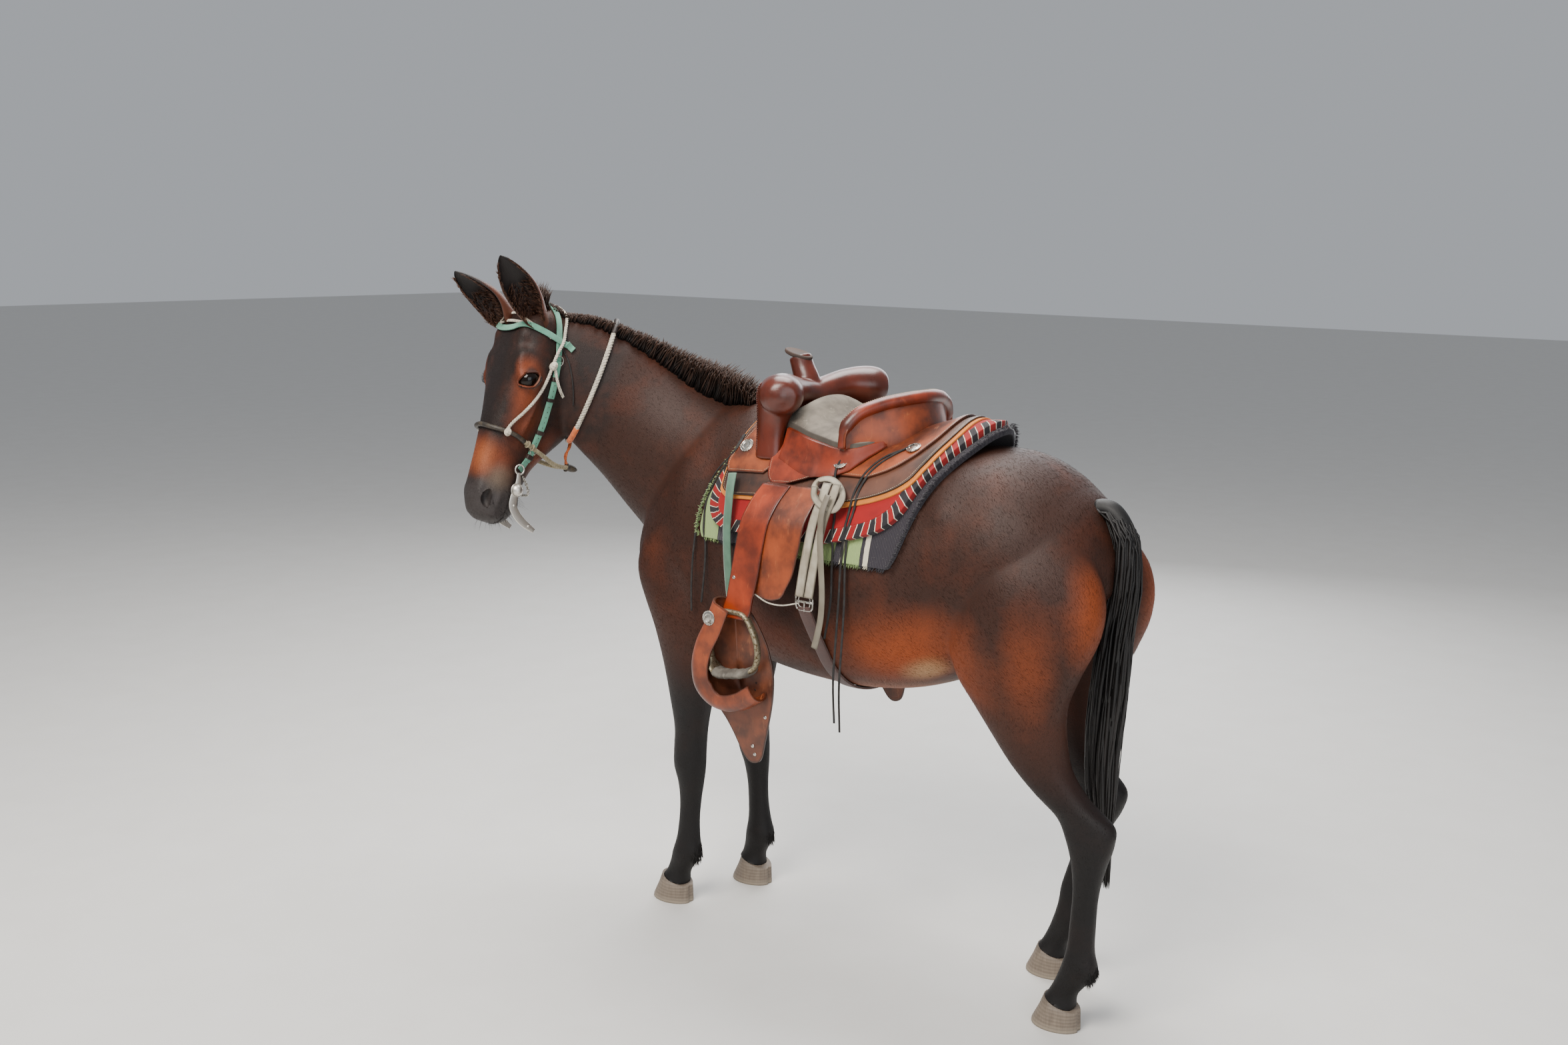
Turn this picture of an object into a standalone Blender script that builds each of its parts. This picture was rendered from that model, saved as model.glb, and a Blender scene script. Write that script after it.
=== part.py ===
"""A live riding mule in its tack, modelled life size as a still museum figure.

Frame: metres, +Z up, the mule faces -Y and its left side is +X. The mule is first modelled about its
own mid-plane, with the floor at z = 0, and is shifted at the end so that the origin is the middle of
the whole figure's footprint. Its flesh is lofted from named stations, fused into one skin, given its
muscles and folds, and then parted into head, neck, ears, torso and legs by thin cuts.
"""

import math
import random

import bmesh
import bpy
import numpy as np
from mathutils import Matrix, Vector
from mathutils.bvhtree import BVHTree

# Driving sizes of the animal.
WITHERS_Z = 1.40
WITHERS_Y = -0.36
CROUP_Z = 1.355
HEAD_LENGTH = 0.56
EAR_LENGTH = 0.222
EYE_RADIUS = 0.0252
STANCE_X = 0.118
GAP = 0.0003
CENTRE_X = 0.0474
CENTRE_Y = -0.1207

# The head turns to the mule's left, nose well tucked down.
POLL = Vector((0.300, -0.915, 1.622))
HEAD_YAW = math.radians(75.0)
HEAD_PITCH = math.radians(22.5)
HEAD_ROLL = math.radians(-4.0)

# Grain of the fused skin, and how far it is thinned.
SKIN_VOXEL = 0.0065
SKIN_SHARE = 0.0078


def head_frame():
    """Columns: from poll to nose, out of the face, to the mule's right; with the poll as its place."""
    facing = Vector((math.sin(HEAD_YAW), -math.cos(HEAD_YAW), 0.0))
    up = Vector((0.0, 0.0, 1.0))
    right = facing.cross(up)
    right = math.cos(HEAD_ROLL) * right + math.sin(HEAD_ROLL) * up
    top = right.cross(facing)
    along = math.sin(HEAD_PITCH) * facing - math.cos(HEAD_PITCH) * top
    out = math.cos(HEAD_PITCH) * facing + math.sin(HEAD_PITCH) * top
    matrix = Matrix((along, out, right)).transposed().to_4x4()
    matrix.translation = POLL
    return matrix


HEAD = head_frame()


def on_head(along, out, left):
    """A place given on the head: distance from the poll, height over the face line, side to the left."""
    return HEAD @ Vector((along, out, -left))


def clear_scene():
    for old in list(bpy.data.objects):
        bpy.data.objects.remove(old)


def finish_of(name, colour, roughness, metallic=0.0):
    made = bpy.data.materials.get(name)
    if made is None:
        made = bpy.data.materials.new(name)
        made.use_nodes = True
        shader = made.node_tree.nodes["Principled BSDF"]
        shader.inputs["Base Color"].default_value = (*colour, 1.0)
        shader.inputs["Roughness"].default_value = roughness
        shader.inputs["Metallic"].default_value = metallic
    return made


def bay_coat():
    return finish_of("bay coat", (0.055, 0.028, 0.018), 0.6)


def black_hair():
    return finish_of("black hair", (0.012, 0.010, 0.010), 0.55)


def saddle_leather():
    return finish_of("saddle leather", (0.34, 0.095, 0.03), 0.45)


def curve_through(rows, count):
    """Rows read at even steps of their first value, on a smooth curve through them all."""
    rows = np.asarray(rows, float)
    t = rows[:, 0]
    slope = np.gradient(rows, t, axis=0)
    wanted = np.linspace(t[0], t[-1], count)
    at = np.clip(np.searchsorted(t, wanted, side="right") - 1, 0, len(t) - 2)
    span = (t[at + 1] - t[at])[:, None]
    u = ((wanted - t[at]) / (t[at + 1] - t[at]))[:, None]
    return (
        (2 * u**3 - 3 * u**2 + 1) * rows[at]
        + (u**3 - 2 * u**2 + u) * span * slope[at]
        + (-2 * u**3 + 3 * u**2) * rows[at + 1]
        + (u**3 - u**2) * span * slope[at + 1]
    )


def along_points(points, count):
    """Points read at even steps of their own arc length, on a smooth curve."""
    points = np.asarray(points, float)
    run = np.concatenate([[0], np.cumsum(np.linalg.norm(np.diff(points, axis=0), axis=1))])
    return curve_through(np.column_stack([run, points]), count)[:, 1:]


def loft_faces(rings, around):
    """Faces of a skin over rings of the same count, with both ends closed."""
    faces = []
    for i in range(rings - 1):
        for j in range(around):
            k = (j + 1) % around
            faces.append((i * around + j, i * around + k, (i + 1) * around + k, (i + 1) * around + j))
    faces.append(tuple(reversed(range(around))))
    faces.append(tuple((rings - 1) * around + j for j in range(around)))
    return faces


def mesh_object(name, points, faces, finish=None):
    mesh = bpy.data.meshes.new(name)
    mesh.from_pydata([tuple(p) for p in points], [], faces)
    mesh.validate()
    made = bpy.data.objects.new(name, mesh)
    bpy.context.scene.collection.objects.link(made)
    if finish:
        mesh.materials.append(finish)
    face_out(made)
    return made


def face_out(made):
    """Turns the faces of a closed mesh outwards, as triangles, so that no later step bends them anew."""
    shape = bmesh.new()
    shape.from_mesh(made.data)
    bmesh.ops.triangulate(shape, faces=shape.faces)
    bmesh.ops.recalc_face_normals(shape, faces=shape.faces)
    if shape.calc_volume(signed=True) < 0:
        bmesh.ops.reverse_faces(shape, faces=shape.faces)
    shape.to_mesh(made.data)
    shape.free()


def lofted(name, rings, finish=None):
    rings = np.asarray(rings, float)
    return mesh_object(name, rings.reshape(-1, 3), loft_faces(len(rings), rings.shape[1]), finish)


def oval(half_width, up, down, top_power, low_power, count):
    """Side and height of points round a section whose widest level is its zero."""
    angle = np.linspace(0, 2 * math.pi, count, endpoint=False)
    cos, sin = np.cos(angle), np.sin(angle)
    power = np.where(sin >= 0, top_power, low_power)
    side = half_width * np.sign(cos) * np.abs(cos) ** power
    return side, np.where(sin >= 0, up, down) * sin


def torso():
    # y, top, bottom, half width, height of the widest level, power of the upper and lower half
    stations = (
        (-0.668, 1.05, 0.90, 0.060, 0.975, 1.0, 1.0),
        (-0.635, 1.14, 0.855, 0.120, 0.985, 1.0, 1.0),
        (-0.56, 1.28, 0.800, 0.175, 1.01, 1.1, 0.9),
        (-0.46, 1.378, 0.762, 0.200, 1.02, 1.25, 0.85),
        (-0.36, 1.400, 0.742, 0.212, 1.02, 1.40, 0.85),
        (-0.22, 1.378, 0.724, 0.238, 1.01, 1.25, 0.80),
        (-0.05, 1.335, 0.712, 0.270, 0.99, 1.05, 0.78),
        (0.10, 1.318, 0.716, 0.286, 0.98, 0.92, 0.78),
        (0.25, 1.330, 0.742, 0.276, 1.00, 0.88, 0.80),
        (0.38, 1.352, 0.795, 0.258, 1.07, 0.86, 0.85),
        (0.50, 1.336, 0.870, 0.240, 1.12, 0.86, 0.95),
        (0.60, 1.280, 0.940, 0.200, 1.12, 0.90, 1.0),
        (0.68, 1.205, 1.000, 0.135, 1.10, 1.0, 1.0),
        (0.715, 1.13, 1.040, 0.070, 1.08, 1.0, 1.0),
    )
    rings = []
    for y, top, low, half, mid, power_up, power_low in curve_through(stations, 40):
        side, height = oval(half, top - mid, mid - low, power_up, power_low, 36)
        rings.append(np.column_stack([side, np.full(36, y), mid + height]))
    return lofted("flesh torso", rings)


def neck():
    # centre x, y, z, half height to the crest, half height to the throat side, half width
    stations = np.array((
        (0.000, -0.300, 1.115, 0.245, 0.270, 0.150),
        (0.000, -0.430, 1.155, 0.232, 0.260, 0.148),
        (0.018, -0.560, 1.232, 0.205, 0.225, 0.128),
        (0.066, -0.680, 1.328, 0.176, 0.185, 0.104),
        (0.138, -0.775, 1.418, 0.158, 0.158, 0.088),
        (0.210, -0.850, 1.490, 0.140, 0.132, 0.078),
        (0.262, -0.895, 1.530, 0.110, 0.100, 0.066),
    ))
    rows = along_points(stations, 26)
    rings = []
    for i, row in enumerate(rows):
        ahead = Vector(rows[min(i + 1, 25)][:3] - rows[max(i - 1, 0)][:3]).normalized()
        crest = (Vector((0, 0, 1)) - ahead.z * ahead).normalized()
        side_way = ahead.cross(crest)
        side, height = oval(row[5], row[3], row[4], 1.15, 0.9, 32)
        middle = Vector(row[:3])
        rings.append([middle + side_way * s + crest * h for s, h in zip(side.tolist(), height.tolist())])
    return lofted("flesh neck", rings)


def head():
    # from the poll, face line, jaw line, level of the widest place, half width, two powers
    stations = (
        (-0.045, -0.035, -0.145, -0.080, 0.056, 0.9, 1.0),
        (-0.010, -0.002, -0.190, -0.060, 0.085, 0.8, 1.05),
        (0.050, 0.014, -0.232, -0.050, 0.100, 0.75, 1.10),
        (0.110, 0.016, -0.264, -0.048, 0.105, 0.72, 1.15),
        (0.165, 0.013, -0.280, -0.050, 0.105, 0.72, 1.20),
        (0.215, 0.008, -0.272, -0.055, 0.093, 0.72, 1.20),
        (0.275, 0.004, -0.247, -0.060, 0.075, 0.75, 1.15),
        (0.335, 0.001, -0.207, -0.062, 0.061, 0.80, 1.05),
        (0.395, -0.002, -0.171, -0.066, 0.054, 0.85, 0.95),
        (0.445, -0.005, -0.158, -0.070, 0.054, 0.85, 0.85),
        (0.490, -0.010, -0.156, -0.074, 0.057, 0.85, 0.82),
        (0.525, -0.020, -0.148, -0.078, 0.054, 0.90, 0.85),
        (0.550, -0.036, -0.132, -0.082, 0.044, 1.0, 1.0),
        (0.562, -0.055, -0.112, -0.084, 0.022, 1.0, 1.0),
    )
    rings = []
    for run, top, low, mid, half, power_up, power_low in curve_through(stations, 44):
        side, height = oval(half, top - mid, mid - low, power_up, power_low, 32)
        rings.append([on_head(run, mid + h, s) for s, h in zip(side.tolist(), height.tolist())])
    return lofted("flesh head", rings)


def leg_rings(stations, side, shift):
    rings = []
    for z, front, back, middle, half in curve_through([(-s[0], *s[1:]) for s in stations], 46):
        z = -z
        away = shift(z)
        outline, depth = oval(half, 1.0, 1.0, 0.85, 0.85, 20)
        y = (front + back) / 2 + (back - front) / 2 * depth + away
        rings.append(np.column_stack([side * middle + outline, y, np.full(20, z)]))
    return rings


def front_leg(side):
    # height, front edge, rear edge, distance from the mid-plane, half width
    stations = (
        (1.04, -0.600, -0.370, 0.115, 0.080),
        (0.92, -0.600, -0.345, 0.130, 0.086),
        (0.80, -0.552, -0.332, 0.140, 0.076),
        (0.70, -0.526, -0.362, 0.138, 0.061),
        (0.60, -0.510, -0.385, 0.131, 0.051),
        (0.50, -0.499, -0.405, 0.125, 0.043),
        (0.45, -0.503, -0.410, 0.123, 0.043),
        (0.40, -0.504, -0.413, 0.121, 0.042),
        (0.36, -0.494, -0.417, 0.120, 0.035),
        (0.31, -0.490, -0.424, 0.119, 0.028),
        (0.24, -0.494, -0.430, STANCE_X, 0.026),
        (0.185, -0.502, -0.428, STANCE_X, 0.030),
        (0.150, -0.513, -0.424, STANCE_X, 0.035),
        (0.115, -0.522, -0.444, STANCE_X, 0.032),
        (0.085, -0.535, -0.462, STANCE_X, 0.031),
        (0.060, -0.552, -0.466, STANCE_X, 0.040),
        (0.030, -0.556, -0.466, STANCE_X, 0.042),
    )
    back_step = 0.100 if side < 0 else 0.0
    return lofted(f"flesh fore {side}", leg_rings(stations, side, lambda z: back_step * max(0.0, 1 - z / 0.66)))


def hind_leg(side):
    stations = (
        (1.22, 0.400, 0.620, 0.110, 0.075),
        (1.08, 0.330, 0.715, 0.135, 0.105),
        (0.95, 0.340, 0.722, 0.150, 0.105),
        (0.86, 0.385, 0.690, 0.155, 0.092),
        (0.79, 0.422, 0.664, 0.152, 0.080),
        (0.70, 0.480, 0.664, 0.142, 0.066),
        (0.62, 0.538, 0.684, 0.132, 0.054),
        (0.565, 0.592, 0.730, 0.126, 0.045),
        (0.525, 0.640, 0.782, 0.122, 0.041),
        (0.475, 0.668, 0.786, 0.121, 0.044),
        (0.42, 0.684, 0.770, 0.120, 0.038),
        (0.36, 0.690, 0.757, 0.119, 0.029),
        (0.27, 0.687, 0.752, STANCE_X, 0.027),
        (0.200, 0.682, 0.753, STANCE_X, 0.031),
        (0.160, 0.672, 0.762, STANCE_X, 0.036),
        (0.125, 0.660, 0.742, STANCE_X, 0.033),
        (0.090, 0.644, 0.716, STANCE_X, 0.031),
        (0.062, 0.628, 0.712, STANCE_X, 0.040),
        (0.030, 0.626, 0.714, STANCE_X, 0.042),
    )
    step = -0.135 if side < 0 else 0.0
    return lofted(
        f"flesh hind {side}",
        leg_rings(stations, side, lambda z: step * min(1.0, max(0.0, (0.86 - z) / 0.62))),
    )


def ring_round(path, i, radius, sides, lead=Vector((1, 0, 0))):
    """A circle round a path's point, square to the path."""
    ahead = Vector(path[min(i + 1, len(path) - 1)] - path[max(i - 1, 0)]).normalized()
    first = (lead - lead.dot(ahead) * ahead).normalized()
    second = ahead.cross(first)
    middle = Vector(path[i])
    turn = np.linspace(0, 2 * math.pi, sides, endpoint=False)
    return [middle + (first * math.cos(a) + second * math.sin(a)) * float(radius) for a in turn]


def joined(name, pieces):
    """One object holding all the pieces' meshes, which the fused skin is made from."""
    shape = bmesh.new()
    for piece in pieces:
        shape.from_mesh(piece.data)
        bpy.data.objects.remove(piece)
    mesh = bpy.data.meshes.new(name)
    shape.to_mesh(mesh)
    shape.free()
    made = bpy.data.objects.new(name, mesh)
    bpy.context.scene.collection.objects.link(made)
    return made


def applied(made):
    """The object with its modifiers worked into its mesh."""
    bpy.context.view_layer.update()
    graph = bpy.context.evaluated_depsgraph_get()
    mesh = bpy.data.meshes.new_from_object(made.evaluated_get(graph))
    made.modifiers.clear()
    made.data = mesh
    return made


def fused_skin():
    pieces = [torso(), neck(), head()]
    pieces += [front_leg(1), front_leg(-1), hind_leg(1), hind_leg(-1), lid_bulge(1), lid_bulge(-1)]
    skin = joined("skin", pieces)
    fuse = skin.modifiers.new("fuse", "REMESH")
    fuse.mode = "VOXEL"
    fuse.voxel_size = SKIN_VOXEL
    return applied(skin)


def neighbours_of(mesh):
    edges = np.empty(len(mesh.edges) * 2, int)
    mesh.edges.foreach_get("vertices", edges)
    return edges.reshape(-1, 2)


def relaxed(points, edges, rounds, ease):
    """Points drawn to the mean of their neighbours and let back, which evens creases and keeps size."""
    count = np.bincount(edges.ravel(), minlength=len(points))[:, None]
    for _ in range(rounds):
        for step in (0.5, -ease):
            total = np.zeros_like(points)
            np.add.at(total, edges[:, 0], points[edges[:, 1]])
            np.add.at(total, edges[:, 1], points[edges[:, 0]])
            points = points + step * (total / count - points)
    return points


def point_array(mesh):
    points = np.empty(len(mesh.vertices) * 3)
    mesh.vertices.foreach_get("co", points)
    return points.reshape(-1, 3)


def normal_array(mesh):
    normals = np.empty(len(mesh.vertices) * 3)
    mesh.vertex_normals.foreach_get("vector", normals)
    return normals.reshape(-1, 3)


def moulded(points, normals, centre, radii, amount, axes=None):
    """Points raised or pressed along their normals round a centre, fading out with distance."""
    away = points - np.asarray(centre, float)
    if axes is not None:
        away = away @ np.asarray(axes, float)
    reach = ((away / np.asarray(radii, float)) ** 2).sum(1)
    return points + normals * (amount * np.exp(-1.6 * reach))[:, None]


def body_forms():
    """Muscles and hollows of the body, each as centre, radii and rise, given for the left side."""
    return (
        ((0.19, -0.60, 0.98), (0.07, 0.08, 0.10), 0.016),
        ((0.17, -0.47, 0.88), (0.07, 0.09, 0.08), 0.012),
        ((0.15, -0.46, 1.16), (0.08, 0.05, 0.16), 0.008),
        ((0.15, -0.36, 1.18), (0.08, 0.04, 0.14), -0.006),
        ((0.15, -0.40, 0.66), (0.06, 0.06, 0.08), 0.008),
        ((0.25, 0.36, 1.23), (0.05, 0.05, 0.05), 0.010),
        ((0.26, 0.34, 0.97), (0.07, 0.05, 0.11), -0.018),
        ((0.22, 0.40, 0.83), (0.07, 0.06, 0.08), 0.010),
        ((0.24, 0.54, 1.05), (0.08, 0.12, 0.14), 0.014),
        ((0.13, 0.70, 1.02), (0.08, 0.06, 0.12), 0.014),
        ((0.17, 0.62, 0.86), (0.06, 0.06, 0.12), 0.004),
        ((0.12, 0.80, 0.52), (0.03, 0.03, 0.035), 0.004),
        ((0.05, -0.66, 0.97), (0.05, 0.05, 0.08), 0.010),
    )


def head_forms():
    """Forms of the head: place from the poll, out of the face line and to the side; radii; rise."""
    return (
        ((0.125, 0.002, 0.090), (0.042, 0.022, 0.028), 0.011),
        ((0.165, -0.002, 0.100), (0.034, 0.020, 0.024), 0.010),
        ((0.058, 0.000, 0.066), (0.044, 0.026, 0.034), 0.009),
        ((0.085, -0.004, 0.084), (0.022, 0.020, 0.020), -0.008),
        ((0.180, -0.070, 0.100), (0.030, 0.016, 0.022), -0.003),
        ((0.262, -0.084, 0.076), (0.085, 0.010, 0.026), 0.007),
        ((0.270, -0.120, 0.072), (0.080, 0.022, 0.030), -0.004),
        ((0.150, -0.180, 0.078), (0.065, 0.070, 0.036), 0.010),
        ((0.245, -0.030, 0.066), (0.060, 0.016, 0.026), -0.003),
        ((0.400, -0.045, 0.054), (0.040, 0.024, 0.024), -0.003),
        ((0.490, -0.022, 0.046), (0.030, 0.012, 0.020), 0.006),
        ((0.500, -0.078, 0.052), (0.030, 0.014, 0.020), 0.006),
        ((0.540, -0.080, 0.036), (0.022, 0.022, 0.026), 0.004),
        ((0.500, -0.152, 0.014), (0.026, 0.018, 0.026), 0.007),
    )


def turn_to(out, along):
    """Axes as a turn: x along the first way as far as it is square to the second, z along the second."""
    out = Vector(out).normalized()
    along = Vector(along)
    first = (along - along.dot(out) * out).normalized()
    return Matrix((first, out.cross(first), out)).transposed().to_4x4()


def head_way(along, out, left):
    return (HEAD.to_3x3() @ Vector((along, out, -left))).normalized()


def eye_place(side):
    return on_head(0.173, -0.039, side * 0.0865)


def eye_ways(side):
    """Where the eye looks, and the way to the inner corner of its lids."""
    return head_way(0.10, 0.26, side * 0.95), head_way(0.72, 0.69, side * 0.10)


def lid_bulge(side):
    radius = EYE_RADIUS + 0.004
    return ball(f"flesh lid {side}", eye_place(side), (radius * 1.12, radius, radius), None, 20, 12, turn_to(*eye_ways(side)))


def shaped_skin():
    skin = fused_skin()
    edges = neighbours_of(skin.data)
    points = relaxed(point_array(skin.data), edges, 16, 0.40)
    skin.data.vertices.foreach_set("co", points.ravel())
    skin.data.update()
    normals = normal_array(skin.data)
    for centre, radii, rise in body_forms():
        for side in (1, -1):
            points = moulded(points, normals, (side * centre[0], *centre[1:]), radii, rise)
    turn = np.asarray(HEAD)[:3, :3]
    for place, radii, rise in head_forms():
        for side in (1, -1):
            centre = on_head(place[0], place[1], side * place[2])
            points = moulded(points, normals, centre, radii, rise, turn)
    skin.data.vertices.foreach_set("co", points.ravel())
    skin.data.update()
    return skin


def copy_of(source, name):
    made = source.copy()
    made.data = source.data.copy()
    made.name = name
    made.data.name = name
    bpy.context.scene.collection.objects.link(made)
    return made


def thinned_skin(skin):
    """The skin with few faces, which are kept closer together over the head."""
    body = copy_of(skin, "body")
    local = (HEAD.inverted() @ Matrix.Identity(4))
    group = body.vertex_groups.new(name="plain")
    for vertex in body.data.vertices:
        place = local @ vertex.co
        on_face = min(1.0, max(0.0, (place.y + 0.42) / 0.12)) * min(1.0, max(0.0, (place.x + 0.16) / 0.10))
        group.add([vertex.index], 1.0 - 0.93 * on_face, "REPLACE")
    thin = body.modifiers.new("thin", "DECIMATE")
    thin.ratio = SKIN_SHARE
    thin.vertex_group = "plain"
    thin.vertex_group_factor = 0.004
    applied(body)
    body.vertex_groups.clear()
    return body


def parted(body, name, cuts, near, finish):
    """The piece of the body on the kept side of each cut, nearest to a place."""
    made = copy_of(body, name)
    for place, normal in cuts:
        cut_by_plane(made, place, normal)
    keep_piece(made, near)
    made.data.materials.clear()
    made.data.materials.append(finish)
    return made


def cut_by_plane(made, place, normal, gap=GAP / 2):
    """Cuts the object by a plane and keeps what the normal points to, closed with flat faces."""
    normal = Vector(normal).normalized()
    shape = bmesh.new()
    shape.from_mesh(made.data)
    everything = shape.verts[:] + shape.edges[:] + shape.faces[:]
    level = Vector(place) + normal * gap
    cut = bmesh.ops.bisect_plane(
        shape, geom=everything, dist=1e-7, plane_co=level, plane_no=normal, clear_inner=True
    )
    rim = [e for e in cut["geom_cut"] if isinstance(e, bmesh.types.BMEdge) and e.is_valid and e.is_boundary]
    bmesh.ops.holes_fill(shape, edges=rim, sides=0)
    flat = [f for f in shape.faces if len(f.verts) > 4]
    bmesh.ops.triangulate(shape, faces=flat)
    bmesh.ops.recalc_face_normals(shape, faces=shape.faces)
    shape.to_mesh(made.data)
    shape.free()
    return made


def pieces_of(shape):
    """The separate surfaces of a mesh as lists of their faces."""
    seen = set()
    groups = []
    for start in shape.faces:
        if start in seen:
            continue
        group = [start]
        seen.add(start)
        for face in group:
            for edge in face.edges:
                if len(edge.link_faces) != 2:
                    continue
                for other in edge.link_faces:
                    if other not in seen:
                        seen.add(other)
                        group.append(other)
        groups.append(group)
    return groups


def spread(group):
    """The diagonal of the box round some faces."""
    places = np.array([tuple(v.co) for face in group for v in face.verts])
    return float(np.linalg.norm(places.max(0) - places.min(0)))


def keep_piece(made, near=None):
    """Leaves one closed surface of the object: the one nearest to a place, or else the largest."""
    shape = bmesh.new()
    shape.from_mesh(made.data)
    groups = pieces_of(shape)
    if near is None:
        best = max(groups, key=spread)
    else:
        spot = Vector(near)
        best = min(groups, key=lambda g: min((v.co - spot).length for face in g for v in face.verts))
    others = [face for group in groups if group is not best for face in group]
    bmesh.ops.delete(shape, geom=others, context="FACES")
    bmesh.ops.delete(shape, geom=[v for v in shape.verts if not v.link_faces], context="VERTS")
    if shape.calc_volume(signed=True) < 0:
        bmesh.ops.reverse_faces(shape, faces=shape.faces)
    shape.to_mesh(made.data)
    shape.free()
    return made


def swollen(source, gap):
    """A copy of a closed object whose surface stands a gap further out."""
    made = copy_of(source, "cutter")
    points = point_array(made.data) + normal_array(made.data) * gap
    made.data.vertices.foreach_set("co", points.ravel())
    made.data.update()
    return made


def is_closed(mesh):
    """Whether a mesh has faces, with two of them on every edge."""
    if not mesh.polygons:
        return False
    edges = np.empty(len(mesh.loops), dtype=np.int32)
    mesh.loops.foreach_get("edge_index", edges)
    return bool((np.bincount(edges, minlength=len(mesh.edges)) == 2).all())


def combined(made, other, operation):
    """One Boolean by the exact solver, or by the manifold one where the exact one fails."""
    before = made.data.copy()
    for solver in ("EXACT", "MANIFOLD"):
        made.data = before.copy()
        step = made.modifiers.new("step", "BOOLEAN")
        step.operation = operation
        step.object = other
        step.solver = solver
        applied(made)
        if is_closed(made.data):
            break
    bpy.data.objects.remove(other)
    bpy.data.meshes.remove(before)
    return made


def box_of(made):
    points = point_array(made.data)
    return points.min(0), points.max(0)


def laid(made, under, gap=0.0004):
    """Cuts away whatever of an object would lie inside the ones below it, leaving a hair's gap."""
    for other in under:
        low, high = box_of(made)
        other_low, other_high = box_of(other)
        if (low < other_high + 0.002).all() and (other_low - 0.002 < high).all():
            combined(made, swollen(other, gap), "DIFFERENCE")
            combined(made, copy_of(other, "cutter"), "DIFFERENCE")
    keep_piece(made)
    return made


def plainer(made, degrees):
    """Joins the nearly level faces that the cuts left, where the object stays closed."""
    shape = bmesh.new()
    shape.from_mesh(made.data)
    bmesh.ops.dissolve_limit(shape, angle_limit=math.radians(degrees), verts=shape.verts, edges=shape.edges)
    bmesh.ops.triangulate(shape, faces=shape.faces)
    fewer = made.data.copy()
    shape.to_mesh(fewer)
    shape.free()
    if is_closed(fewer):
        made.data = fewer
    return made


def tree_of(made):
    made.data.calc_loop_triangles()
    points = [v.co.copy() for v in made.data.vertices]
    return BVHTree.FromPolygons(points, [tuple(t.vertices) for t in made.data.loop_triangles])


class Hide:
    """The outer skin, asked for places on it."""

    def __init__(self, skin):
        self.tree = tree_of(skin)

    def over(self, y, degrees, lift):
        """A place on the barrel: station, angle from straight up towards the left, height over it."""
        turn = math.radians(degrees)
        way = Vector((math.sin(turn), 0.0, math.cos(turn)))
        middle = Vector((0.0, y, 1.05))
        spot, normal, _, _ = self.tree.ray_cast(middle + way, -way)
        return spot + (0.5 * normal + 0.5 * way).normalized() * lift

    def near(self, place, lift):
        spot, normal, _, _ = self.tree.find_nearest(Vector(place))
        return spot + normal * lift, normal


def slab(name, outer, inner, finish):
    """A closed sheet between two grids of places of the same size."""
    outer = np.asarray([[tuple(p) for p in row] for row in outer], float)
    inner = np.asarray([[tuple(p) for p in row] for row in inner], float)
    rows, columns = outer.shape[:2]
    size = rows * columns
    faces = []
    for i in range(rows - 1):
        for j in range(columns - 1):
            a, b = i * columns + j, i * columns + j + 1
            c, d = a + columns, b + columns
            faces.append((a, b, d, c))
            faces.append((size + a, size + c, size + d, size + b))
    rim = [j for j in range(columns)]
    rim += [i * columns + columns - 1 for i in range(1, rows)]
    rim += [(rows - 1) * columns + j for j in range(columns - 2, -1, -1)]
    rim += [i * columns for i in range(rows - 2, 0, -1)]
    for k, a in enumerate(rim):
        b = rim[(k + 1) % len(rim)]
        faces.append((b, a, size + a, size + b))
    return mesh_object(name, np.vstack([outer.reshape(-1, 3), inner.reshape(-1, 3)]), faces, finish)


def draped(name, hide, rows, columns, low, high, finish, rise=None):
    """A sheet over the barrel. Each row: angle, front end, rear end. It fills the heights given."""
    outer, inner = [], []
    for degrees, front, rear in rows:
        line, under = [], []
        for k in range(columns):
            share = k / (columns - 1)
            y = front + (rear - front) * share
            extra = rise(y, degrees) if rise else 0.0
            line.append(hide.over(y, degrees, high + extra))
            under.append(hide.over(y, degrees, low + extra))
        outer.append(line)
        inner.append(under)
    return slab(name, outer, inner, finish)


def both_sides(rows):
    """Rows given from the ridge down the left side, with the right side's in front of them."""
    right = [(-row[0], *row[1:]) for row in reversed(rows) if row[0] > 0]
    return right + list(rows)


def hanging(name, side, rows, thickness, columns, finish, bulge=0.0):
    """A flat leather hanging beside the barrel. Each row: height, front, rear, distance out."""
    outer, inner = [], []
    for z, front, rear, out in rows:
        line, under = [], []
        for k in range(columns):
            share = k / (columns - 1)
            y = front + (rear - front) * share
            x = out + bulge * math.sin(math.pi * share)
            line.append((side * (x + thickness), y, z))
            under.append((side * x, y, z))
        outer.append(line)
        inner.append(under)
    return slab(name, outer, inner, finish)


def strip(name, places, outs, width, thickness, finish):
    """A flat strap along places, with the way out of its face at each of them."""
    rings = []
    for i, place in enumerate(places):
        ahead = (Vector(places[min(i + 1, len(places) - 1)]) - Vector(places[max(i - 1, 0)])).normalized()
        out = Vector(outs[i])
        out = (out - out.dot(ahead) * ahead).normalized()
        across = ahead.cross(out)
        wide = width[i] if isinstance(width, (list, tuple)) else width
        middle = Vector(place)
        low, high = middle - across * wide / 2, middle + across * wide / 2
        rings.append([low, high, high + out * thickness, low + out * thickness])
    return lofted(name, [[tuple(p) for p in ring] for ring in rings], finish)


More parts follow.
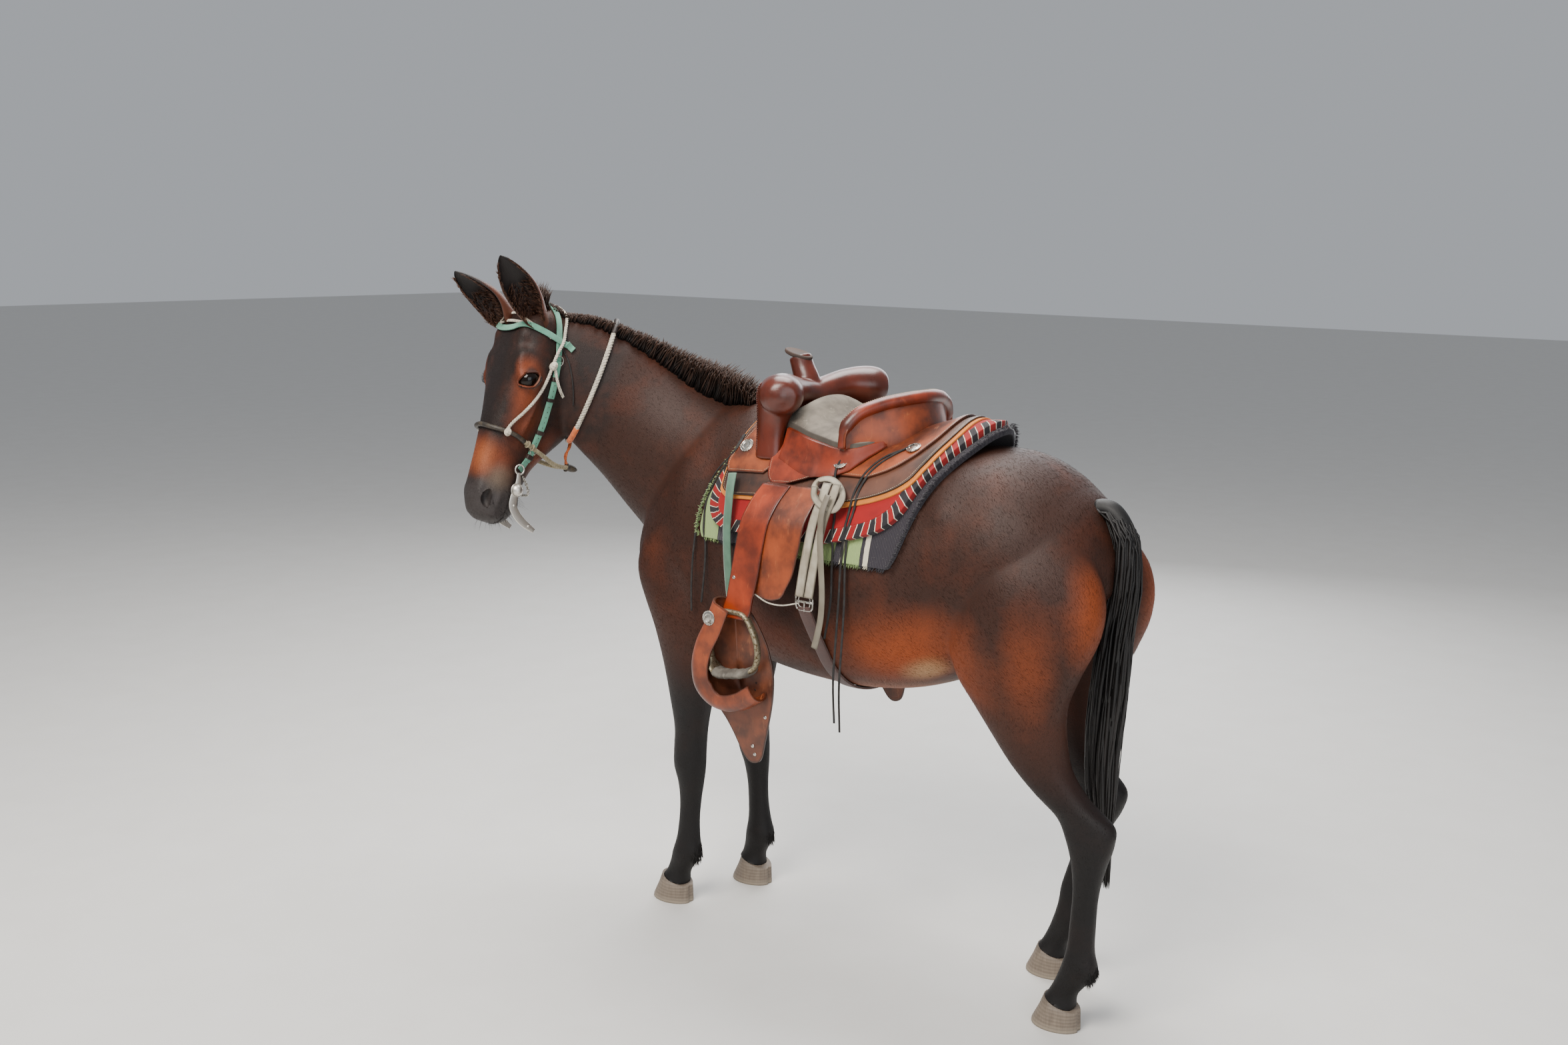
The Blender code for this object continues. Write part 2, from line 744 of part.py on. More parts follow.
def strap_on(name, hide, places, count, width, thickness, finish, lift=-0.0015):
    """A strap lying on the skin along a line of places near it."""
    line = along_points(places, count)
    spots, outs = [], []
    for place in line:
        spot, normal = hide.near(place, lift)
        spots.append(spot)
        outs.append(normal)
    smooth = [outs[0]]
    for i in range(1, count - 1):
        smooth.append((outs[i - 1] + outs[i] * 2 + outs[i + 1]).normalized())
    smooth.append(outs[-1])
    return strip(name, spots, smooth, width, thickness, finish)


def cord(name, places, count, radius, finish, sides=6):
    """A round cord through places. The radius is one value, or one for the start and one for the end."""
    path = along_points(places, count)
    ends = radius if isinstance(radius, tuple) else (radius, radius)
    lead = Vector((0.13, 0.21, 0.97))
    rings = []
    for i in range(count):
        share = i / (count - 1)
        rings.append(ring_round(path, i, ends[0] + (ends[1] - ends[0]) * share, sides, lead))
    return lofted(name, [[tuple(p) for p in ring] for ring in rings], finish)


def cord_on(name, hide, places, count, radius, finish, sides=6, sink=0.3):
    line = [tuple(hide.near(place, radius * (1 - sink))[0]) for place in along_points(places, count)]
    return cord(name, line, count, radius, finish, sides)


def disc(name, centre, out, radius, thickness, finish, sides=12):
    """A round plate with a chamfered face."""
    out = Vector(out).normalized()
    first = out.orthogonal().normalized()
    second = out.cross(first)
    rings = []
    for level, size in ((0.0, 1.0), (0.6, 1.0), (1.0, 0.8)):
        ring = []
        for k in range(sides):
            turn = 2 * math.pi * k / sides
            ring.append(tuple(Vector(centre) + out * (thickness * level)
                              + (first * math.cos(turn) + second * math.sin(turn)) * (radius * size)))
        rings.append(ring)
    return lofted(name, rings, finish)


def ball(name, centre, radii, finish, around=16, rings=9, turn=None):
    """A closed egg of given radii."""
    shape = bmesh.new()
    bmesh.ops.create_uvsphere(shape, u_segments=around, v_segments=rings, radius=1.0)
    mesh = bpy.data.meshes.new(name)
    shape.to_mesh(mesh)
    shape.free()
    made = bpy.data.objects.new(name, mesh)
    bpy.context.scene.collection.objects.link(made)
    size = Matrix.Diagonal((*radii, 1.0))
    mesh.transform(Matrix.Translation(Vector(centre)) @ (turn or Matrix.Identity(4)) @ size)
    if finish:
        mesh.materials.append(finish)
    return made


def united(name, pieces, finish=None, share=None, voxel=None):
    """Overlapping closed pieces made one body, by a union or by a fused and thinned skin."""
    first = pieces[0]
    first.name = name
    first.data.name = name
    if voxel:
        made = joined(name, pieces)
        fuse = made.modifiers.new("fuse", "REMESH")
        fuse.mode = "VOXEL"
        fuse.voxel_size = voxel
        applied(made)
        points = relaxed(point_array(made.data), neighbours_of(made.data), 12, 0.45)
        made.data.vertices.foreach_set("co", points.ravel())
        made.data.update()
        thin = made.modifiers.new("thin", "DECIMATE")
        thin.ratio = share
        applied(made)
        made.data.materials.clear()
        made.data.materials.append(finish)
        return made
    for piece in pieces[1:]:
        combined(first, piece, "UNION")
    return first


def eye_opening(side):
    """The hollow an eyeball fills and the almond between its lids, as one cutter."""
    centre = eye_place(side)
    look, inner = eye_ways(side)
    turn = turn_to(look, inner)
    rings = []
    for far, size in ((0.008, 0.75), (0.020, 1.0), (0.045, 1.55)):
        ring = []
        for k in range(12):
            angle = 2 * math.pi * k / 12
            x = 0.0305 * size * math.cos(angle)
            y = (0.0210 if math.sin(angle) > 0 else 0.0182) * size * math.sin(angle) * (1 - 0.25 * abs(math.cos(angle)))
            ring.append(tuple(centre + turn.to_3x3() @ Vector((x, y, far))))
        rings.append(ring)
    almond = lofted("almond", rings)
    socket = ball("socket", centre, (EYE_RADIUS + 0.0004,) * 3, None, 12, 7, turn)
    return combined(socket, almond, "UNION")


def nostril_hollow(side):
    turn = turn_to(head_way(0.15, 0.25, side * 0.95), head_way(1.0, -0.12, 0.0))
    return ball("nostril", on_head(0.504, -0.044, side * 0.055), (0.0250, 0.0130, 0.022), None, 12, 7, turn)


def mouth_cut(hide):
    """A thin blade round the lips, from one corner of the mouth to the other."""
    line = []
    for side in (1, -1):
        half = [(0.452, -0.122, 0.050), (0.480, -0.118, 0.055), (0.508, -0.112, 0.050), (0.534, -0.107, 0.036), (0.552, -0.104, 0.018)]
        line += [on_head(a, b, side * c) for a, b, c in (half if side == 1 else half[::-1])]
        if side == 1:
            line.append(on_head(0.562, -0.102, 0.0))
    rings = []
    for i, place in enumerate(line):
        spot, normal = hide.near(place, 0.0)
        ahead = (line[min(i + 1, len(line) - 1)] - line[max(i - 1, 0)]).normalized()
        across = ahead.cross(normal).normalized()
        deep, out = spot - normal * 0.008, spot + normal * 0.010
        rings.append([tuple(q) for q in (deep - across * 0.0004, out - across * 0.0016, out + across * 0.0016, deep + across * 0.0004)])
    return lofted("mouth", rings)


def ear(side, finish):
    """A long ear as an open leaf with thickness, hollow towards the way it listens."""
    if side > 0:
        base, reach = on_head(-0.006, -0.024, 0.057), (0.178, 0.152, 0.058)
        listen = Vector((0.80, 0.50, 0.10))
        length = EAR_LENGTH
    else:
        base, reach = on_head(-0.010, -0.012, -0.062), (0.140, 0.182, -0.006)
        listen = Vector((0.93, -0.05, 0.10))
        length = EAR_LENGTH * 0.90
    facing = Vector((math.sin(HEAD_YAW), -math.cos(HEAD_YAW), 0.0))
    left = Vector((-facing.y, facing.x, 0.0))
    way = (Vector((0, 0, 1)) * reach[0] + facing * reach[1] + left * reach[2]).normalized()
    open_way = (listen - listen.dot(way) * way).normalized()
    across = way.cross(open_way)
    # share of the length, half width, depth of the hollow, half the angle its wall spans, lean forward
    stations = (
        (-0.06, 0.024, 0.030, 150, 0.000),
        (0.16, 0.037, 0.036, 130, -0.002),
        (0.30, 0.043, 0.032, 112, -0.003),
        (0.46, 0.045, 0.027, 100, -0.002),
        (0.62, 0.041, 0.022, 94, 0.002),
        (0.77, 0.032, 0.016, 90, 0.007),
        (0.89, 0.020, 0.010, 86, 0.012),
        (1.00, 0.0025, 0.002, 80, 0.018),
    )
    rings = []
    for share, half, deep, span, lean in stations:
        middle = base + way * (share * length) + open_way * lean
        wall = 0.0035 if share < 0.9 else 0.0016
        outer, inner = [], []
        for k in range(7):
            angle = math.radians(span) * (k / 3 - 1)
            x, y = half * math.sin(angle), deep * (1 - math.cos(angle))
            scale = 1 - wall / max(half, 0.004)
            outer.append(middle + across * x + open_way * y)
            inner.append(middle + across * x * scale + open_way * (y * (1 - 0.3 * wall / half) + wall))
        rings.append([tuple(p) for p in outer + inner[::-1]])
    return lofted("ear_left" if side > 0 else "ear_right", rings, finish)


def hoof(name, leg_base, toe_y, heel_y, x, finish):
    """An upright narrow hoof, sloped in front, flat on the floor."""
    rings = []
    for z, toe, heel, half in ((0.0, toe_y - 0.022, heel_y + 0.002, 0.0475), (0.045, toe_y - 0.004, heel_y, 0.043),
                               (0.085, toe_y + 0.011, heel_y - 0.002, 0.038), (0.100, toe_y + 0.016, heel_y - 0.003, 0.036)):
        ring = []
        for k in range(12):
            angle = 2 * math.pi * k / 12
            wide = half * (0.92 if math.cos(angle) > 0 else 1.0)
            ring.append((x + wide * math.sin(angle), (toe + heel) / 2 + (heel - toe) / 2 * math.cos(angle), z))
        rings.append(ring)
    made = lofted(name, rings, finish)
    cut_by_plane(made, *[(leg_base[0]), tuple(-c for c in leg_base[1])])
    return keep_piece(made)


# Where the thin cuts part the body: a place on each plane and the way it faces.
LEG_CUT = ((0.0, 0.0, 0.70), (0.0, 0.0, 1.0))
THIGH_CUT = ((0.0, 0.38, 0.765), (0.0, -0.4366, 0.8997))
NECK_CUT = ((0.0, -0.45, 1.40), (0.0, 0.853, -0.521))


def opposite(cut):
    return cut[0], tuple(-c for c in cut[1])


def head_cuts():
    """Two planes that meet behind the jaw: one down from behind the poll, one along the throat."""
    behind, below = head_way(0.62, 0.75, -0.22), head_way(0.25, 0.97, -0.35)
    return (tuple(POLL - behind * 0.130), tuple(behind)), (tuple(POLL - below * 0.243), tuple(below))


# Toe, heel and distance from the mid-plane of each hoof, and how its top slopes.
HOOVES = {
    "front_left": (-0.556, -0.456, STANCE_X),
    "front_right": (-0.456, -0.356, -STANCE_X),
    "hind_left": (0.626, 0.724, STANCE_X),
    "hind_right": (0.491, 0.589, -STANCE_X),
}


def coronet_cut(toe, heel, x):
    return (x, toe, 0.078), (0.0, 0.030, heel - toe)


def flesh_nodes(skin, hide):
    """The body's nodes, parted from one thinned skin."""
    coat = bay_coat()
    body = thinned_skin(skin)
    nodes = {}
    nodes["torso"] = parted(body, "torso", (LEG_CUT, THIGH_CUT, NECK_CUT), (0, 0, 1.0), coat)
    nodes["head"] = parted(body, "head", head_cuts(), tuple(on_head(0.3, -0.05, 0)), coat)
    nodes["neck"] = parted(body, "neck", (opposite(NECK_CUT),), (0.06, -0.70, 1.34), coat)
    bpy.ops.mesh.primitive_cube_add(size=4.0)
    wedge = bpy.context.object
    for place, normal in head_cuts():
        cut_by_plane(wedge, place, normal, -GAP / 2)
    keep_piece(combined(nodes["neck"], wedge, "DIFFERENCE"), (0.06, -0.70, 1.34))
    for name, (toe, heel, x) in HOOVES.items():
        cut = opposite(LEG_CUT) if "front" in name else opposite(THIGH_CUT)
        side = (1.0, 0.0, 0.0) if x > 0 else (-1.0, 0.0, 0.0)
        near = (x, (toe + heel) / 2 + 0.03, 0.30)
        rim = coronet_cut(toe, heel, x)
        nodes["leg_" + name] = parted(body, "leg_" + name, (cut, rim), near, coat)
        nodes["hoof_" + name] = hoof("hoof_" + name, rim, toe, heel, x, finish_of("hoof horn", (0.16, 0.13, 0.10), 0.6))
    for side, word in ((1, "left"), (-1, "right")):
        combined(nodes["head"], eye_opening(side), "DIFFERENCE")
        combined(nodes["head"], nostril_hollow(side), "DIFFERENCE")
        nodes["eye_" + word] = ball("eye_" + word, eye_place(side), (EYE_RADIUS,) * 3,
                                    finish_of("dark eye", (0.01, 0.006, 0.004), 0.08), 12, 7, turn_to(*eye_ways(side)))
    combined(nodes["head"], mouth_cut(hide), "DIFFERENCE")
    keep_piece(nodes["head"])
    for side, word in ((1, "left"), (-1, "right")):
        nodes["ear_" + word] = laid(ear(side, coat), (nodes["head"], nodes["neck"]))
    bpy.data.objects.remove(body)
    return nodes


def crest_places(hide, count):
    """Places along the top of the neck from the poll to the withers, with the way up from each."""
    centres = ((0.245, -0.885, 1.52), (0.18, -0.82, 1.46), (0.09, -0.71, 1.36), (0.03, -0.60, 1.27), (0.0, -0.48, 1.20), (0.0, -0.37, 1.15))
    ups = ((0.10, 0.25, 1.0), (-0.25, 0.35, 1.0), (-0.22, 0.50, 1.0), (-0.08, 0.50, 1.0), (0.0, 0.30, 1.0), (0.0, 0.10, 1.0))
    places, ways = along_points(centres, count), along_points(ups, count)
    found = []
    for place, way in zip(places, ways):
        way = Vector(way).normalized()
        spot, _, _, _ = hide.tree.ray_cast(Vector(place) + way * 0.6, -way)
        found.append((spot, way))
    return found


def mane_height(share):
    table = ((0.0, 0.010), (0.12, 0.020), (0.3, 0.040), (0.5, 0.072), (0.68, 0.094), (0.84, 0.088), (0.94, 0.055), (1.0, 0.018))
    return float(np.interp(share, [t[0] for t in table], [t[1] for t in table]))


def lock_of_hair(path, outs, widths, thickness):
    """A flat lock: a closed tapered strip along a path, with its flat side facing the way out."""
    count = len(path)
    rings = []
    for i, place in enumerate(path):
        ahead = (path[min(i + 1, count - 1)] - path[max(i - 1, 0)]).normalized()
        out = (outs[i] - outs[i].dot(ahead) * ahead).normalized()
        across = ahead.cross(out) * widths[i] / 2
        deep = out * thickness * (0.5 if i < count - 1 else 0.15)
        rings.append([tuple(place - across - deep), tuple(place + across - deep), tuple(place + across + deep), tuple(place - across + deep)])
    return lofted("lock", rings)


def fused_locks(name, core, locks, finish):
    """A core and its locks made one closed body by one union."""
    group = bpy.data.collections.new(name + " locks")
    for lock in locks:
        group.objects.link(lock)
    step = core.modifiers.new("fuse", "BOOLEAN")
    step.operation = "UNION"
    step.operand_type = "COLLECTION"
    step.collection = group
    step.solver = "EXACT"
    applied(core)
    for lock in locks:
        bpy.data.objects.remove(lock)
    bpy.data.collections.remove(group)
    core.data.materials.clear()
    core.data.materials.append(finish)
    return keep_piece(core)


MANE_LOCKS = 11
MANE_CORE = 0.5


def mane(hide, flesh):
    """The short upright mane: a low core along the crest under three rows of locks that lean back."""
    count = 11
    crest = crest_places(hide, count)
    rings = []
    for i, (spot, way) in enumerate(crest):
        ahead = (crest[min(i + 1, count - 1)][0] - crest[max(i - 1, 0)][0]).normalized()
        across = ahead.cross(way).normalized()
        tall = mane_height(i / (count - 1)) * MANE_CORE + 0.004
        profile = ((0.018, -0.015), (0.019, 0.5 * tall), (0.0, tall), (-0.019, 0.5 * tall), (-0.018, -0.015))
        rings.append([tuple(spot + across * wide + way * high) for wide, high in profile])
    core = lofted("mane", rings, black_hair())
    chance = random.Random(11)
    fine = crest_places(hide, 3 * MANE_LOCKS + 8)
    locks = []
    for k in range(MANE_LOCKS):
        for row, lean in ((0, 0.0), (1, 0.42), (2, -0.42)):
            at = 2 + 3 * k + row + chance.uniform(-0.4, 0.4)
            share = min(1.0, at / (len(fine) - 1))
            spot, way = fine[min(len(fine) - 2, int(at))]
            back = (fine[min(len(fine) - 1, int(at) + 2)][0] - fine[max(0, int(at) - 2)][0]).normalized()
            across = back.cross(way).normalized()
            tall = mane_height(share) * chance.uniform(0.92, 1.08) * (1.0 if row == 0 else 0.86)
            sway = across * lean + back * chance.uniform(0.0, 0.35)
            path = [spot + across * lean * 0.018 + way * -0.004]
            path.append(spot + across * lean * 0.030 + way * 0.5 * tall + sway * 0.14 * tall)
            path.append(spot + across * lean * 0.030 + way * tall + sway * 0.42 * tall)
            out = across if lean == 0 else across * math.copysign(1, lean) + way * 0.3
            locks.append(lock_of_hair(path, [out] * 3, (0.042, 0.050, 0.016), 0.014))
    return laid(fused_locks("mane", core, locks, black_hair()), flesh)


TAIL_PATH = (
    (0.0, 0.630, 1.225), (0.0, 0.675, 1.232), (0.003, 0.715, 1.195), (0.008, 0.728, 1.10), (0.012, 0.715, 0.95),
    (0.015, 0.705, 0.78), (0.014, 0.700, 0.60), (0.010, 0.712, 0.45), (0.005, 0.725, 0.32),
)
TAIL_WIDE = ((0.0, 0.030), (0.1, 0.033), (0.25, 0.038), (0.5, 0.044), (0.75, 0.040), (1.0, 0.012))
TAIL_LOCKS = 10


def tail(flesh):
    """The long tail: a core to half its length, covered by locks that start in turn down it."""
    path = [Vector(p) for p in along_points(TAIL_PATH, 33)]
    rings = []
    for i in range(0, 19, 3):
        share = i / 32
        wide = float(np.interp(share, *zip(*TAIL_WIDE))) * (0.92 if i < 12 else 0.92 - 0.12 * (i - 10))
        rings.append([tuple(p) for p in ring_round(path, i, max(wide, 0.008), 6)])
    core = lofted("tail", rings, black_hair())
    chance = random.Random(5)
    locks = []
    for k in range(TAIL_LOCKS):
        turn = 2.4 * k
        start = int(2 + 17 * k / (TAIL_LOCKS - 1))
        run = 13 if k < TAIL_LOCKS - 1 else 12
        steps = [min(32, start + round(run * q / 4)) for q in range(5)]
        line, outs = [], []
        for q, i in enumerate(steps):
            wide = float(np.interp(i / 32, *zip(*TAIL_WIDE)))
            twist = turn + chance.uniform(-0.10, 0.10)
            out = Vector((math.cos(twist), math.sin(twist), 0.0))
            line.append(path[i] + out * wide * (0.70, 0.86, 0.84, 0.72, 0.60)[q] - Vector((0, 0, 0.004 * q)))
            outs.append(out)
        locks.append(lock_of_hair(line, outs, (0.030, 0.050, 0.048, 0.038, 0.010), 0.018))
    return laid(fused_locks("tail", core, locks, black_hair()), flesh)


# Outlines of the sheets over the barrel: angle from straight up, front end, rear end.
BLANKET = (
    (0, -0.270, 0.410), (12, -0.270, 0.390), (26, -0.275, 0.355), (40, -0.300, 0.322), (52, -0.330, 0.302),
    (62, -0.345, 0.288), (72, -0.352, 0.275), (80, -0.352, 0.262), (84.5, -0.345, 0.250),
)
PAD = (
    (0, -0.255, 0.395), (12, -0.252, 0.372), (24, -0.260, 0.340), (36, -0.278, 0.310), (47, -0.300, 0.288),
    (56, -0.312, 0.272), (63, -0.312, 0.245), (69, -0.302, 0.200), (74, -0.280, 0.130), (77.5, -0.240, 0.060),
)
SKIRT = (
    (0, -0.235, 0.338), (12, -0.245, 0.328), (25, -0.262, 0.304), (35, -0.270, 0.285), (43, -0.274, 0.262),
    (49.5, -0.274, 0.215), (54.5, -0.268, 0.150), (57.5, -0.245, 0.090),
)
REAR_JOCKEY = (
    (0, 0.200, 0.312), (12, 0.190, 0.300), (23, 0.150, 0.272), (32, 0.105, 0.240), (39, 0.055, 0.200), (44, 0.030, 0.150),
)
SEAT_JOCKEY = (
    (20, -0.150, 0.150), (29, -0.150, 0.140), (37, -0.143, 0.100), (43, -0.136, 0.045), (48, -0.126, -0.015),
    (51.5, -0.108, -0.065),
)
FRONT_JOCKEY = (
    (14, -0.225, -0.120), (24, -0.244, -0.120), (33, -0.262, -0.120), (40, -0.274, -0.122), (46, -0.266, -0.150),
)


def tent(y, degrees):
    """How far the saddle stands clear of the spine."""
    ridge = math.exp(-((degrees / 16.0) ** 2))
    return ridge * 0.034 * min(1.0, max(0.0, (y - 0.10) / 0.20))


def mirrored(source, name):
    made = copy_of(source, name)
    made.data.transform(Matrix.Diagonal((-1.0, 1.0, 1.0, 1.0)))
    face_out(made)
    return made


def saddle_layers(hide, torso):
    """Blanket, pad, skirt and jockeys, each lying on the ones below it."""
    nodes = {}
    wool = finish_of("striped blanket", (0.10, 0.11, 0.09), 0.95)
    felt = finish_of("red felt", (0.60, 0.02, 0.02), 0.95)
    nodes["saddle_blanket"] = laid(draped("saddle_blanket", hide, both_sides(BLANKET), 6, -0.004, 0.012, wool), (torso,), 0.0008)
    nodes["saddle_pad"] = draped("saddle_pad", hide, both_sides(PAD), 6, 0.009, 0.030, felt)
    laid(nodes["saddle_pad"], (nodes["saddle_blanket"],))
    nodes["saddle_skirt"] = draped("saddle_skirt", hide, both_sides(SKIRT), 6, 0.027, 0.041, saddle_leather(), tent)
    laid(nodes["saddle_skirt"], (nodes["saddle_pad"],))
    nodes["rear_jockey"] = draped("rear_jockey", hide, both_sides(REAR_JOCKEY), 4, 0.039, 0.048, saddle_leather(), tent)
    laid(nodes["rear_jockey"], (nodes["saddle_skirt"],))
    lower = (nodes["saddle_skirt"], nodes["rear_jockey"])
    for name, rows, low, high, columns in (("front_jockey", FRONT_JOCKEY, 0.038, 0.047, 4), ("seat_jockey", SEAT_JOCKEY, 0.044, 0.053, 5)):
        left = draped(name + "_left", hide, rows, columns, low, high, saddle_leather(), tent)
        right = mirrored(left, name + "_right")
        under = [nodes["saddle_skirt"], nodes["rear_jockey"]]
        for side, made in (("_left", left), ("_right", right)):
            if name == "seat_jockey":
                made_under = under + [nodes["front_jockey" + side]]
            else:
                made_under = under
            nodes[name + side] = laid(made, made_under)
    return nodes


def section_sweep(name, path, sections, finish, lead=Vector((0, 0, 1)), sides=12):
    """Ovals swept along a path. Each section: half size along the lead, half size across it."""
    path = along_points(path, len(path) * 3)
    sizes = along_points([(*s, 0) for s in sections], len(path))
    rings = []
    for i, place in enumerate(path):
        ahead = Vector(path[min(i + 1, len(path) - 1)] - path[max(i - 1, 0)]).normalized()
        first = (lead - lead.dot(ahead) * ahead).normalized()
        second = ahead.cross(first)
        ring = []
        for k in range(sides):
            turn = 2 * math.pi * k / sides
            ring.append(tuple(Vector(place) + first * float(sizes[i][0] * math.cos(turn)) + second * float(sizes[i][1] * math.sin(turn))))
        rings.append(ring)
    return lofted(name, rings, finish)


def upright(name, centres, radii, finish, sides=14):
    """Level ovals stacked up. Each centre: x, y, z. Each radius: half size across, half size along the mule."""
    rings = []
    for (x, y, z), (wide, long) in zip(centres, radii):
        turns = np.linspace(0, 2 * math.pi, sides, endpoint=False)
        rings.append([(x + wide * math.cos(t), y + long * math.sin(t), z) for t in turns])
    return lofted(name, rings, finish)


SADDLE_TWIST = Matrix.Rotation(math.radians(-4.0), 4, "Z")


def saddle_fork(hide, under):
    """The swell with its swept wings, and the horn on its neck."""
    leather = saddle_leather()
    pieces = []
    for side in (1, -1):
        pieces.append(upright(
            "foot",
            [(side * x, y, z) for x, y, z in ((0.190, -0.150, 1.290), (0.188, -0.150, 1.335), (0.182, -0.148, 1.375),
                                              (0.176, -0.142, 1.415), (0.170, -0.138, 1.455), (0.168, -0.138, 1.485),
                                              (0.168, -0.138, 1.498))],
            ((0.030, 0.040), (0.028, 0.037), (0.034, 0.041), (0.044, 0.050), (0.051, 0.058), (0.043, 0.048), (0.022, 0.026)),
            leather))
        pieces.append(section_sweep(
            "wing",
            [(side * x, y, z) for x, y, z in ((-0.02, -0.168, 1.436), (0.06, -0.165, 1.446), (0.12, -0.152, 1.452),
                                              (0.175, -0.126, 1.450), (0.210, -0.102, 1.446))],
            ((0.032, 0.036), (0.036, 0.036), (0.042, 0.042), (0.044, 0.048), (0.030, 0.034)), leather))
    wall = slab("wall", [[(x, -0.190, z) for z in (1.455, 1.372 - 0.3 * x * x)] for x in (-0.17, -0.08, 0.0, 0.08, 0.17)],
                [[(x, -0.142, z) for z in (1.455, 1.372 - 0.3 * x * x)] for x in (-0.17, -0.08, 0.0, 0.08, 0.17)], leather)
    pieces.append(wall)
    post = ((0, -0.175, 1.43), (0, -0.188, 1.475), (0, -0.202, 1.505), (0, -0.212, 1.532))
    pieces.append(section_sweep("post", post, ((0.030, 0.030), (0.020, 0.020), (0.018, 0.018), (0.020, 0.020)),
                                leather, Vector((0, 1, 0))))
    turn = Matrix.Rotation(math.radians(-10), 4, "X")
    pieces.append(ball("cap", (0, -0.216, 1.536), (0.030, 0.041, 0.0085), leather, 20, 8, turn))
    made = united("saddle_fork", pieces, leather, 0.019, 0.0045)
    made.data.transform(SADDLE_TWIST)
    return laid(made, under)


def saddle_seat(hide, under):
    """The suede seat, dipped in the middle and rising to the cantle, with a curled lip behind the fork."""
    suede = finish_of("grey suede", (0.33, 0.31, 0.27), 0.95)
    # along the mule, height of the middle, half width, height of the edges
    rows = (
        (-0.150, 1.420, 0.118, 1.384), (-0.108, 1.441, 0.130, 1.380), (-0.080, 1.430, 0.140, 1.376), (-0.045, 1.402, 0.150, 1.369),
        (0.010, 1.392, 0.161, 1.360), (0.070, 1.394, 0.172, 1.352), (0.115, 1.404, 0.160, 1.352), (0.155, 1.410, 0.110, 1.360),
    )
    outer, inner = [], []
    for y, top, half, edge in rows:
        line, under_line = [], []
        for k in range(7):
            share = k / 3 - 1
            x = half * share
            spot, normal, _, _ = hide.tree.ray_cast(Vector((x, y, 2.0)), Vector((0.0, 0.0, -1.0)))
            degrees = math.degrees(math.atan2(x, spot.z - 1.05))
            low = spot + normal * (0.0545 + tent(y, degrees))
            height = top - (top - edge) * abs(share) ** 2.0
            line.append((low.x, low.y, max(height, low.z + 0.007)))
            under_line.append(low)
        outer.append(line)
        inner.append(under_line)
    return laid(slab("saddle_seat", outer, inner, suede), under, 0.0006)


CANTLE_RIM = (
    (0.212, 0.105, 1.342), (0.210, 0.106, 1.385), (0.186, 0.120, 1.422), (0.130, 0.146, 1.447), (0.066, 0.176, 1.460),
    (0.0, 0.190, 1.464),
)
CANTLE_FOOT = ((0.198, 0.096, 1.326), (0.15, 0.140, 1.330), (0.08, 0.195, 1.345), (0.0, 0.215, 1.355))


def saddle_cantle(under):
    """A tall round dish with a rolled rim, leaning back."""
    columns = 11
    rim = along_points(list(CANTLE_RIM) + [(-x, y, z) for x, y, z in reversed(CANTLE_RIM[:-1])], columns)
    foot = along_points(list(CANTLE_FOOT) + [(-x, y, z) for x, y, z in reversed(CANTLE_FOOT[:-1])], columns)
    # share of the height, how far the back stands out, thickness
    profile = (
        (-0.10, 0.0, 0.024), (0.30, 0.006, 0.020), (0.84, 0.003, 0.015), (0.91, 0.014, 0.033), (1.02, 0.010, 0.026),
    )
    outer, inner = [], []
    for top, low in zip(rim, foot):
        top, low = Vector(top), Vector(low)
        back = Vector((top.x * 0.45, 0.20, 0.02)).normalized()
        line, front = [], []
        for share, swell, thick in profile:
            place = low + (top - low) * share + back * swell
            line.append(place)
            front.append(place - back * thick)
        outer.append(line)
        inner.append(front)
    made = slab("saddle_cantle", outer, inner, saddle_leather())
    made.data.transform(Matrix.Rotation(math.radians(-6.0), 4, "Z"))
    return laid(made, under)


def conchos(hide, under):
    """Round metal plates on the jockeys, each with its tied leather strings hanging down."""
    steel = finish_of("worn silver", (0.55, 0.52, 0.47), 0.35, 1.0)
    nodes = {}
    places = {
        "front": (-0.234, 32.5, 0.0480),
        "mid": (0.060, 39.5, 0.0540),
        "rear": (0.235, 25.0, 0.0500),
    }
    for name, (y, degrees, lift) in places.items():
        spot = hide.over(y, degrees, lift)
        out = (hide.over(y, degrees, lift + 0.05) - spot).normalized()
        made = disc(f"concho_{name}_left", spot, out, 0.0185, 0.006, steel, 10)
        other = mirrored(made, f"concho_{name}_right")
        for side, piece in (("left", made), ("right", other)):
            nodes[f"concho_{name}_{side}"] = laid(piece, under)
    return nodes


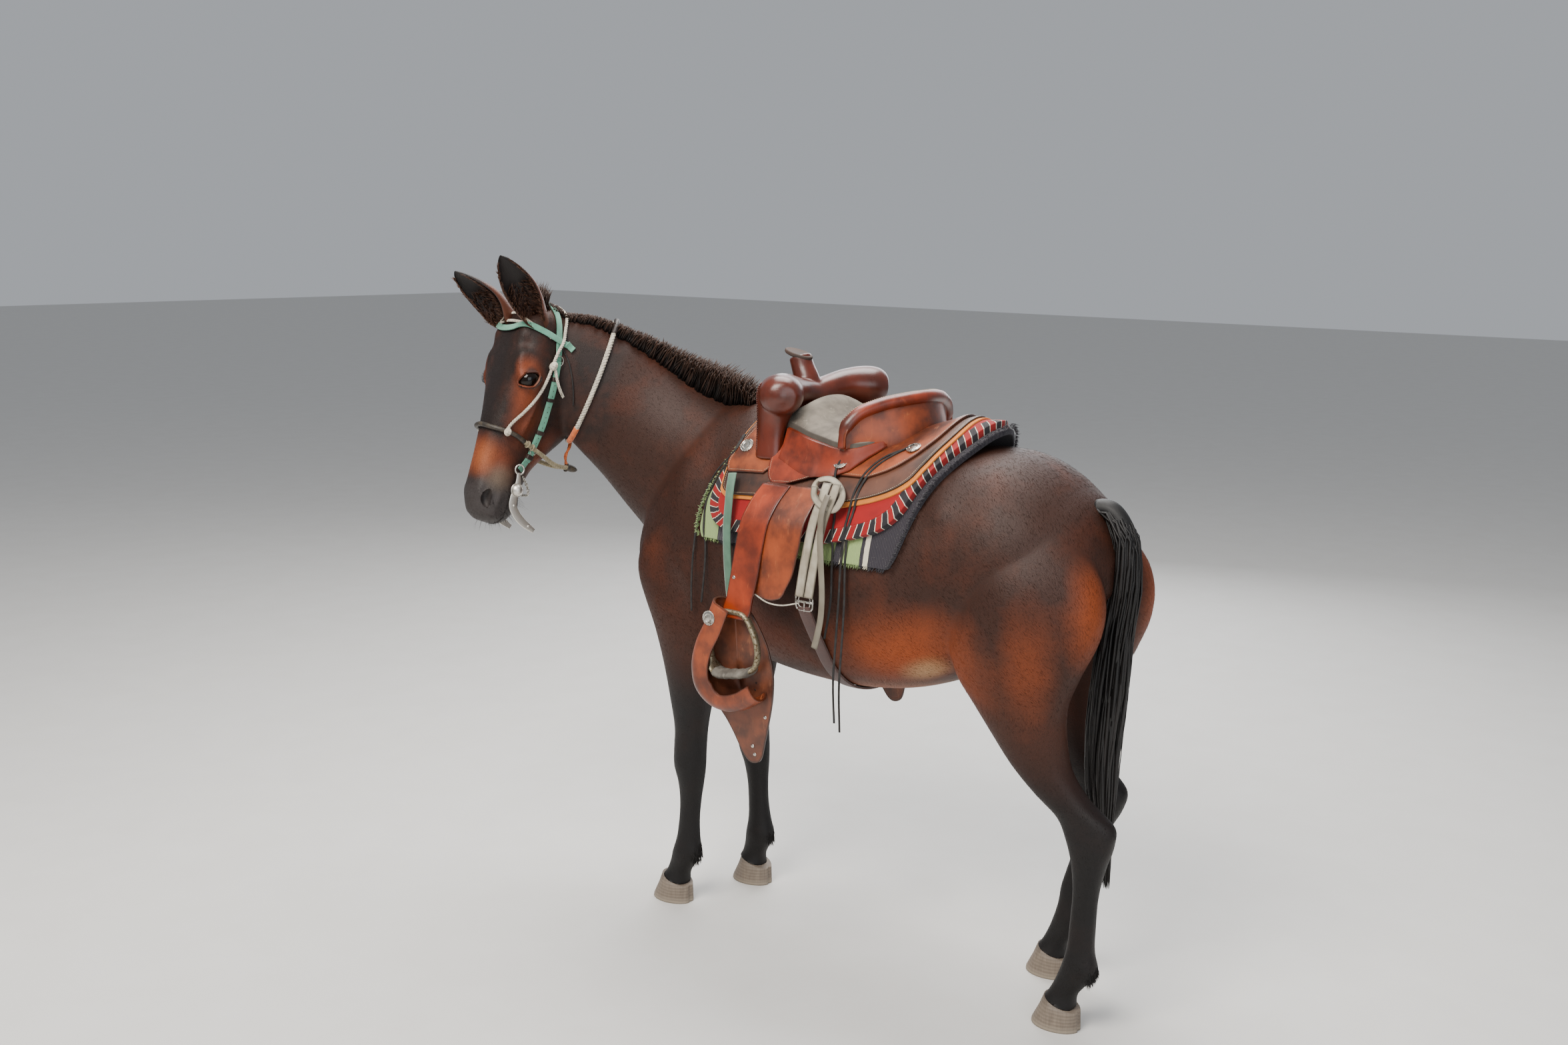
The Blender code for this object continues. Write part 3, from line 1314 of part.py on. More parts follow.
def stirrup_gear(under):
    """Fender, stirrup strap, stirrup and hood of the left side, and their mirror images."""
    leather = saddle_leather()
    dark = finish_of("oiled leather", (0.23, 0.045, 0.02), 0.4)
    iron = finish_of("worn stirrup", (0.30, 0.26, 0.20), 0.6)
    nodes = {}
    fender = hanging("fender", 1, (
        (1.246, -0.106, 0.058, 0.262), (1.215, -0.115, 0.056, 0.291), (1.17, -0.124, 0.048, 0.320), (1.10, -0.130, 0.040, 0.334),
        (1.03, -0.125, 0.022, 0.338), (0.995, -0.105, 0.004, 0.339), (0.972, -0.055, -0.008, 0.339)), 0.005, 4, leather)
    strap = hanging("strap", 1, (
        (1.244, -0.112, -0.030, 0.2685), (1.215, -0.120, -0.038, 0.2965), (1.17, -0.130, -0.048, 0.3255), (1.10, -0.139, -0.058, 0.3405),
        (1.03, -0.148, -0.067, 0.3465), (0.97, -0.156, -0.078, 0.352), (0.925, -0.162, -0.087, 0.357),
        (0.916, -0.156, -0.093, 0.358)), 0.007, 3, dark)
    ring = ((-0.135, 0.932), (-0.100, 0.928), (-0.080, 0.905), (-0.062, 0.868), (-0.057, 0.832), (-0.066, 0.803), (-0.090, 0.785),
            (-0.130, 0.776), (-0.170, 0.772), (-0.192, 0.790), (-0.202, 0.828), (-0.198, 0.868), (-0.182, 0.905), (-0.165, 0.928))
    centre_y, centre_z = -0.130, 0.852
    inner, outer = [], []
    for k in range(16):
        place = closed_curve(ring, k / 16)
        wide = 0.010 + 0.015 * max(0.0, min(1.0, (0.800 - place[1]) / 0.02))
        away = Vector((place[0] - centre_y, place[1] - centre_z)).normalized() * 0.0065
        inner.append((place[0] - away.x, place[1] - away.y, wide))
        outer.append((place[0] + away.x, place[1] + away.y, wide))
    points, faces = [], []
    middle_x = 0.361
    for (iy, iz, wide), (oy, oz, _) in zip(inner, outer):
        points += [(middle_x - wide, iy, iz), (middle_x + wide, iy, iz), (middle_x + wide, oy, oz), (middle_x - wide, oy, oz)]
    for k in range(16):
        a, b = 4 * k, 4 * ((k + 1) % 16)
        for j in range(4):
            faces.append((a + j, a + (j + 1) % 4, b + (j + 1) % 4, b + j))
    stirrup = mesh_object("stirrup", points, faces, iron)
    hood = tapadero()
    for word, side in (("left", 1), ("right", -1)):
        for name, source in (("fender", fender), ("stirrup_strap", strap), ("stirrup", stirrup), ("tapadero", hood)):
            made = copy_of(source, f"{name}_{word}") if side > 0 else mirrored(source, f"{name}_{word}")
            nodes[f"{name}_{word}"] = made
    for source in (fender, strap, stirrup, hood):
        bpy.data.objects.remove(source)
    for word in ("left", "right"):
        laid(nodes["fender_" + word], under)
        laid(nodes["stirrup_strap_" + word], list(under) + [nodes["fender_" + word]])
        laid(nodes["stirrup_" + word], [nodes["stirrup_strap_" + word]])
        laid(nodes["tapadero_" + word], [nodes["stirrup_strap_" + word], nodes["stirrup_" + word]])
    return nodes


def closed_curve(points, share):
    """A place on a smooth closed line through the points."""
    count = len(points)
    at = share * count
    i = int(at) % count
    t = at - int(at)
    p = [Vector(points[(i + k) % count]) for k in (-1, 0, 1, 2)]
    return 0.5 * (2 * p[1] + (p[2] - p[0]) * t + (2 * p[0] - 5 * p[1] + 4 * p[2] - p[3]) * t * t
                  + (3 * p[1] - p[0] - 3 * p[2] + p[3]) * t**3)


def tapadero():
    """The leather hood in front of the stirrup: a bent band outside, and a long pointed drop inside."""
    leather = finish_of("hood leather", (0.36, 0.13, 0.05), 0.5)
    outline = ((-0.150, 0.950), (-0.110, 0.938), (-0.084, 0.911), (-0.049, 0.853), (-0.030, 0.789), (-0.028, 0.740), (-0.034, 0.689), (-0.056, 0.610),
               (-0.072, 0.556), (-0.088, 0.552), (-0.112, 0.575), (-0.152, 0.622), (-0.190, 0.672), (-0.226, 0.725), (-0.246, 0.777), (-0.236, 0.840), (-0.205, 0.905), (-0.180, 0.945))
    ring_in, ring_out = [], []
    for y, z in outline:
        bend = 0.018 * max(0.0, (-0.17 - y) / 0.075) if z > 0.65 else 0.0
        ring_in.append((0.330 + bend, y, z))
        ring_out.append((0.335 + bend, y, z))
    sheet = lofted("sheet", [ring_in, ring_out])
    line = ((-0.172, 0.958), (-0.196, 0.900), (-0.226, 0.840), (-0.238, 0.780), (-0.226, 0.730), (-0.190, 0.700), (-0.140, 0.692), (-0.090, 0.706), (-0.045, 0.735))
    middle = Vector((-0.120, 0.840))
    rings = []
    path = along_points([(*p, 0) for p in line], 9)
    for i, place in enumerate(path):
        place = Vector(place[:2])
        ahead = Vector(path[min(i + 1, 8)][:2] - path[max(i - 1, 0)][:2]).normalized()
        inward = Vector((-ahead.y, ahead.x))
        if inward.dot(middle - place) < 0:
            inward = -inward
        wide = 0.050 if i < 6 else 0.034
        profile = ((0.331, 0.004), (0.348, -0.010), (0.374, -0.011), (0.391, 0.004), (0.392, wide))
        ring = [(x, *(place + inward * d)) for x, d in profile]
        ring += [(x - 0.004 if x > 0.37 else x + 0.001, *(place + inward * (d + (0.005 if d < wide else 0.0)))) for x, d in reversed(profile)]
        rings.append(ring)
    band = lofted("band", rings)
    made = united("tapadero", [sheet, band])
    made.data.materials.clear()
    made.data.materials.append(leather)
    return made


def girth(hide, torso, under):
    """The cinch strap round the barrel, its buckles and the folded latigo straps."""
    nodes = {}
    webbing = finish_of("rust strap", (0.10, 0.045, 0.03), 0.7)
    white = finish_of("white latigo", (0.52, 0.49, 0.42), 0.65)
    steel = finish_of("worn silver", (0.55, 0.52, 0.47), 0.35, 1.0)
    places, outs = [], []
    for k in range(13):
        degrees = 101 + (259 - 101) * k / 12
        spot = hide.over(0.055 + 0.022 * math.sin(math.pi * k / 12), degrees, -0.001)
        turn = math.radians(degrees)
        places.append(spot)
        outs.append(Vector((math.sin(turn), 0, math.cos(turn))))
    nodes["cinch"] = laid(strip("cinch", places, outs, 0.036, 0.006, webbing), (torso,))
    for word, side in (("left", 1), ("right", -1)):
        frame = []
        for size in (0.026, 0.021):
            frame.append([(side * 0.3175, 0.050 + size * sx, 0.978 + size * 0.86 * sz) for sx, sz in ((-1, -1), (1, -1), (1, 1), (-1, 1))])
        points = frame[0] + frame[1] + [(x + side * 0.005, y, z) for x, y, z in frame[0] + frame[1]]
        faces = []
        for j in range(4):
            k = (j + 1) % 4
            faces += [(j, k, 4 + k, 4 + j), (8 + j, 12 + j, 12 + k, 8 + k), (j, 8 + j, 8 + k, k), (4 + j, 4 + k, 12 + k, 12 + j)]
        nodes["cinch_buckle_" + word] = mesh_object("cinch_buckle_" + word, points, faces, steel)
        front = (
            (1.262, 0.060, 0.084, 0.262), (1.235, 0.062, 0.086, 0.284), (1.18, 0.052, 0.076, 0.305), (1.10, 0.043, 0.067, 0.321),
            (0.990, 0.026, 0.050, 0.3235),
        )
        rear = (
            (1.262, 0.088, 0.110, 0.262), (1.235, 0.089, 0.112, 0.282), (1.18, 0.079, 0.102, 0.303), (1.10, 0.070, 0.093, 0.3195),
            (0.990, 0.052, 0.077, 0.3235),
        )
        for part, rows in (("front", front), ("rear", rear)):
            name = f"latigo_{part}_{word}"
            nodes[name] = laid(hanging(name, side, rows, 0.004, 2, white), under)
    return nodes


def on_side(half):
    """Places of the head's left side followed by their mirror images, from the mid-line of the left back."""
    left = [on_head(a, b, c) for a, b, c in half]
    return [on_head(a, b, -c) for a, b, c in reversed(half) if c > 0.001] + left


def closed_cord(name, path, radius, finish, sides=6):
    """A round cord that runs back into its own start."""
    count = len(path)
    middle = sum((Vector(p) for p in path), Vector()) / count
    points, faces = [], []
    for i in range(count):
        place = Vector(path[i])
        ahead = (Vector(path[(i + 1) % count]) - Vector(path[i - 1])).normalized()
        first = place - middle
        first = (first - first.dot(ahead) * ahead).normalized()
        second = ahead.cross(first)
        for k in range(sides):
            turn = 2 * math.pi * k / sides
            points.append(place + (first * math.cos(turn) + second * math.sin(turn)) * radius)
    for i in range(count):
        a, b = i * sides, ((i + 1) % count) * sides
        for k in range(sides):
            j = (k + 1) % sides
            faces.append((a + k, a + j, b + j, b + k))
    return mesh_object(name, points, faces, finish)


def headstall(hide, green):
    """Crownpiece with cheekpieces to the bit, and the browband tied across it."""
    half = ((-0.047, -0.046, 0.0), (-0.043, -0.058, 0.041), (-0.012, -0.071, 0.074), (0.031, -0.082, 0.088), (0.088, -0.098, 0.098), (0.149, -0.106, 0.102),
            (0.212, -0.119, 0.092), (0.271, -0.131, 0.072), (0.328, -0.132, 0.056), (0.371, -0.130, 0.050), (0.404, -0.116, 0.050))
    crown = strap_on("headstall", hide, on_side(half), 19, 0.017, 0.0055, green)
    brow = ((0.050, 0.022, 0.0), (0.046, 0.014, 0.045), (0.040, -0.008, 0.070), (0.045, -0.052, 0.090), (0.053, -0.122, 0.097))
    band = strap_on("browband", hide, on_side(brow), 10, 0.016, 0.0075, green)
    return combined(crown, band, "UNION")


def bit_plate(side, steel):
    """One cheek of the bit: ring, round boss and curved flat shank."""
    line = ((0.413, -0.108), (0.432, -0.114), (0.458, -0.117), (0.478, -0.116), (0.500, -0.119), (0.519, -0.136), (0.534, -0.162), (0.547, -0.203))
    wide = (0.010, 0.016, 0.022, 0.023, 0.023, 0.022, 0.019, 0.013)
    path = along_points([(*p, 0) for p in line], 9)
    widths = np.interp(np.linspace(0, 1, 9), np.linspace(0, 1, 8), wide)
    rings = []
    for i, place in enumerate(path):
        ahead = Vector(path[min(i + 1, 8)] - path[max(i - 1, 0)]).normalized()
        across = Vector((-ahead.y, ahead.x, 0)) * float(widths[i]) / 2
        low, high = Vector(place) - across, Vector(place) + across
        level = 0.0605
        rings.append([tuple(on_head(p.x, p.y, side * (level + rise))) for p, rise in ((low, 0), (high, 0), (high, 0.004), (low, 0.004))])
    plate = lofted("plate", rings, steel)
    boss = ball("boss", on_head(0.458, -0.117, side * 0.066), (0.0165, 0.0165, 0.009), steel, 8, 6,
                turn_to(head_way(0, 0, side), head_way(1, 0, 0)))
    ring = [on_head(0.404 + 0.0125 * math.cos(t), -0.108 + 0.0125 * math.sin(t), side * 0.0625) for t in np.linspace(0, 2 * math.pi, 9, endpoint=False)]
    loop = closed_cord("loop", ring, 0.0022, steel, 4)
    return united(f"bit_{'left' if side > 0 else 'right'}", [plate, boss, loop])


def bridle(hide, flesh):
    """The green headstall, the bit, the noseband with its cords, and the rope round the neck."""
    green = finish_of("green webbing", (0.12, 0.33, 0.24), 0.75)
    steel = finish_of("worn silver", (0.55, 0.52, 0.47), 0.35, 1.0)
    white = finish_of("white cord", (0.60, 0.56, 0.50), 0.85)
    rawhide = finish_of("rawhide", (0.16, 0.13, 0.08), 0.6)
    nodes = {"headstall": laid(headstall(hide, green), flesh)}
    blocks = list(flesh) + [nodes["headstall"]]
    for side in (1, -1):
        made = laid(bit_plate(side, steel), blocks)
        nodes[made.name] = made
    blocks += [nodes["bit_left"], nodes["bit_right"]]
    curb = [on_head(0.420, -0.125, 0.0615), on_head(0.440, -0.148, 0.057), on_head(0.455, -0.166, 0.040), on_head(0.460, -0.174, 0.0)]
    curb += [on_head(0.455, -0.166, -0.040), on_head(0.440, -0.148, -0.057), on_head(0.420, -0.125, -0.0615)]
    nodes["curb_chain"] = laid(cord("curb_chain", curb, 11, 0.0035, steel, 5), blocks)
    near = ((0.316, -0.002, 0.0), (0.318, -0.006, 0.024), (0.319, -0.016, 0.046), (0.319, -0.034, 0.060), (0.321, -0.060, 0.066), (0.330, -0.095, 0.064), (0.338, -0.130, 0.058))
    free = ((0.346, -0.175, 0.046), (0.353, -0.215, 0.030), (0.353, -0.250, 0.016), (0.346, -0.283, 0.004))
    snapped = []
    for place in near:
        spot, _ = hide.near(on_head(*place), 0.0065)
        snapped.append(tuple(HEAD.inverted() @ spot))
    half = [(a, b, -c) for a, b, c in snapped] + list(free)
    half[0] = (half[0][0], half[0][1], 0.0)
    nose = cord("bosal", on_side(half), 19, 0.0068, rawhide, 6)
    heel = ball("heel", on_head(0.344, -0.294, 0.0), (0.0105, 0.0105, 0.022), rawhide, 8, 6, turn_to(head_way(-0.05, -1, 0), head_way(1, 0, 0)))
    nodes["bosal"] = laid(combined(nose, heel, "UNION"), blocks)
    blocks.append(nodes["bosal"])
    half = [(-0.056, -0.070, 0.0), (-0.050, -0.088, 0.040), (-0.027, -0.100, 0.064), (0.021, -0.100, 0.087), (0.048, -0.099, 0.095), (0.085, -0.086, 0.104), (0.118, -0.084, 0.108),
            (0.150, -0.084, 0.108), (0.219, -0.074, 0.092), (0.258, -0.059, 0.079), (0.300, -0.041, 0.066), (0.322, -0.034, 0.066)]
    lifts = (0.0035, 0.0035, 0.0035, 0.0045, 0.0105, 0.0115, 0.0080, 0.0045, 0.0035, 0.0035, 0.0035, 0.0060)
    path = []
    for k, place in enumerate(half):
        spot, _ = hide.near(on_head(*place), lifts[k])
        path.append(tuple(HEAD.inverted() @ spot))
    half = [(a, b, -c) for a, b, c in path]
    half[0] = (half[0][0], half[0][1], 0.0)
    hanger = cord("hanger_cord", on_side(half), 21, 0.0046, white, 4)
    pieces = [hanger]
    for side in (1, -1):
        pieces.append(ball("knot", on_head(0.120, -0.086, side * 0.112), (0.011, 0.010, 0.009), white, 7, 5))
        pieces.append(ball("knot", on_head(0.322, -0.036, side * 0.072), (0.010, 0.010, 0.009), white, 7, 5))
        tail_end = [on_head(0.122, -0.092, side * 0.110), on_head(0.145, -0.104, side * 0.113), on_head(0.168, -0.122, side * 0.112), on_head(0.186, -0.146, side * 0.104)]
        pieces.append(cord("end", tail_end, 5, 0.0042, white, 5))
    nodes["hanger_cord"] = laid(united("hanger_cord", pieces), blocks)
    blocks.append(nodes["hanger_cord"])
    loop = ((0.052, -0.060, 0.091), (0.034, -0.012, 0.071), (0.004, 0.010, 0.020), (0.004, 0.018, -0.030), (0.014, 0.020, -0.062), (0.030, 0.018, -0.058), (0.028, 0.016, -0.020), (0.030, 0.012, 0.030),
            (0.038, -0.006, 0.066))
    nodes["brow_cord"] = laid(cord_on("brow_cord", hide, [on_head(*p) for p in loop], 17, 0.0042, white, 4), blocks)
    nodes["neck_rope"] = neck_rope(hide, white, blocks)
    tie = [on_head(0.268, -0.262, 0.004), on_head(0.290, -0.266, 0.008), on_head(0.318, -0.264, 0.006), on_head(0.338, -0.276, 0.001)]
    cords = cord("fiador", tie, 8, 0.0055, finish_of("orange cord", (0.45, 0.22, 0.10), 0.85))
    nodes["fiador"] = laid(cords, blocks + [nodes["neck_rope"]])
    return nodes


def neck_rope(hide, finish, blocks):
    """The rope loop round the upper neck, from the crest down to the throat."""
    middle = Vector((0.151, -0.789, 1.431))
    first = Vector((-0.2825, 0.251, 0.9256))
    second = Vector((0.66, 0.742, 0.0))
    path = []
    for k in range(16):
        turn = 2 * math.pi * k / 16
        way = first * math.cos(turn) + second * math.sin(turn)
        spot, _, _, _ = hide.tree.ray_cast(middle + way * 0.5, -way)
        crest = math.exp(-((min(turn, 2 * math.pi - turn) / 0.28) ** 2))
        path.append(spot + way * (0.0045 + 0.022 * crest))
    return laid(closed_cord("neck_rope", path, 0.0070, finish, 4), blocks)


def moved_to_floor(nodes):
    """Shifts every node so that the origin is the middle of the footprint, on the floor."""
    shift = Matrix.Translation((-CENTRE_X, -CENTRE_Y, 0.0))
    for made in nodes.values():
        made.data.transform(shift)


def build():
    clear_scene()
    skin = shaped_skin()
    hide = Hide(skin)
    nodes = flesh_nodes(skin, hide)
    flesh = [nodes["head"], nodes["neck"], nodes["torso"]]
    nodes["mane"] = mane(hide, flesh)
    nodes["tail"] = tail(flesh)
    nodes.update(saddle_layers(hide, nodes["torso"]))
    layers = [nodes[n] for n in ("saddle_blanket", "saddle_pad", "saddle_skirt", "rear_jockey", "front_jockey_left", "front_jockey_right",
                                 "seat_jockey_left", "seat_jockey_right")]
    nodes["saddle_fork"] = saddle_fork(hide, layers)
    seat_under = [nodes[n] for n in ("front_jockey_left", "front_jockey_right", "seat_jockey_left", "seat_jockey_right")]
    nodes["saddle_seat"] = saddle_seat(hide, [nodes["saddle_fork"]] + seat_under)
    nodes["saddle_cantle"] = saddle_cantle(layers + [nodes["saddle_fork"], nodes["saddle_seat"]])
    nodes.update(conchos(hide, layers + [nodes["saddle_fork"], nodes["saddle_seat"], nodes["saddle_cantle"]]))
    nodes.update(stirrup_gear(layers))
    nodes.update(girth(hide, nodes["torso"], layers))
    nodes.update(bridle(hide, flesh + [nodes["ear_left"], nodes["ear_right"], nodes["mane"]]))
    bpy.data.objects.remove(skin)
    layered = ("saddle_blanket", "saddle_pad", "saddle_skirt", "rear_", "front_", "seat_")
    for name, made in nodes.items():
        plainer(made, 0.4 if name.startswith(layered) else 2.0)
    moved_to_floor(nodes)
    return nodes


NODES = build()
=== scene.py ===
"""The dressed look of a still, life-size museum figure: a dark bay riding mule in its Western tack.

Everything is made about the mule's own mid-plane, with the floor at z = 0, in metres, and is shifted at
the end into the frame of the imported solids. The mule faces -Y and its left side is +X.
"""

import math

import bmesh
import bpy
import numpy as np
from mathutils import Matrix, Vector
from mathutils.bvhtree import BVHTree


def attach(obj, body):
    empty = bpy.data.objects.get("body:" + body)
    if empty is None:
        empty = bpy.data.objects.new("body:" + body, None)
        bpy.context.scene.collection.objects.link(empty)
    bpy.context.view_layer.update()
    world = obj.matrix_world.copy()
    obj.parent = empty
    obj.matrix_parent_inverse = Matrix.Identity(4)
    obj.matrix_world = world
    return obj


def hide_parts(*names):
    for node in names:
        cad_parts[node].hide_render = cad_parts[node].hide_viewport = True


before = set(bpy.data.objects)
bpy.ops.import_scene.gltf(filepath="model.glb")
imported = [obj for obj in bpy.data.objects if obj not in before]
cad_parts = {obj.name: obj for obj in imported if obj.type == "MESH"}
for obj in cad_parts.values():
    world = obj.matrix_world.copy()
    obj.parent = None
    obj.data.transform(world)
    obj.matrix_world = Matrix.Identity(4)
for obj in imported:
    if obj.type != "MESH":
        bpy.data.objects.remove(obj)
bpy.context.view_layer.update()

# Driving sizes of the animal, and where its mid-plane lies in the shared frame.
SHIFT = Vector((-0.0474, 0.1207, 0.0))
POLL = Vector((0.300, -0.915, 1.622))
HEAD_YAW, HEAD_PITCH, HEAD_ROLL = math.radians(75.0), math.radians(22.5), math.radians(-4.0)
EAR_LENGTH = 0.222
EYE_RADIUS = 0.0252
STANCE_X = 0.118
SKIN_VOXEL = 0.0058
COAT_DEPTH = 0.0012


def head_frame():
    """Columns: from poll to nose, out of the face, to the mule's right; with the poll as its place."""
    facing = Vector((math.sin(HEAD_YAW), -math.cos(HEAD_YAW), 0.0))
    up = Vector((0.0, 0.0, 1.0))
    right = facing.cross(up)
    right = math.cos(HEAD_ROLL) * right + math.sin(HEAD_ROLL) * up
    top = right.cross(facing)
    along = math.sin(HEAD_PITCH) * facing - math.cos(HEAD_PITCH) * top
    out = math.cos(HEAD_PITCH) * facing + math.sin(HEAD_PITCH) * top
    matrix = Matrix((along, out, right)).transposed().to_4x4()
    matrix.translation = POLL
    return matrix


HEAD = head_frame()
TO_HEAD = HEAD.inverted()


def on_head(along, out, left):
    """A place on the head: distance from the poll, height over the face line, side to the left."""
    return HEAD @ Vector((along, out, -left))


def head_way(along, out, left):
    return (HEAD.to_3x3() @ Vector((along, out, -left))).normalized()


# Camera, floor and light

def camera_and_stage():
    """The photograph's view over a plain pale floor, under soft studio light."""
    data = bpy.data.cameras.new("camera")
    data.lens, data.sensor_width = 36.0, 36.0
    camera = bpy.data.objects.new("camera", data)
    right = Vector((-0.58363, 0.81184, 0.01708))
    up = Vector((-0.13980, -0.12119, 0.98274))
    ahead = Vector((-0.79989, -0.57117, -0.18422))
    turn = Matrix((right, up, -ahead)).transposed().to_4x4()
    camera.matrix_world = Matrix.Translation(Vector((3.3244, 2.1312, 1.8555)) + SHIFT) @ turn
    bpy.context.scene.collection.objects.link(camera)
    bpy.context.scene.camera = camera
    bpy.ops.mesh.primitive_plane_add(size=60.0, location=(0, 0, 0))
    floor = bpy.context.object
    floor.name = "floor"
    look = Finish("pale floor", roughness=0.9)
    look.colour(look.mix(look.noise(6.0, 3.0), (0.60, 0.585, 0.56), (0.65, 0.64, 0.62)))
    floor.data.materials.append(look.material)
    world = bpy.data.worlds.new("studio")
    bpy.context.scene.world = world
    world.use_nodes = True
    world.node_tree.nodes["Background"].inputs["Color"].default_value = (0.80, 0.84, 0.90, 1.0)
    world.node_tree.nodes["Background"].inputs["Strength"].default_value = 0.50
    for name, place, size, power, tint in (
        ("key light", (3.4, 0.2, 4.6), 2.4, 390.0, (1.0, 0.95, 0.88)),
        ("fill light", (2.6, 4.2, 2.2), 3.2, 90.0, (0.92, 0.96, 1.0)),
        ("top light", (-1.2, -0.6, 4.4), 2.4, 240.0, (1.0, 0.98, 0.95)),
        ("far light", (-4.0, -1.5, 2.6), 3.0, 110.0, (0.95, 0.97, 1.0)),
    ):
        light = bpy.data.lights.new(name, "AREA")
        light.size, light.energy, light.color = size, power, tint
        lamp = bpy.data.objects.new(name, light)
        lamp.location = place
        lamp.rotation_euler = (Vector((0.0, 0.0, 0.9)) - Vector(place)).to_track_quat("-Z", "Y").to_euler()
        bpy.context.scene.collection.objects.link(lamp)


# Materials

def rgb(red, green, blue):
    """A colour given in the usual 0 to 255, as the linear light that shaders use."""
    return tuple(((c / 255 + 0.055) / 1.055) ** 2.4 if c > 10 else c / 3294.6 for c in (red, green, blue))


class Number:
    """A number socket of a material. Operators on it add Math nodes."""

    def __init__(self, finish, socket):
        self.finish, self.socket = finish, socket

    def math(self, name, *others, clamp=False):
        sockets = {k: value for k, value in enumerate((self, *others))}
        return self.finish.number("ShaderNodeMath", {"operation": name, "use_clamp": clamp}, sockets)

    def __add__(self, other):
        return self.math("ADD", other)

    __radd__ = __add__

    def __mul__(self, other):
        return self.math("MULTIPLY", other)

    __rmul__ = __mul__

    def __sub__(self, other):
        return self.math("SUBTRACT", other)

    def __rsub__(self, other):
        return self.finish.number("ShaderNodeMath", {"operation": "SUBTRACT"}, {0: other, 1: self})

    def __pow__(self, other):
        return self.math("POWER", other)

    def between(self, low, high):
        """0 below the first value and 1 above the second, with a smooth step between them."""
        settings = {"interpolation_type": "SMOOTHSTEP"}
        sockets = {"Value": self, "From Min": low, "From Max": high, "To Min": 0.0, "To Max": 1.0}
        return self.finish.number("ShaderNodeMapRange", settings, sockets)

    def clamped(self):
        return self.math("ADD", 0.0, clamp=True)

    def larger(self, other):
        return self.math("MAXIMUM", other)

    def smaller(self, other):
        return self.math("MINIMUM", other)

    def size(self):
        return self.math("ABSOLUTE")

    def wave(self):
        return self.math("SINE")

    def part(self):
        return self.math("FRACT")


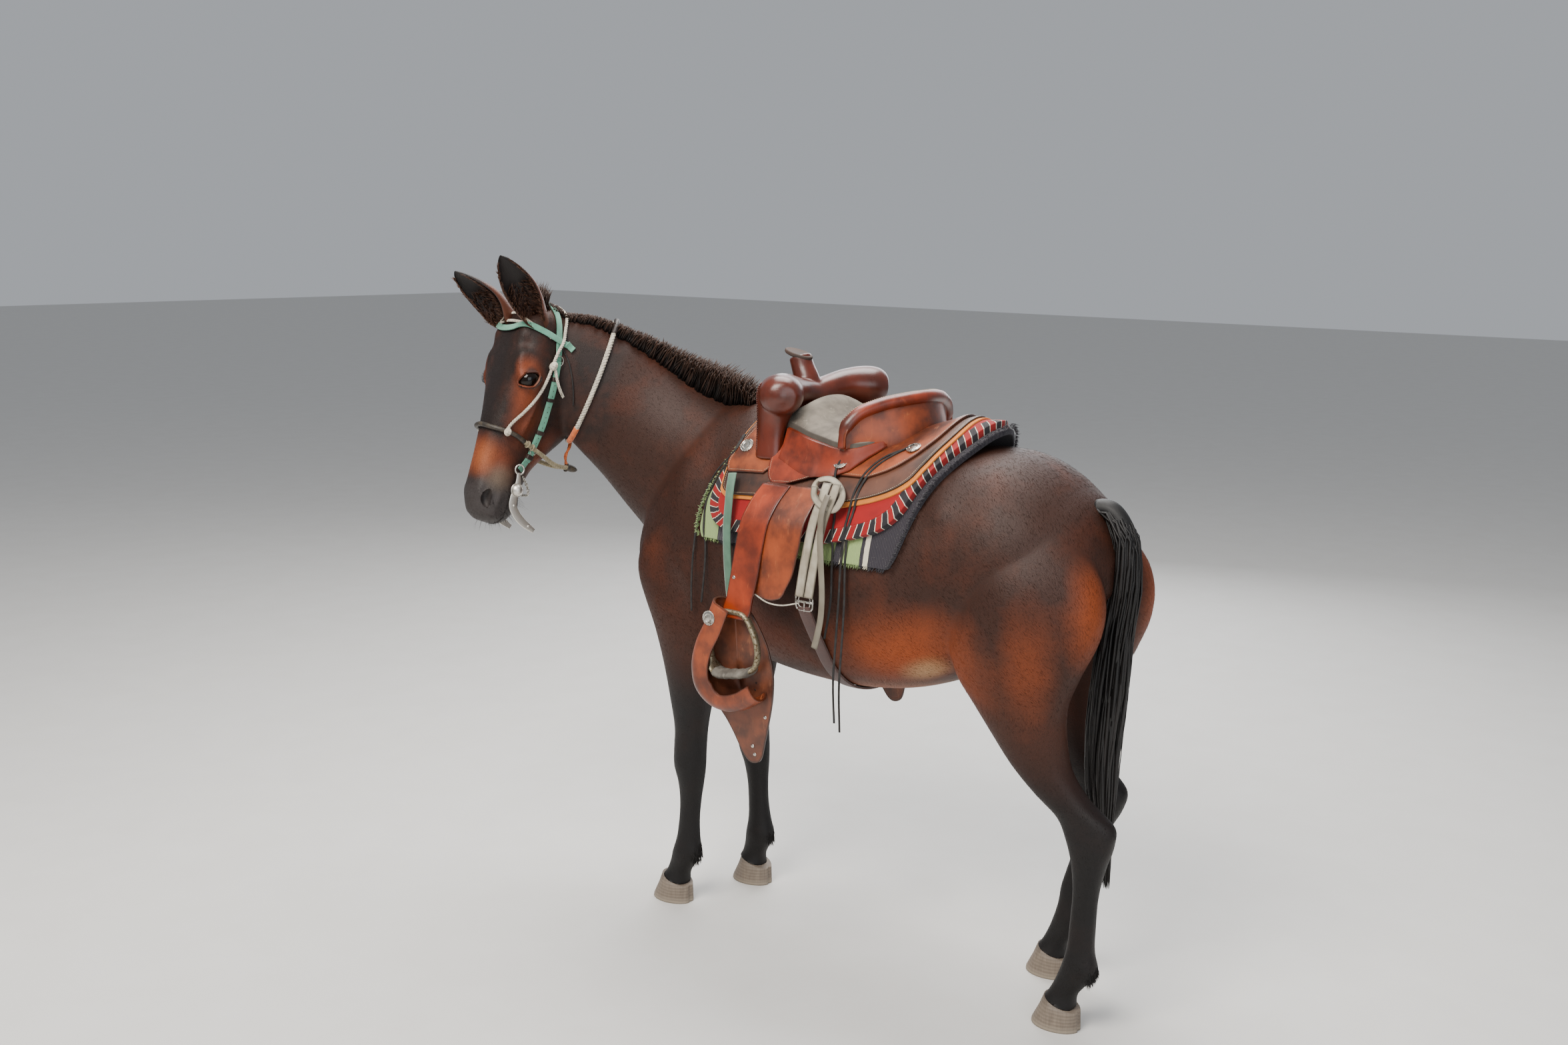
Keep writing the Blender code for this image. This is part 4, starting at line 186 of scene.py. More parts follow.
class Finish:
    """A material under construction, with its Principled shader."""

    def __init__(self, name, roughness=0.5, metallic=0.0, **fixed):
        self.material = bpy.data.materials.new(name)
        self.material.use_nodes = True
        self.tree = self.material.node_tree
        self.shader = self.tree.nodes["Principled BSDF"]
        self.shader.inputs["Roughness"].default_value = roughness
        self.shader.inputs["Metallic"].default_value = metallic
        for key, value in fixed.items():
            self.shader.inputs[key.replace("_", " ").title().replace("Ior", "IOR")].default_value = value
        self.place = self.node("ShaderNodeTexCoord").outputs["Object"]

    def node(self, kind, settings=None, sockets=None):
        made = self.tree.nodes.new(kind)
        for key, value in (settings or {}).items():
            setattr(made, key, value)
        for key, value in (sockets or {}).items():
            self.feed(made.inputs[key], value)
        return made

    def feed(self, socket, value):
        if isinstance(value, Number):
            value = value.socket
        if isinstance(value, bpy.types.NodeSocket):
            self.tree.links.new(value, socket)
        elif isinstance(value, (tuple, list, Vector)) and socket.type == "RGBA":
            socket.default_value = (*value, 1.0)[:4]
        else:
            socket.default_value = value

    def number(self, kind, settings=None, sockets=None, output=0):
        return Number(self, self.node(kind, settings, sockets).outputs[output])

    def noise(self, scale, detail=3.0, stretch=None, rough=0.55, distortion=0.0):
        where = self.scaled(stretch) if stretch else self.place
        sockets = {"Vector": where, "Scale": scale, "Detail": detail, "Roughness": rough, "Distortion": distortion}
        return self.number("ShaderNodeTexNoise", None, sockets)

    def cells(self, scale, feature="F1", stretch=None):
        where = self.scaled(stretch) if stretch else self.place
        return self.number("ShaderNodeTexVoronoi", {"feature": feature}, {"Vector": where, "Scale": scale})

    def scaled(self, stretch, where=None):
        return self.vector("MULTIPLY", where or self.place, tuple(stretch))

    def vector(self, name, *values):
        sockets = {k: value for k, value in enumerate(values)}
        return self.node("ShaderNodeVectorMath", {"operation": name}, sockets).outputs[0]

    def dot(self, where, way):
        made = self.node("ShaderNodeVectorMath", {"operation": "DOT_PRODUCT"}, {0: where, 1: tuple(way)})
        return Number(self, made.outputs["Value"])

    def attribute(self, name):
        return Number(self, self.node("ShaderNodeAttribute", {"attribute_name": name}).outputs["Fac"])

    def mix(self, share, first, second, blend="MIX"):
        settings = {"data_type": "RGBA", "blend_type": blend}
        made = self.node("ShaderNodeMix", settings, {0: share, 6: first, 7: second})
        return made.outputs[2]

    def ramp(self, share, stops):
        made = self.node("ShaderNodeValToRGB", None, {0: share})
        ramp = made.color_ramp
        ramp.elements[0].position, ramp.elements[0].color = stops[0][0], (*stops[0][1], 1.0)
        ramp.elements[1].position, ramp.elements[1].color = stops[-1][0], (*stops[-1][1], 1.0)
        for position, colour in stops[1:-1]:
            ramp.elements.new(position).color = (*colour, 1.0)
        return made.outputs[0]

    def colour(self, value):
        self.feed(self.shader.inputs["Base Color"], value)

    def roughness(self, value):
        self.feed(self.shader.inputs["Roughness"], value)

    def bump(self, height, distance, strength=1.0):
        """Adds a bump of this height, read in metres at full scale, over those added before."""
        settings = {"Height": height, "Distance": distance, "Strength": strength}
        made = self.node("ShaderNodeBump", None, settings)
        normal = self.shader.inputs["Normal"]
        if normal.is_linked:
            self.tree.links.new(normal.links[0].from_socket, made.inputs["Normal"])
        self.tree.links.new(made.outputs[0], normal)

    def blob(self, centre, radii, soft=1.0, where=None):
        """1 at a centre, fading smoothly to 0 at the radii."""
        away = self.vector("SUBTRACT", where or self.place, tuple(centre))
        away = self.vector("MULTIPLY", away, tuple(1 / r for r in radii))
        length = Number(self, self.node("ShaderNodeVectorMath", {"operation": "LENGTH"}, {0: away}).outputs["Value"])
        return 1 - length.between(1 - soft, 1.0)


# Lofted forms

def curve_through(rows, count):
    """Rows read at even steps of their first value, on a smooth curve through them all."""
    rows = np.asarray(rows, float)
    t = rows[:, 0]
    slope = np.gradient(rows, t, axis=0)
    wanted = np.linspace(t[0], t[-1], count)
    at = np.clip(np.searchsorted(t, wanted, side="right") - 1, 0, len(t) - 2)
    span = (t[at + 1] - t[at])[:, None]
    u = ((wanted - t[at]) / (t[at + 1] - t[at]))[:, None]
    return (
        (2 * u**3 - 3 * u**2 + 1) * rows[at]
        + (u**3 - 2 * u**2 + u) * span * slope[at]
        + (-2 * u**3 + 3 * u**2) * rows[at + 1]
        + (u**3 - u**2) * span * slope[at + 1]
    )


def along_points(points, count):
    """Points read at even steps of their own arc length, on a smooth curve."""
    points = np.asarray([tuple(p) for p in points], float)
    run = np.concatenate([[0], np.cumsum(np.linalg.norm(np.diff(points, axis=0), axis=1))])
    return curve_through(np.column_stack([run, points]), count)[:, 1:]


def link(name, mesh, look=None):
    made = bpy.data.objects.new(name, mesh)
    bpy.context.scene.collection.objects.link(made)
    if look:
        mesh.materials.append(look.material)
    return made


def mesh_object(name, points, faces, look=None, outward=True, smooth=True):
    mesh = bpy.data.meshes.new(name)
    mesh.from_pydata([tuple(p) for p in points], [], faces)
    if outward:
        shape = bmesh.new()
        shape.from_mesh(mesh)
        bmesh.ops.recalc_face_normals(shape, faces=shape.faces)
        if shape.calc_volume(signed=True) < 0:
            bmesh.ops.reverse_faces(shape, faces=shape.faces)
        shape.to_mesh(mesh)
        shape.free()
    mesh.polygons.foreach_set("use_smooth", np.full(len(mesh.polygons), smooth))
    return link(name, mesh, look)


def loft_faces(rings, around):
    faces = []
    for i in range(rings - 1):
        for j in range(around):
            k = (j + 1) % around
            faces.append((i * around + j, i * around + k, (i + 1) * around + k, (i + 1) * around + j))
    faces.append(tuple(reversed(range(around))))
    faces.append(tuple((rings - 1) * around + j for j in range(around)))
    return faces


def lofted(name, rings, look=None):
    rings = np.asarray([[tuple(p) for p in ring] for ring in rings], float)
    return mesh_object(name, rings.reshape(-1, 3), loft_faces(len(rings), rings.shape[1]), look)


def oval(half_width, up, down, top_power, low_power, count):
    """Side and height of points round a section whose widest level is its zero."""
    angle = np.linspace(0, 2 * math.pi, count, endpoint=False)
    cos, sin = np.cos(angle), np.sin(angle)
    power = np.where(sin >= 0, top_power, low_power)
    side = half_width * np.sign(cos) * np.abs(cos) ** power
    return side, np.where(sin >= 0, up, down) * sin


def torso():
    # y, top, bottom, half width, height of the widest level, power of the upper and lower half
    stations = (
        (-0.668, 1.05, 0.90, 0.060, 0.975, 1.0, 1.0),
        (-0.635, 1.14, 0.855, 0.120, 0.985, 1.0, 1.0),
        (-0.56, 1.28, 0.800, 0.175, 1.01, 1.1, 0.9),
        (-0.46, 1.378, 0.762, 0.200, 1.02, 1.25, 0.85),
        (-0.36, 1.400, 0.742, 0.212, 1.02, 1.40, 0.85),
        (-0.22, 1.378, 0.724, 0.238, 1.01, 1.25, 0.80),
        (-0.05, 1.335, 0.712, 0.270, 0.99, 1.05, 0.78),
        (0.10, 1.318, 0.716, 0.286, 0.98, 0.92, 0.78),
        (0.25, 1.330, 0.742, 0.276, 1.00, 0.88, 0.80),
        (0.38, 1.352, 0.795, 0.258, 1.07, 0.86, 0.85),
        (0.50, 1.336, 0.870, 0.240, 1.12, 0.86, 0.95),
        (0.60, 1.280, 0.940, 0.200, 1.12, 0.90, 1.0),
        (0.68, 1.205, 1.000, 0.135, 1.10, 1.0, 1.0),
        (0.715, 1.13, 1.040, 0.070, 1.08, 1.0, 1.0),
    )
    rings = []
    for y, top, low, half, mid, power_up, power_low in curve_through(stations, 80):
        side, height = oval(half, top - mid, mid - low, power_up, power_low, 72)
        rings.append(np.column_stack([side, np.full(72, y), mid + height]))
    return lofted("flesh torso", rings)


def neck():
    # centre x, y, z, half height to the crest, half height to the throat side, half width
    stations = (
        (0.000, -0.300, 1.115, 0.245, 0.270, 0.150),
        (0.000, -0.430, 1.155, 0.232, 0.260, 0.148),
        (0.018, -0.560, 1.232, 0.205, 0.225, 0.128),
        (0.066, -0.680, 1.328, 0.176, 0.185, 0.104),
        (0.138, -0.775, 1.418, 0.158, 0.158, 0.088),
        (0.210, -0.850, 1.490, 0.140, 0.132, 0.078),
        (0.262, -0.895, 1.530, 0.110, 0.100, 0.066),
    )
    rows = along_points(stations, 52)
    rings = []
    for i, row in enumerate(rows):
        ahead = Vector(rows[min(i + 1, 51)][:3] - rows[max(i - 1, 0)][:3]).normalized()
        crest = (Vector((0, 0, 1)) - ahead.z * ahead).normalized()
        side_way = ahead.cross(crest)
        side, height = oval(row[5], row[3], row[4], 1.15, 0.9, 60)
        middle = Vector(row[:3])
        rings.append([middle + side_way * s + crest * h for s, h in zip(side.tolist(), height.tolist())])
    return lofted("flesh neck", rings)


def head():
    # from the poll, face line, jaw line, level of the widest place, half width, two powers
    stations = (
        (-0.045, -0.035, -0.145, -0.080, 0.056, 0.9, 1.0),
        (-0.010, -0.002, -0.190, -0.060, 0.085, 0.8, 1.05),
        (0.050, 0.014, -0.232, -0.050, 0.100, 0.75, 1.10),
        (0.110, 0.016, -0.264, -0.048, 0.105, 0.72, 1.15),
        (0.165, 0.013, -0.280, -0.050, 0.105, 0.72, 1.20),
        (0.215, 0.008, -0.272, -0.055, 0.093, 0.72, 1.20),
        (0.275, 0.004, -0.247, -0.060, 0.075, 0.75, 1.15),
        (0.335, 0.001, -0.207, -0.062, 0.061, 0.80, 1.05),
        (0.395, -0.002, -0.171, -0.066, 0.054, 0.85, 0.95),
        (0.445, -0.005, -0.158, -0.070, 0.054, 0.85, 0.85),
        (0.490, -0.010, -0.156, -0.074, 0.057, 0.85, 0.82),
        (0.525, -0.020, -0.148, -0.078, 0.054, 0.90, 0.85),
        (0.550, -0.036, -0.132, -0.082, 0.044, 1.0, 1.0),
        (0.562, -0.055, -0.112, -0.084, 0.022, 1.0, 1.0),
    )
    rings = []
    for run, top, low, mid, half, power_up, power_low in curve_through(stations, 90):
        side, height = oval(half, top - mid, mid - low, power_up, power_low, 64)
        rings.append([on_head(run, mid + h, s) for s, h in zip(side.tolist(), height.tolist())])
    return lofted("flesh head", rings)


def leg_rings(stations, side, shift):
    rings = []
    for z, front, back, middle, half in curve_through([(-s[0], *s[1:]) for s in stations], 92):
        z = -z
        outline, depth = oval(half, 1.0, 1.0, 0.85, 0.85, 40)
        y = (front + back) / 2 + (back - front) / 2 * depth + shift(z)
        rings.append(np.column_stack([side * middle + outline, y, np.full(40, z)]))
    return rings


def front_leg(side):
    # height, front edge, rear edge, distance from the mid-plane, half width
    stations = (
        (1.04, -0.600, -0.370, 0.115, 0.080),
        (0.92, -0.600, -0.345, 0.130, 0.086),
        (0.80, -0.552, -0.332, 0.140, 0.076),
        (0.70, -0.526, -0.362, 0.138, 0.061),
        (0.60, -0.510, -0.385, 0.131, 0.051),
        (0.50, -0.499, -0.405, 0.125, 0.043),
        (0.45, -0.503, -0.410, 0.123, 0.043),
        (0.40, -0.504, -0.413, 0.121, 0.042),
        (0.36, -0.494, -0.417, 0.120, 0.035),
        (0.31, -0.490, -0.424, 0.119, 0.028),
        (0.24, -0.494, -0.430, STANCE_X, 0.026),
        (0.185, -0.502, -0.428, STANCE_X, 0.030),
        (0.150, -0.513, -0.424, STANCE_X, 0.035),
        (0.115, -0.522, -0.444, STANCE_X, 0.032),
        (0.085, -0.535, -0.462, STANCE_X, 0.031),
        (0.060, -0.552, -0.466, STANCE_X, 0.040),
        (0.050, -0.554, -0.466, STANCE_X, 0.041),
    )
    back_step = 0.100 if side < 0 else 0.0
    return lofted("flesh fore", leg_rings(stations, side, lambda z: back_step * max(0.0, 1 - z / 0.66)))


def hind_leg(side):
    stations = (
        (1.22, 0.400, 0.620, 0.110, 0.075),
        (1.08, 0.330, 0.715, 0.135, 0.105),
        (0.95, 0.340, 0.722, 0.150, 0.105),
        (0.86, 0.385, 0.690, 0.155, 0.092),
        (0.79, 0.422, 0.664, 0.152, 0.080),
        (0.70, 0.480, 0.664, 0.142, 0.066),
        (0.62, 0.538, 0.684, 0.132, 0.054),
        (0.565, 0.592, 0.730, 0.126, 0.045),
        (0.525, 0.640, 0.782, 0.122, 0.041),
        (0.475, 0.668, 0.786, 0.121, 0.044),
        (0.42, 0.684, 0.770, 0.120, 0.038),
        (0.36, 0.690, 0.757, 0.119, 0.029),
        (0.27, 0.687, 0.752, STANCE_X, 0.027),
        (0.200, 0.682, 0.753, STANCE_X, 0.031),
        (0.160, 0.672, 0.762, STANCE_X, 0.036),
        (0.125, 0.660, 0.742, STANCE_X, 0.033),
        (0.090, 0.644, 0.716, STANCE_X, 0.031),
        (0.062, 0.628, 0.712, STANCE_X, 0.040),
        (0.050, 0.627, 0.713, STANCE_X, 0.041),
    )
    step = -0.135 if side < 0 else 0.0
    return lofted("flesh hind", leg_rings(stations, side, lambda z: step * min(1.0, max(0.0, (0.86 - z) / 0.62))))


def joined(name, pieces, look=None):
    """One object holding all the pieces' meshes, with their attributes."""
    meshes = [piece.data for piece in pieces]
    bpy.ops.object.select_all(action="DESELECT")
    for piece in pieces:
        piece.select_set(True)
    bpy.context.view_layer.objects.active = pieces[0]
    bpy.ops.object.join()
    made = pieces[0]
    made.name = name
    made.data.name = name
    for mesh in meshes[1:]:
        bpy.data.meshes.remove(mesh)
    made.select_set(False)
    if look:
        made.data.materials.clear()
        made.data.materials.append(look.material)
    return made


def applied(made):
    """The object with its modifiers worked into its mesh."""
    bpy.context.view_layer.update()
    graph = bpy.context.evaluated_depsgraph_get()
    mesh = bpy.data.meshes.new_from_object(made.evaluated_get(graph))
    made.modifiers.clear()
    old = made.data
    made.data = mesh
    bpy.data.meshes.remove(old)
    return made


def shaped(made, kind, **settings):
    """One modifier with these settings, applied."""
    step = made.modifiers.new("step", kind)
    for key, value in settings.items():
        setattr(step, key, value)
    return applied(made)


def relaxed(points, edges, rounds, ease):
    """Points drawn to the mean of their neighbours and let back, which evens creases and keeps size."""
    ends = np.concatenate([edges[:, 0], edges[:, 1]])
    others = np.concatenate([edges[:, 1], edges[:, 0]])
    count = np.bincount(ends, minlength=len(points))
    for _ in range(rounds):
        for step in (0.5, -ease):
            mean = [np.bincount(ends, points[others, axis], len(points)) / count for axis in range(3)]
            points = points + step * (np.column_stack(mean) - points)
    return points


def edge_array(mesh):
    edges = np.empty(len(mesh.edges) * 2, np.int32)
    mesh.edges.foreach_get("vertices", edges)
    return edges.reshape(-1, 2)


def point_array(mesh):
    points = np.empty(len(mesh.vertices) * 3)
    mesh.vertices.foreach_get("co", points)
    return points.reshape(-1, 3)


def normal_array(mesh):
    normals = np.empty(len(mesh.vertices) * 3)
    mesh.vertex_normals.foreach_get("vector", normals)
    return normals.reshape(-1, 3)


def set_points(made, points):
    made.data.vertices.foreach_set("co", np.asarray(points, float).ravel())
    made.data.update()


def smoothed(made, rounds, ease=0.45):
    set_points(made, relaxed(point_array(made.data), edge_array(made.data), rounds, ease))
    return made


def moulded(points, normals, centre, radii, amount, axes=None):
    """Points raised or pressed along their normals round a centre, fading out with distance."""
    away = points - np.asarray(centre, float)
    if axes is not None:
        away = away @ np.asarray(axes, float)
    reach = ((away / np.asarray(radii, float)) ** 2).sum(1)
    return points + normals * (amount * np.exp(-1.6 * reach))[:, None]


def body_forms():
    """Muscles and hollows of the body, each as centre, radii and rise, given for the left side."""
    return (
        ((0.19, -0.60, 0.98), (0.07, 0.08, 0.10), 0.016),
        ((0.17, -0.47, 0.88), (0.07, 0.09, 0.08), 0.012),
        ((0.15, -0.46, 1.16), (0.08, 0.05, 0.16), 0.008),
        ((0.15, -0.36, 1.18), (0.08, 0.04, 0.14), -0.006),
        ((0.15, -0.40, 0.66), (0.06, 0.06, 0.08), 0.008),
        ((0.25, 0.36, 1.23), (0.05, 0.05, 0.05), 0.010),
        ((0.26, 0.34, 0.97), (0.07, 0.05, 0.11), -0.018),
        ((0.22, 0.40, 0.83), (0.07, 0.06, 0.08), 0.010),
        ((0.24, 0.54, 1.05), (0.08, 0.12, 0.14), 0.014),
        ((0.13, 0.70, 1.02), (0.08, 0.06, 0.12), 0.014),
        ((0.17, 0.62, 0.86), (0.06, 0.06, 0.12), 0.004),
        ((0.12, 0.80, 0.52), (0.03, 0.03, 0.035), 0.004),
        ((0.05, -0.66, 0.97), (0.05, 0.05, 0.08), 0.010),
    )


def head_forms():
    """Forms of the head: place from the poll, out of the face line and to the side; radii; rise."""
    return (
        ((0.125, 0.002, 0.090), (0.042, 0.022, 0.028), 0.011),
        ((0.165, -0.002, 0.100), (0.034, 0.020, 0.024), 0.010),
        ((0.058, 0.000, 0.066), (0.044, 0.026, 0.034), 0.009),
        ((0.085, -0.004, 0.084), (0.022, 0.020, 0.020), -0.008),
        ((0.180, -0.070, 0.100), (0.030, 0.016, 0.022), -0.003),
        ((0.262, -0.084, 0.076), (0.085, 0.010, 0.026), 0.007),
        ((0.270, -0.120, 0.072), (0.080, 0.022, 0.030), -0.004),
        ((0.150, -0.180, 0.078), (0.065, 0.070, 0.036), 0.010),
        ((0.245, -0.030, 0.066), (0.060, 0.016, 0.026), -0.003),
        ((0.400, -0.045, 0.054), (0.040, 0.024, 0.024), -0.003),
        ((0.490, -0.022, 0.046), (0.030, 0.012, 0.020), 0.006),
        ((0.500, -0.078, 0.052), (0.030, 0.014, 0.020), 0.006),
        ((0.540, -0.080, 0.036), (0.022, 0.022, 0.026), 0.004),
        ((0.500, -0.152, 0.014), (0.026, 0.018, 0.026), 0.007),
    )


def turn_to(out, along):
    """Axes as a turn: x along the second way as far as it is square to the first, z along the first."""
    out = Vector(out).normalized()
    along = Vector(along)
    first = (along - along.dot(out) * out).normalized()
    return Matrix((first, out.cross(first), out)).transposed().to_4x4()


def eye_place(side):
    return on_head(0.173, -0.039, side * 0.0865)


def eye_turn(side):
    """The eye's own axes: x to the inner corner of its lids, z where it looks."""
    return turn_to(head_way(0.10, 0.26, side * 0.95), head_way(0.72, 0.69, side * 0.10))


def ball(name, centre, radii, look, around=48, rings=32, turn=None):
    """A closed egg of given radii."""
    bpy.ops.object.select_all(action="DESELECT")
    bpy.ops.mesh.primitive_uv_sphere_add(segments=around, ring_count=rings, radius=1.0)
    made = bpy.context.object
    made.name = name
    made.data.name = name
    size = Matrix.Diagonal((*radii, 1.0))
    made.data.transform(Matrix.Translation(Vector(centre)) @ (turn or Matrix.Identity(4)) @ size)
    made.data.polygons.foreach_set("use_smooth", np.full(len(made.data.polygons), True))
    made.select_set(False)
    if look:
        made.data.materials.append(look.material)
    return made


def lid_bulge(side):
    radius = EYE_RADIUS + 0.004
    return ball("flesh lid", eye_place(side), (radius * 1.12, radius, radius), None, 40, 24, eye_turn(side))


def full_skin():
    """The whole hide before it is thinned: fused from the lofts, relaxed, then given its muscles and folds."""
    pieces = [torso(), neck(), head()]
    pieces += [front_leg(1), front_leg(-1), hind_leg(1), hind_leg(-1), lid_bulge(1), lid_bulge(-1)]
    skin = shaped(joined("skin", pieces), "REMESH", mode="VOXEL", voxel_size=SKIN_VOXEL)
    points = relaxed(point_array(skin.data), edge_array(skin.data), 20, 0.40)
    set_points(skin, points)
    normals = normal_array(skin.data)
    for centre, radii, rise in body_forms():
        for side in (1, -1):
            points = moulded(points, normals, (side * centre[0], *centre[1:]), radii, rise)
    turn = np.asarray(HEAD)[:3, :3]
    for place, radii, rise in head_forms():
        for side in (1, -1):
            points = moulded(points, normals, on_head(place[0], place[1], side * place[2]), radii, rise, turn)
    set_points(skin, points)
    return skin


def tree_of(made):
    made.data.calc_loop_triangles()
    corners = np.empty(len(made.data.loop_triangles) * 3, np.int32)
    made.data.loop_triangles.foreach_get("vertices", corners)
    return BVHTree.FromPolygons(point_array(made.data).tolist(), corners.reshape(-1, 3).tolist())


class Hide:
    """The outer skin, asked for places on it."""

    def __init__(self, skin):
        self.tree = tree_of(skin)

    def over(self, y, degrees, lift):
        """A place on the barrel: station, angle from straight up towards the left, height over it."""
        turn = math.radians(degrees)
        way = Vector((math.sin(turn), 0.0, math.cos(turn)))
        middle = Vector((0.0, y, 1.05))
        spot, normal, _, _ = self.tree.ray_cast(middle + way, -way)
        return spot + (0.5 * normal + 0.5 * way).normalized() * lift

    def near(self, place, lift):
        spot, normal, _, _ = self.tree.find_nearest(Vector(place))
        return spot + normal * lift, normal


# Sheets, straps, cords and stitches

def steps(count, length, margin=0.006):
    """Shares of a length at even steps, with one more step a margin in from each end."""
    edge = min(0.2, margin / length)
    return [0.0] + list(np.linspace(edge, 1 - edge, count)) + [1.0]


def measured(made, rows, columns, loop):
    """Gives a grid sheet its distances to its rim, round its rim, down and over, for stitching and wear."""
    points = point_array(made.data)[: rows * columns]
    grid = points.reshape(rows, columns, 3)
    down = np.concatenate([np.zeros((1, columns)), np.linalg.norm(np.diff(grid, axis=0), axis=2).cumsum(0)])
    over = np.concatenate([np.zeros((rows, 1)), np.linalg.norm(np.diff(grid, axis=1), axis=2).cumsum(1)], 1)
    start = points[loop]
    span = np.roll(start, -1, 0) - start
    long = np.linalg.norm(span, axis=1)
    away = points[:, None] - start[None]
    share = np.clip((away * span).sum(2) / np.maximum(long**2, 1e-12), 0.0, 1.0)
    far = np.linalg.norm(away - share[:, :, None] * span, axis=2)
    near = far.argmin(1)
    every = np.arange(len(points))
    run = np.concatenate([[0.0], long.cumsum()[:-1]])
    edge = run[near] + share[every, near] * long[near]
    for name, values in (("rim", far[every, near]), ("edge", edge), ("down", down.ravel()), ("over", over.ravel())):
        held = made.data.attributes.new(name, "FLOAT", "POINT")
        held.data.foreach_set("value", np.tile(values, 2).astype(np.float32))


def slab(name, outer, inner, look, bevel=0.0):
    """A closed sheet between two grids of places of the same size, with its edges eased."""
    outer = np.asarray([[tuple(p) for p in row] for row in outer], float)
    inner = np.asarray([[tuple(p) for p in row] for row in inner], float)
    rows, columns = outer.shape[:2]
    size = rows * columns
    faces = []
    for i in range(rows - 1):
        for j in range(columns - 1):
            a, b = i * columns + j, i * columns + j + 1
            c, d = a + columns, b + columns
            faces.append((a, b, d, c))
            faces.append((size + a, size + c, size + d, size + b))
    rim = [j for j in range(columns)]
    rim += [i * columns + columns - 1 for i in range(1, rows)]
    rim += [(rows - 1) * columns + j for j in range(columns - 2, -1, -1)]
    rim += [i * columns for i in range(rows - 2, 0, -1)]
    for k, a in enumerate(rim):
        b = rim[(k + 1) % len(rim)]
        faces.append((b, a, size + a, size + b))
    made = mesh_object(name, np.vstack([outer.reshape(-1, 3), inner.reshape(-1, 3)]), faces, look)
    measured(made, rows, columns, rim)
    GRIDS[name] = outer
    if bevel:
        shaped(made, "BEVEL", width=bevel, segments=3, limit_method="ANGLE", angle_limit=math.radians(50))
        made.data.polygons.foreach_set("use_smooth", np.full(len(made.data.polygons), True))
    return made


GRIDS = {}


def draped(name, hide, rows, down, over, low, high, look, rise=None, bevel=0.0, wave=None):
    """A sheet over the barrel. Each row: angle, front end, rear end. It fills the heights given."""
    angles = np.array([r[0] for r in rows], float)
    shares = steps(down, 0.3 * math.radians(abs(angles[-1] - angles[0])))
    fine = curve_through(rows, 400)
    outer, inner = [], []
    for share in shares:
        degrees, front, rear = fine[round(share * 399)]
        line, under = [], []
        for k in steps(over, rear - front):
            y = front + (rear - front) * k
            extra = (rise(y, degrees) if rise else 0.0) + (wave(y, degrees) if wave else 0.0)
            line.append(hide.over(y, degrees, high + extra))
            under.append(hide.over(y, degrees, low + extra))
        outer.append(line)
        inner.append(under)
    return slab(name, outer, inner, look, bevel)


def both_sides(rows):
    """Rows given from the ridge down the left side, with the right side's in front of them."""
    right = [(-row[0], *row[1:]) for row in reversed(rows) if row[0] > 0]
    return right + list(rows)


def hanging(name, side, rows, thickness, down, over, look, bulge=0.0, bevel=0.0):
    """A flat leather hanging beside the barrel. Each row: height, front, rear, distance out."""
    rows = np.asarray(rows, float)
    fine = curve_through([(-r[0], *r[1:]) for r in rows], 300)
    outer, inner = [], []
    for share in steps(down, rows[0][0] - rows[-1][0]):
        z, front, rear, out = fine[round(share * 299)]
        line, under = [], []
        for k in steps(over, rear - front):
            x = out + bulge * math.sin(math.pi * k)
            line.append((side * (x + thickness), front + (rear - front) * k, -z))
            under.append((side * x, front + (rear - front) * k, -z))
        outer.append(line)
        inner.append(under)
    return slab(name, outer, inner, look, bevel)


def side_vectors(path, outs):
    ahead = np.gradient(path, axis=0)
    ahead /= np.linalg.norm(ahead, axis=1)[:, None] + 1e-12
    outs = outs - (outs * ahead).sum(1)[:, None] * ahead
    outs /= np.linalg.norm(outs, axis=1)[:, None] + 1e-12
    return ahead, outs, np.cross(ahead, outs)


def strip(name, places, outs, width, thickness, look, bevel=0.0, crown=0.0):
    """A flat strap along places, with the way out of its face at each of them. Its down and over attributes are in
    metres.
    """
    path = np.asarray([tuple(p) for p in places], float)
    _, out, across = side_vectors(path, np.asarray([tuple(o) for o in outs], float))
    wide = np.broadcast_to(np.asarray(width, float), (len(path),))[:, None] / 2
    outer, inner = [], []
    for share in (-1.0, -0.6, 0.0, 0.6, 1.0):
        rise = thickness + crown * (1 - share * share)
        outer.append(path + across * wide * share + out * rise)
        inner.append(path + across * wide * share)
    return slab(name, np.transpose(outer, (1, 0, 2)), np.transpose(inner, (1, 0, 2)), look, bevel)


def on_skin(hide, places, count, lift):
    """A line of places drawn onto the skin, with the smoothed way out at each."""
    spots, outs = [], []
    for place in along_points(places, count):
        spot, normal = hide.near(place, lift)
        spots.append(tuple(spot))
        outs.append(tuple(normal))
    spots, outs = np.array(spots), np.array(outs)
    for _ in range(6):
        outs[1:-1] = (outs[:-2] + 2 * outs[1:-1] + outs[2:]) / 4
        spots[1:-1] = (spots[:-2] + 6 * spots[1:-1] + spots[2:]) / 8
    return spots, outs / np.linalg.norm(outs, axis=1)[:, None]


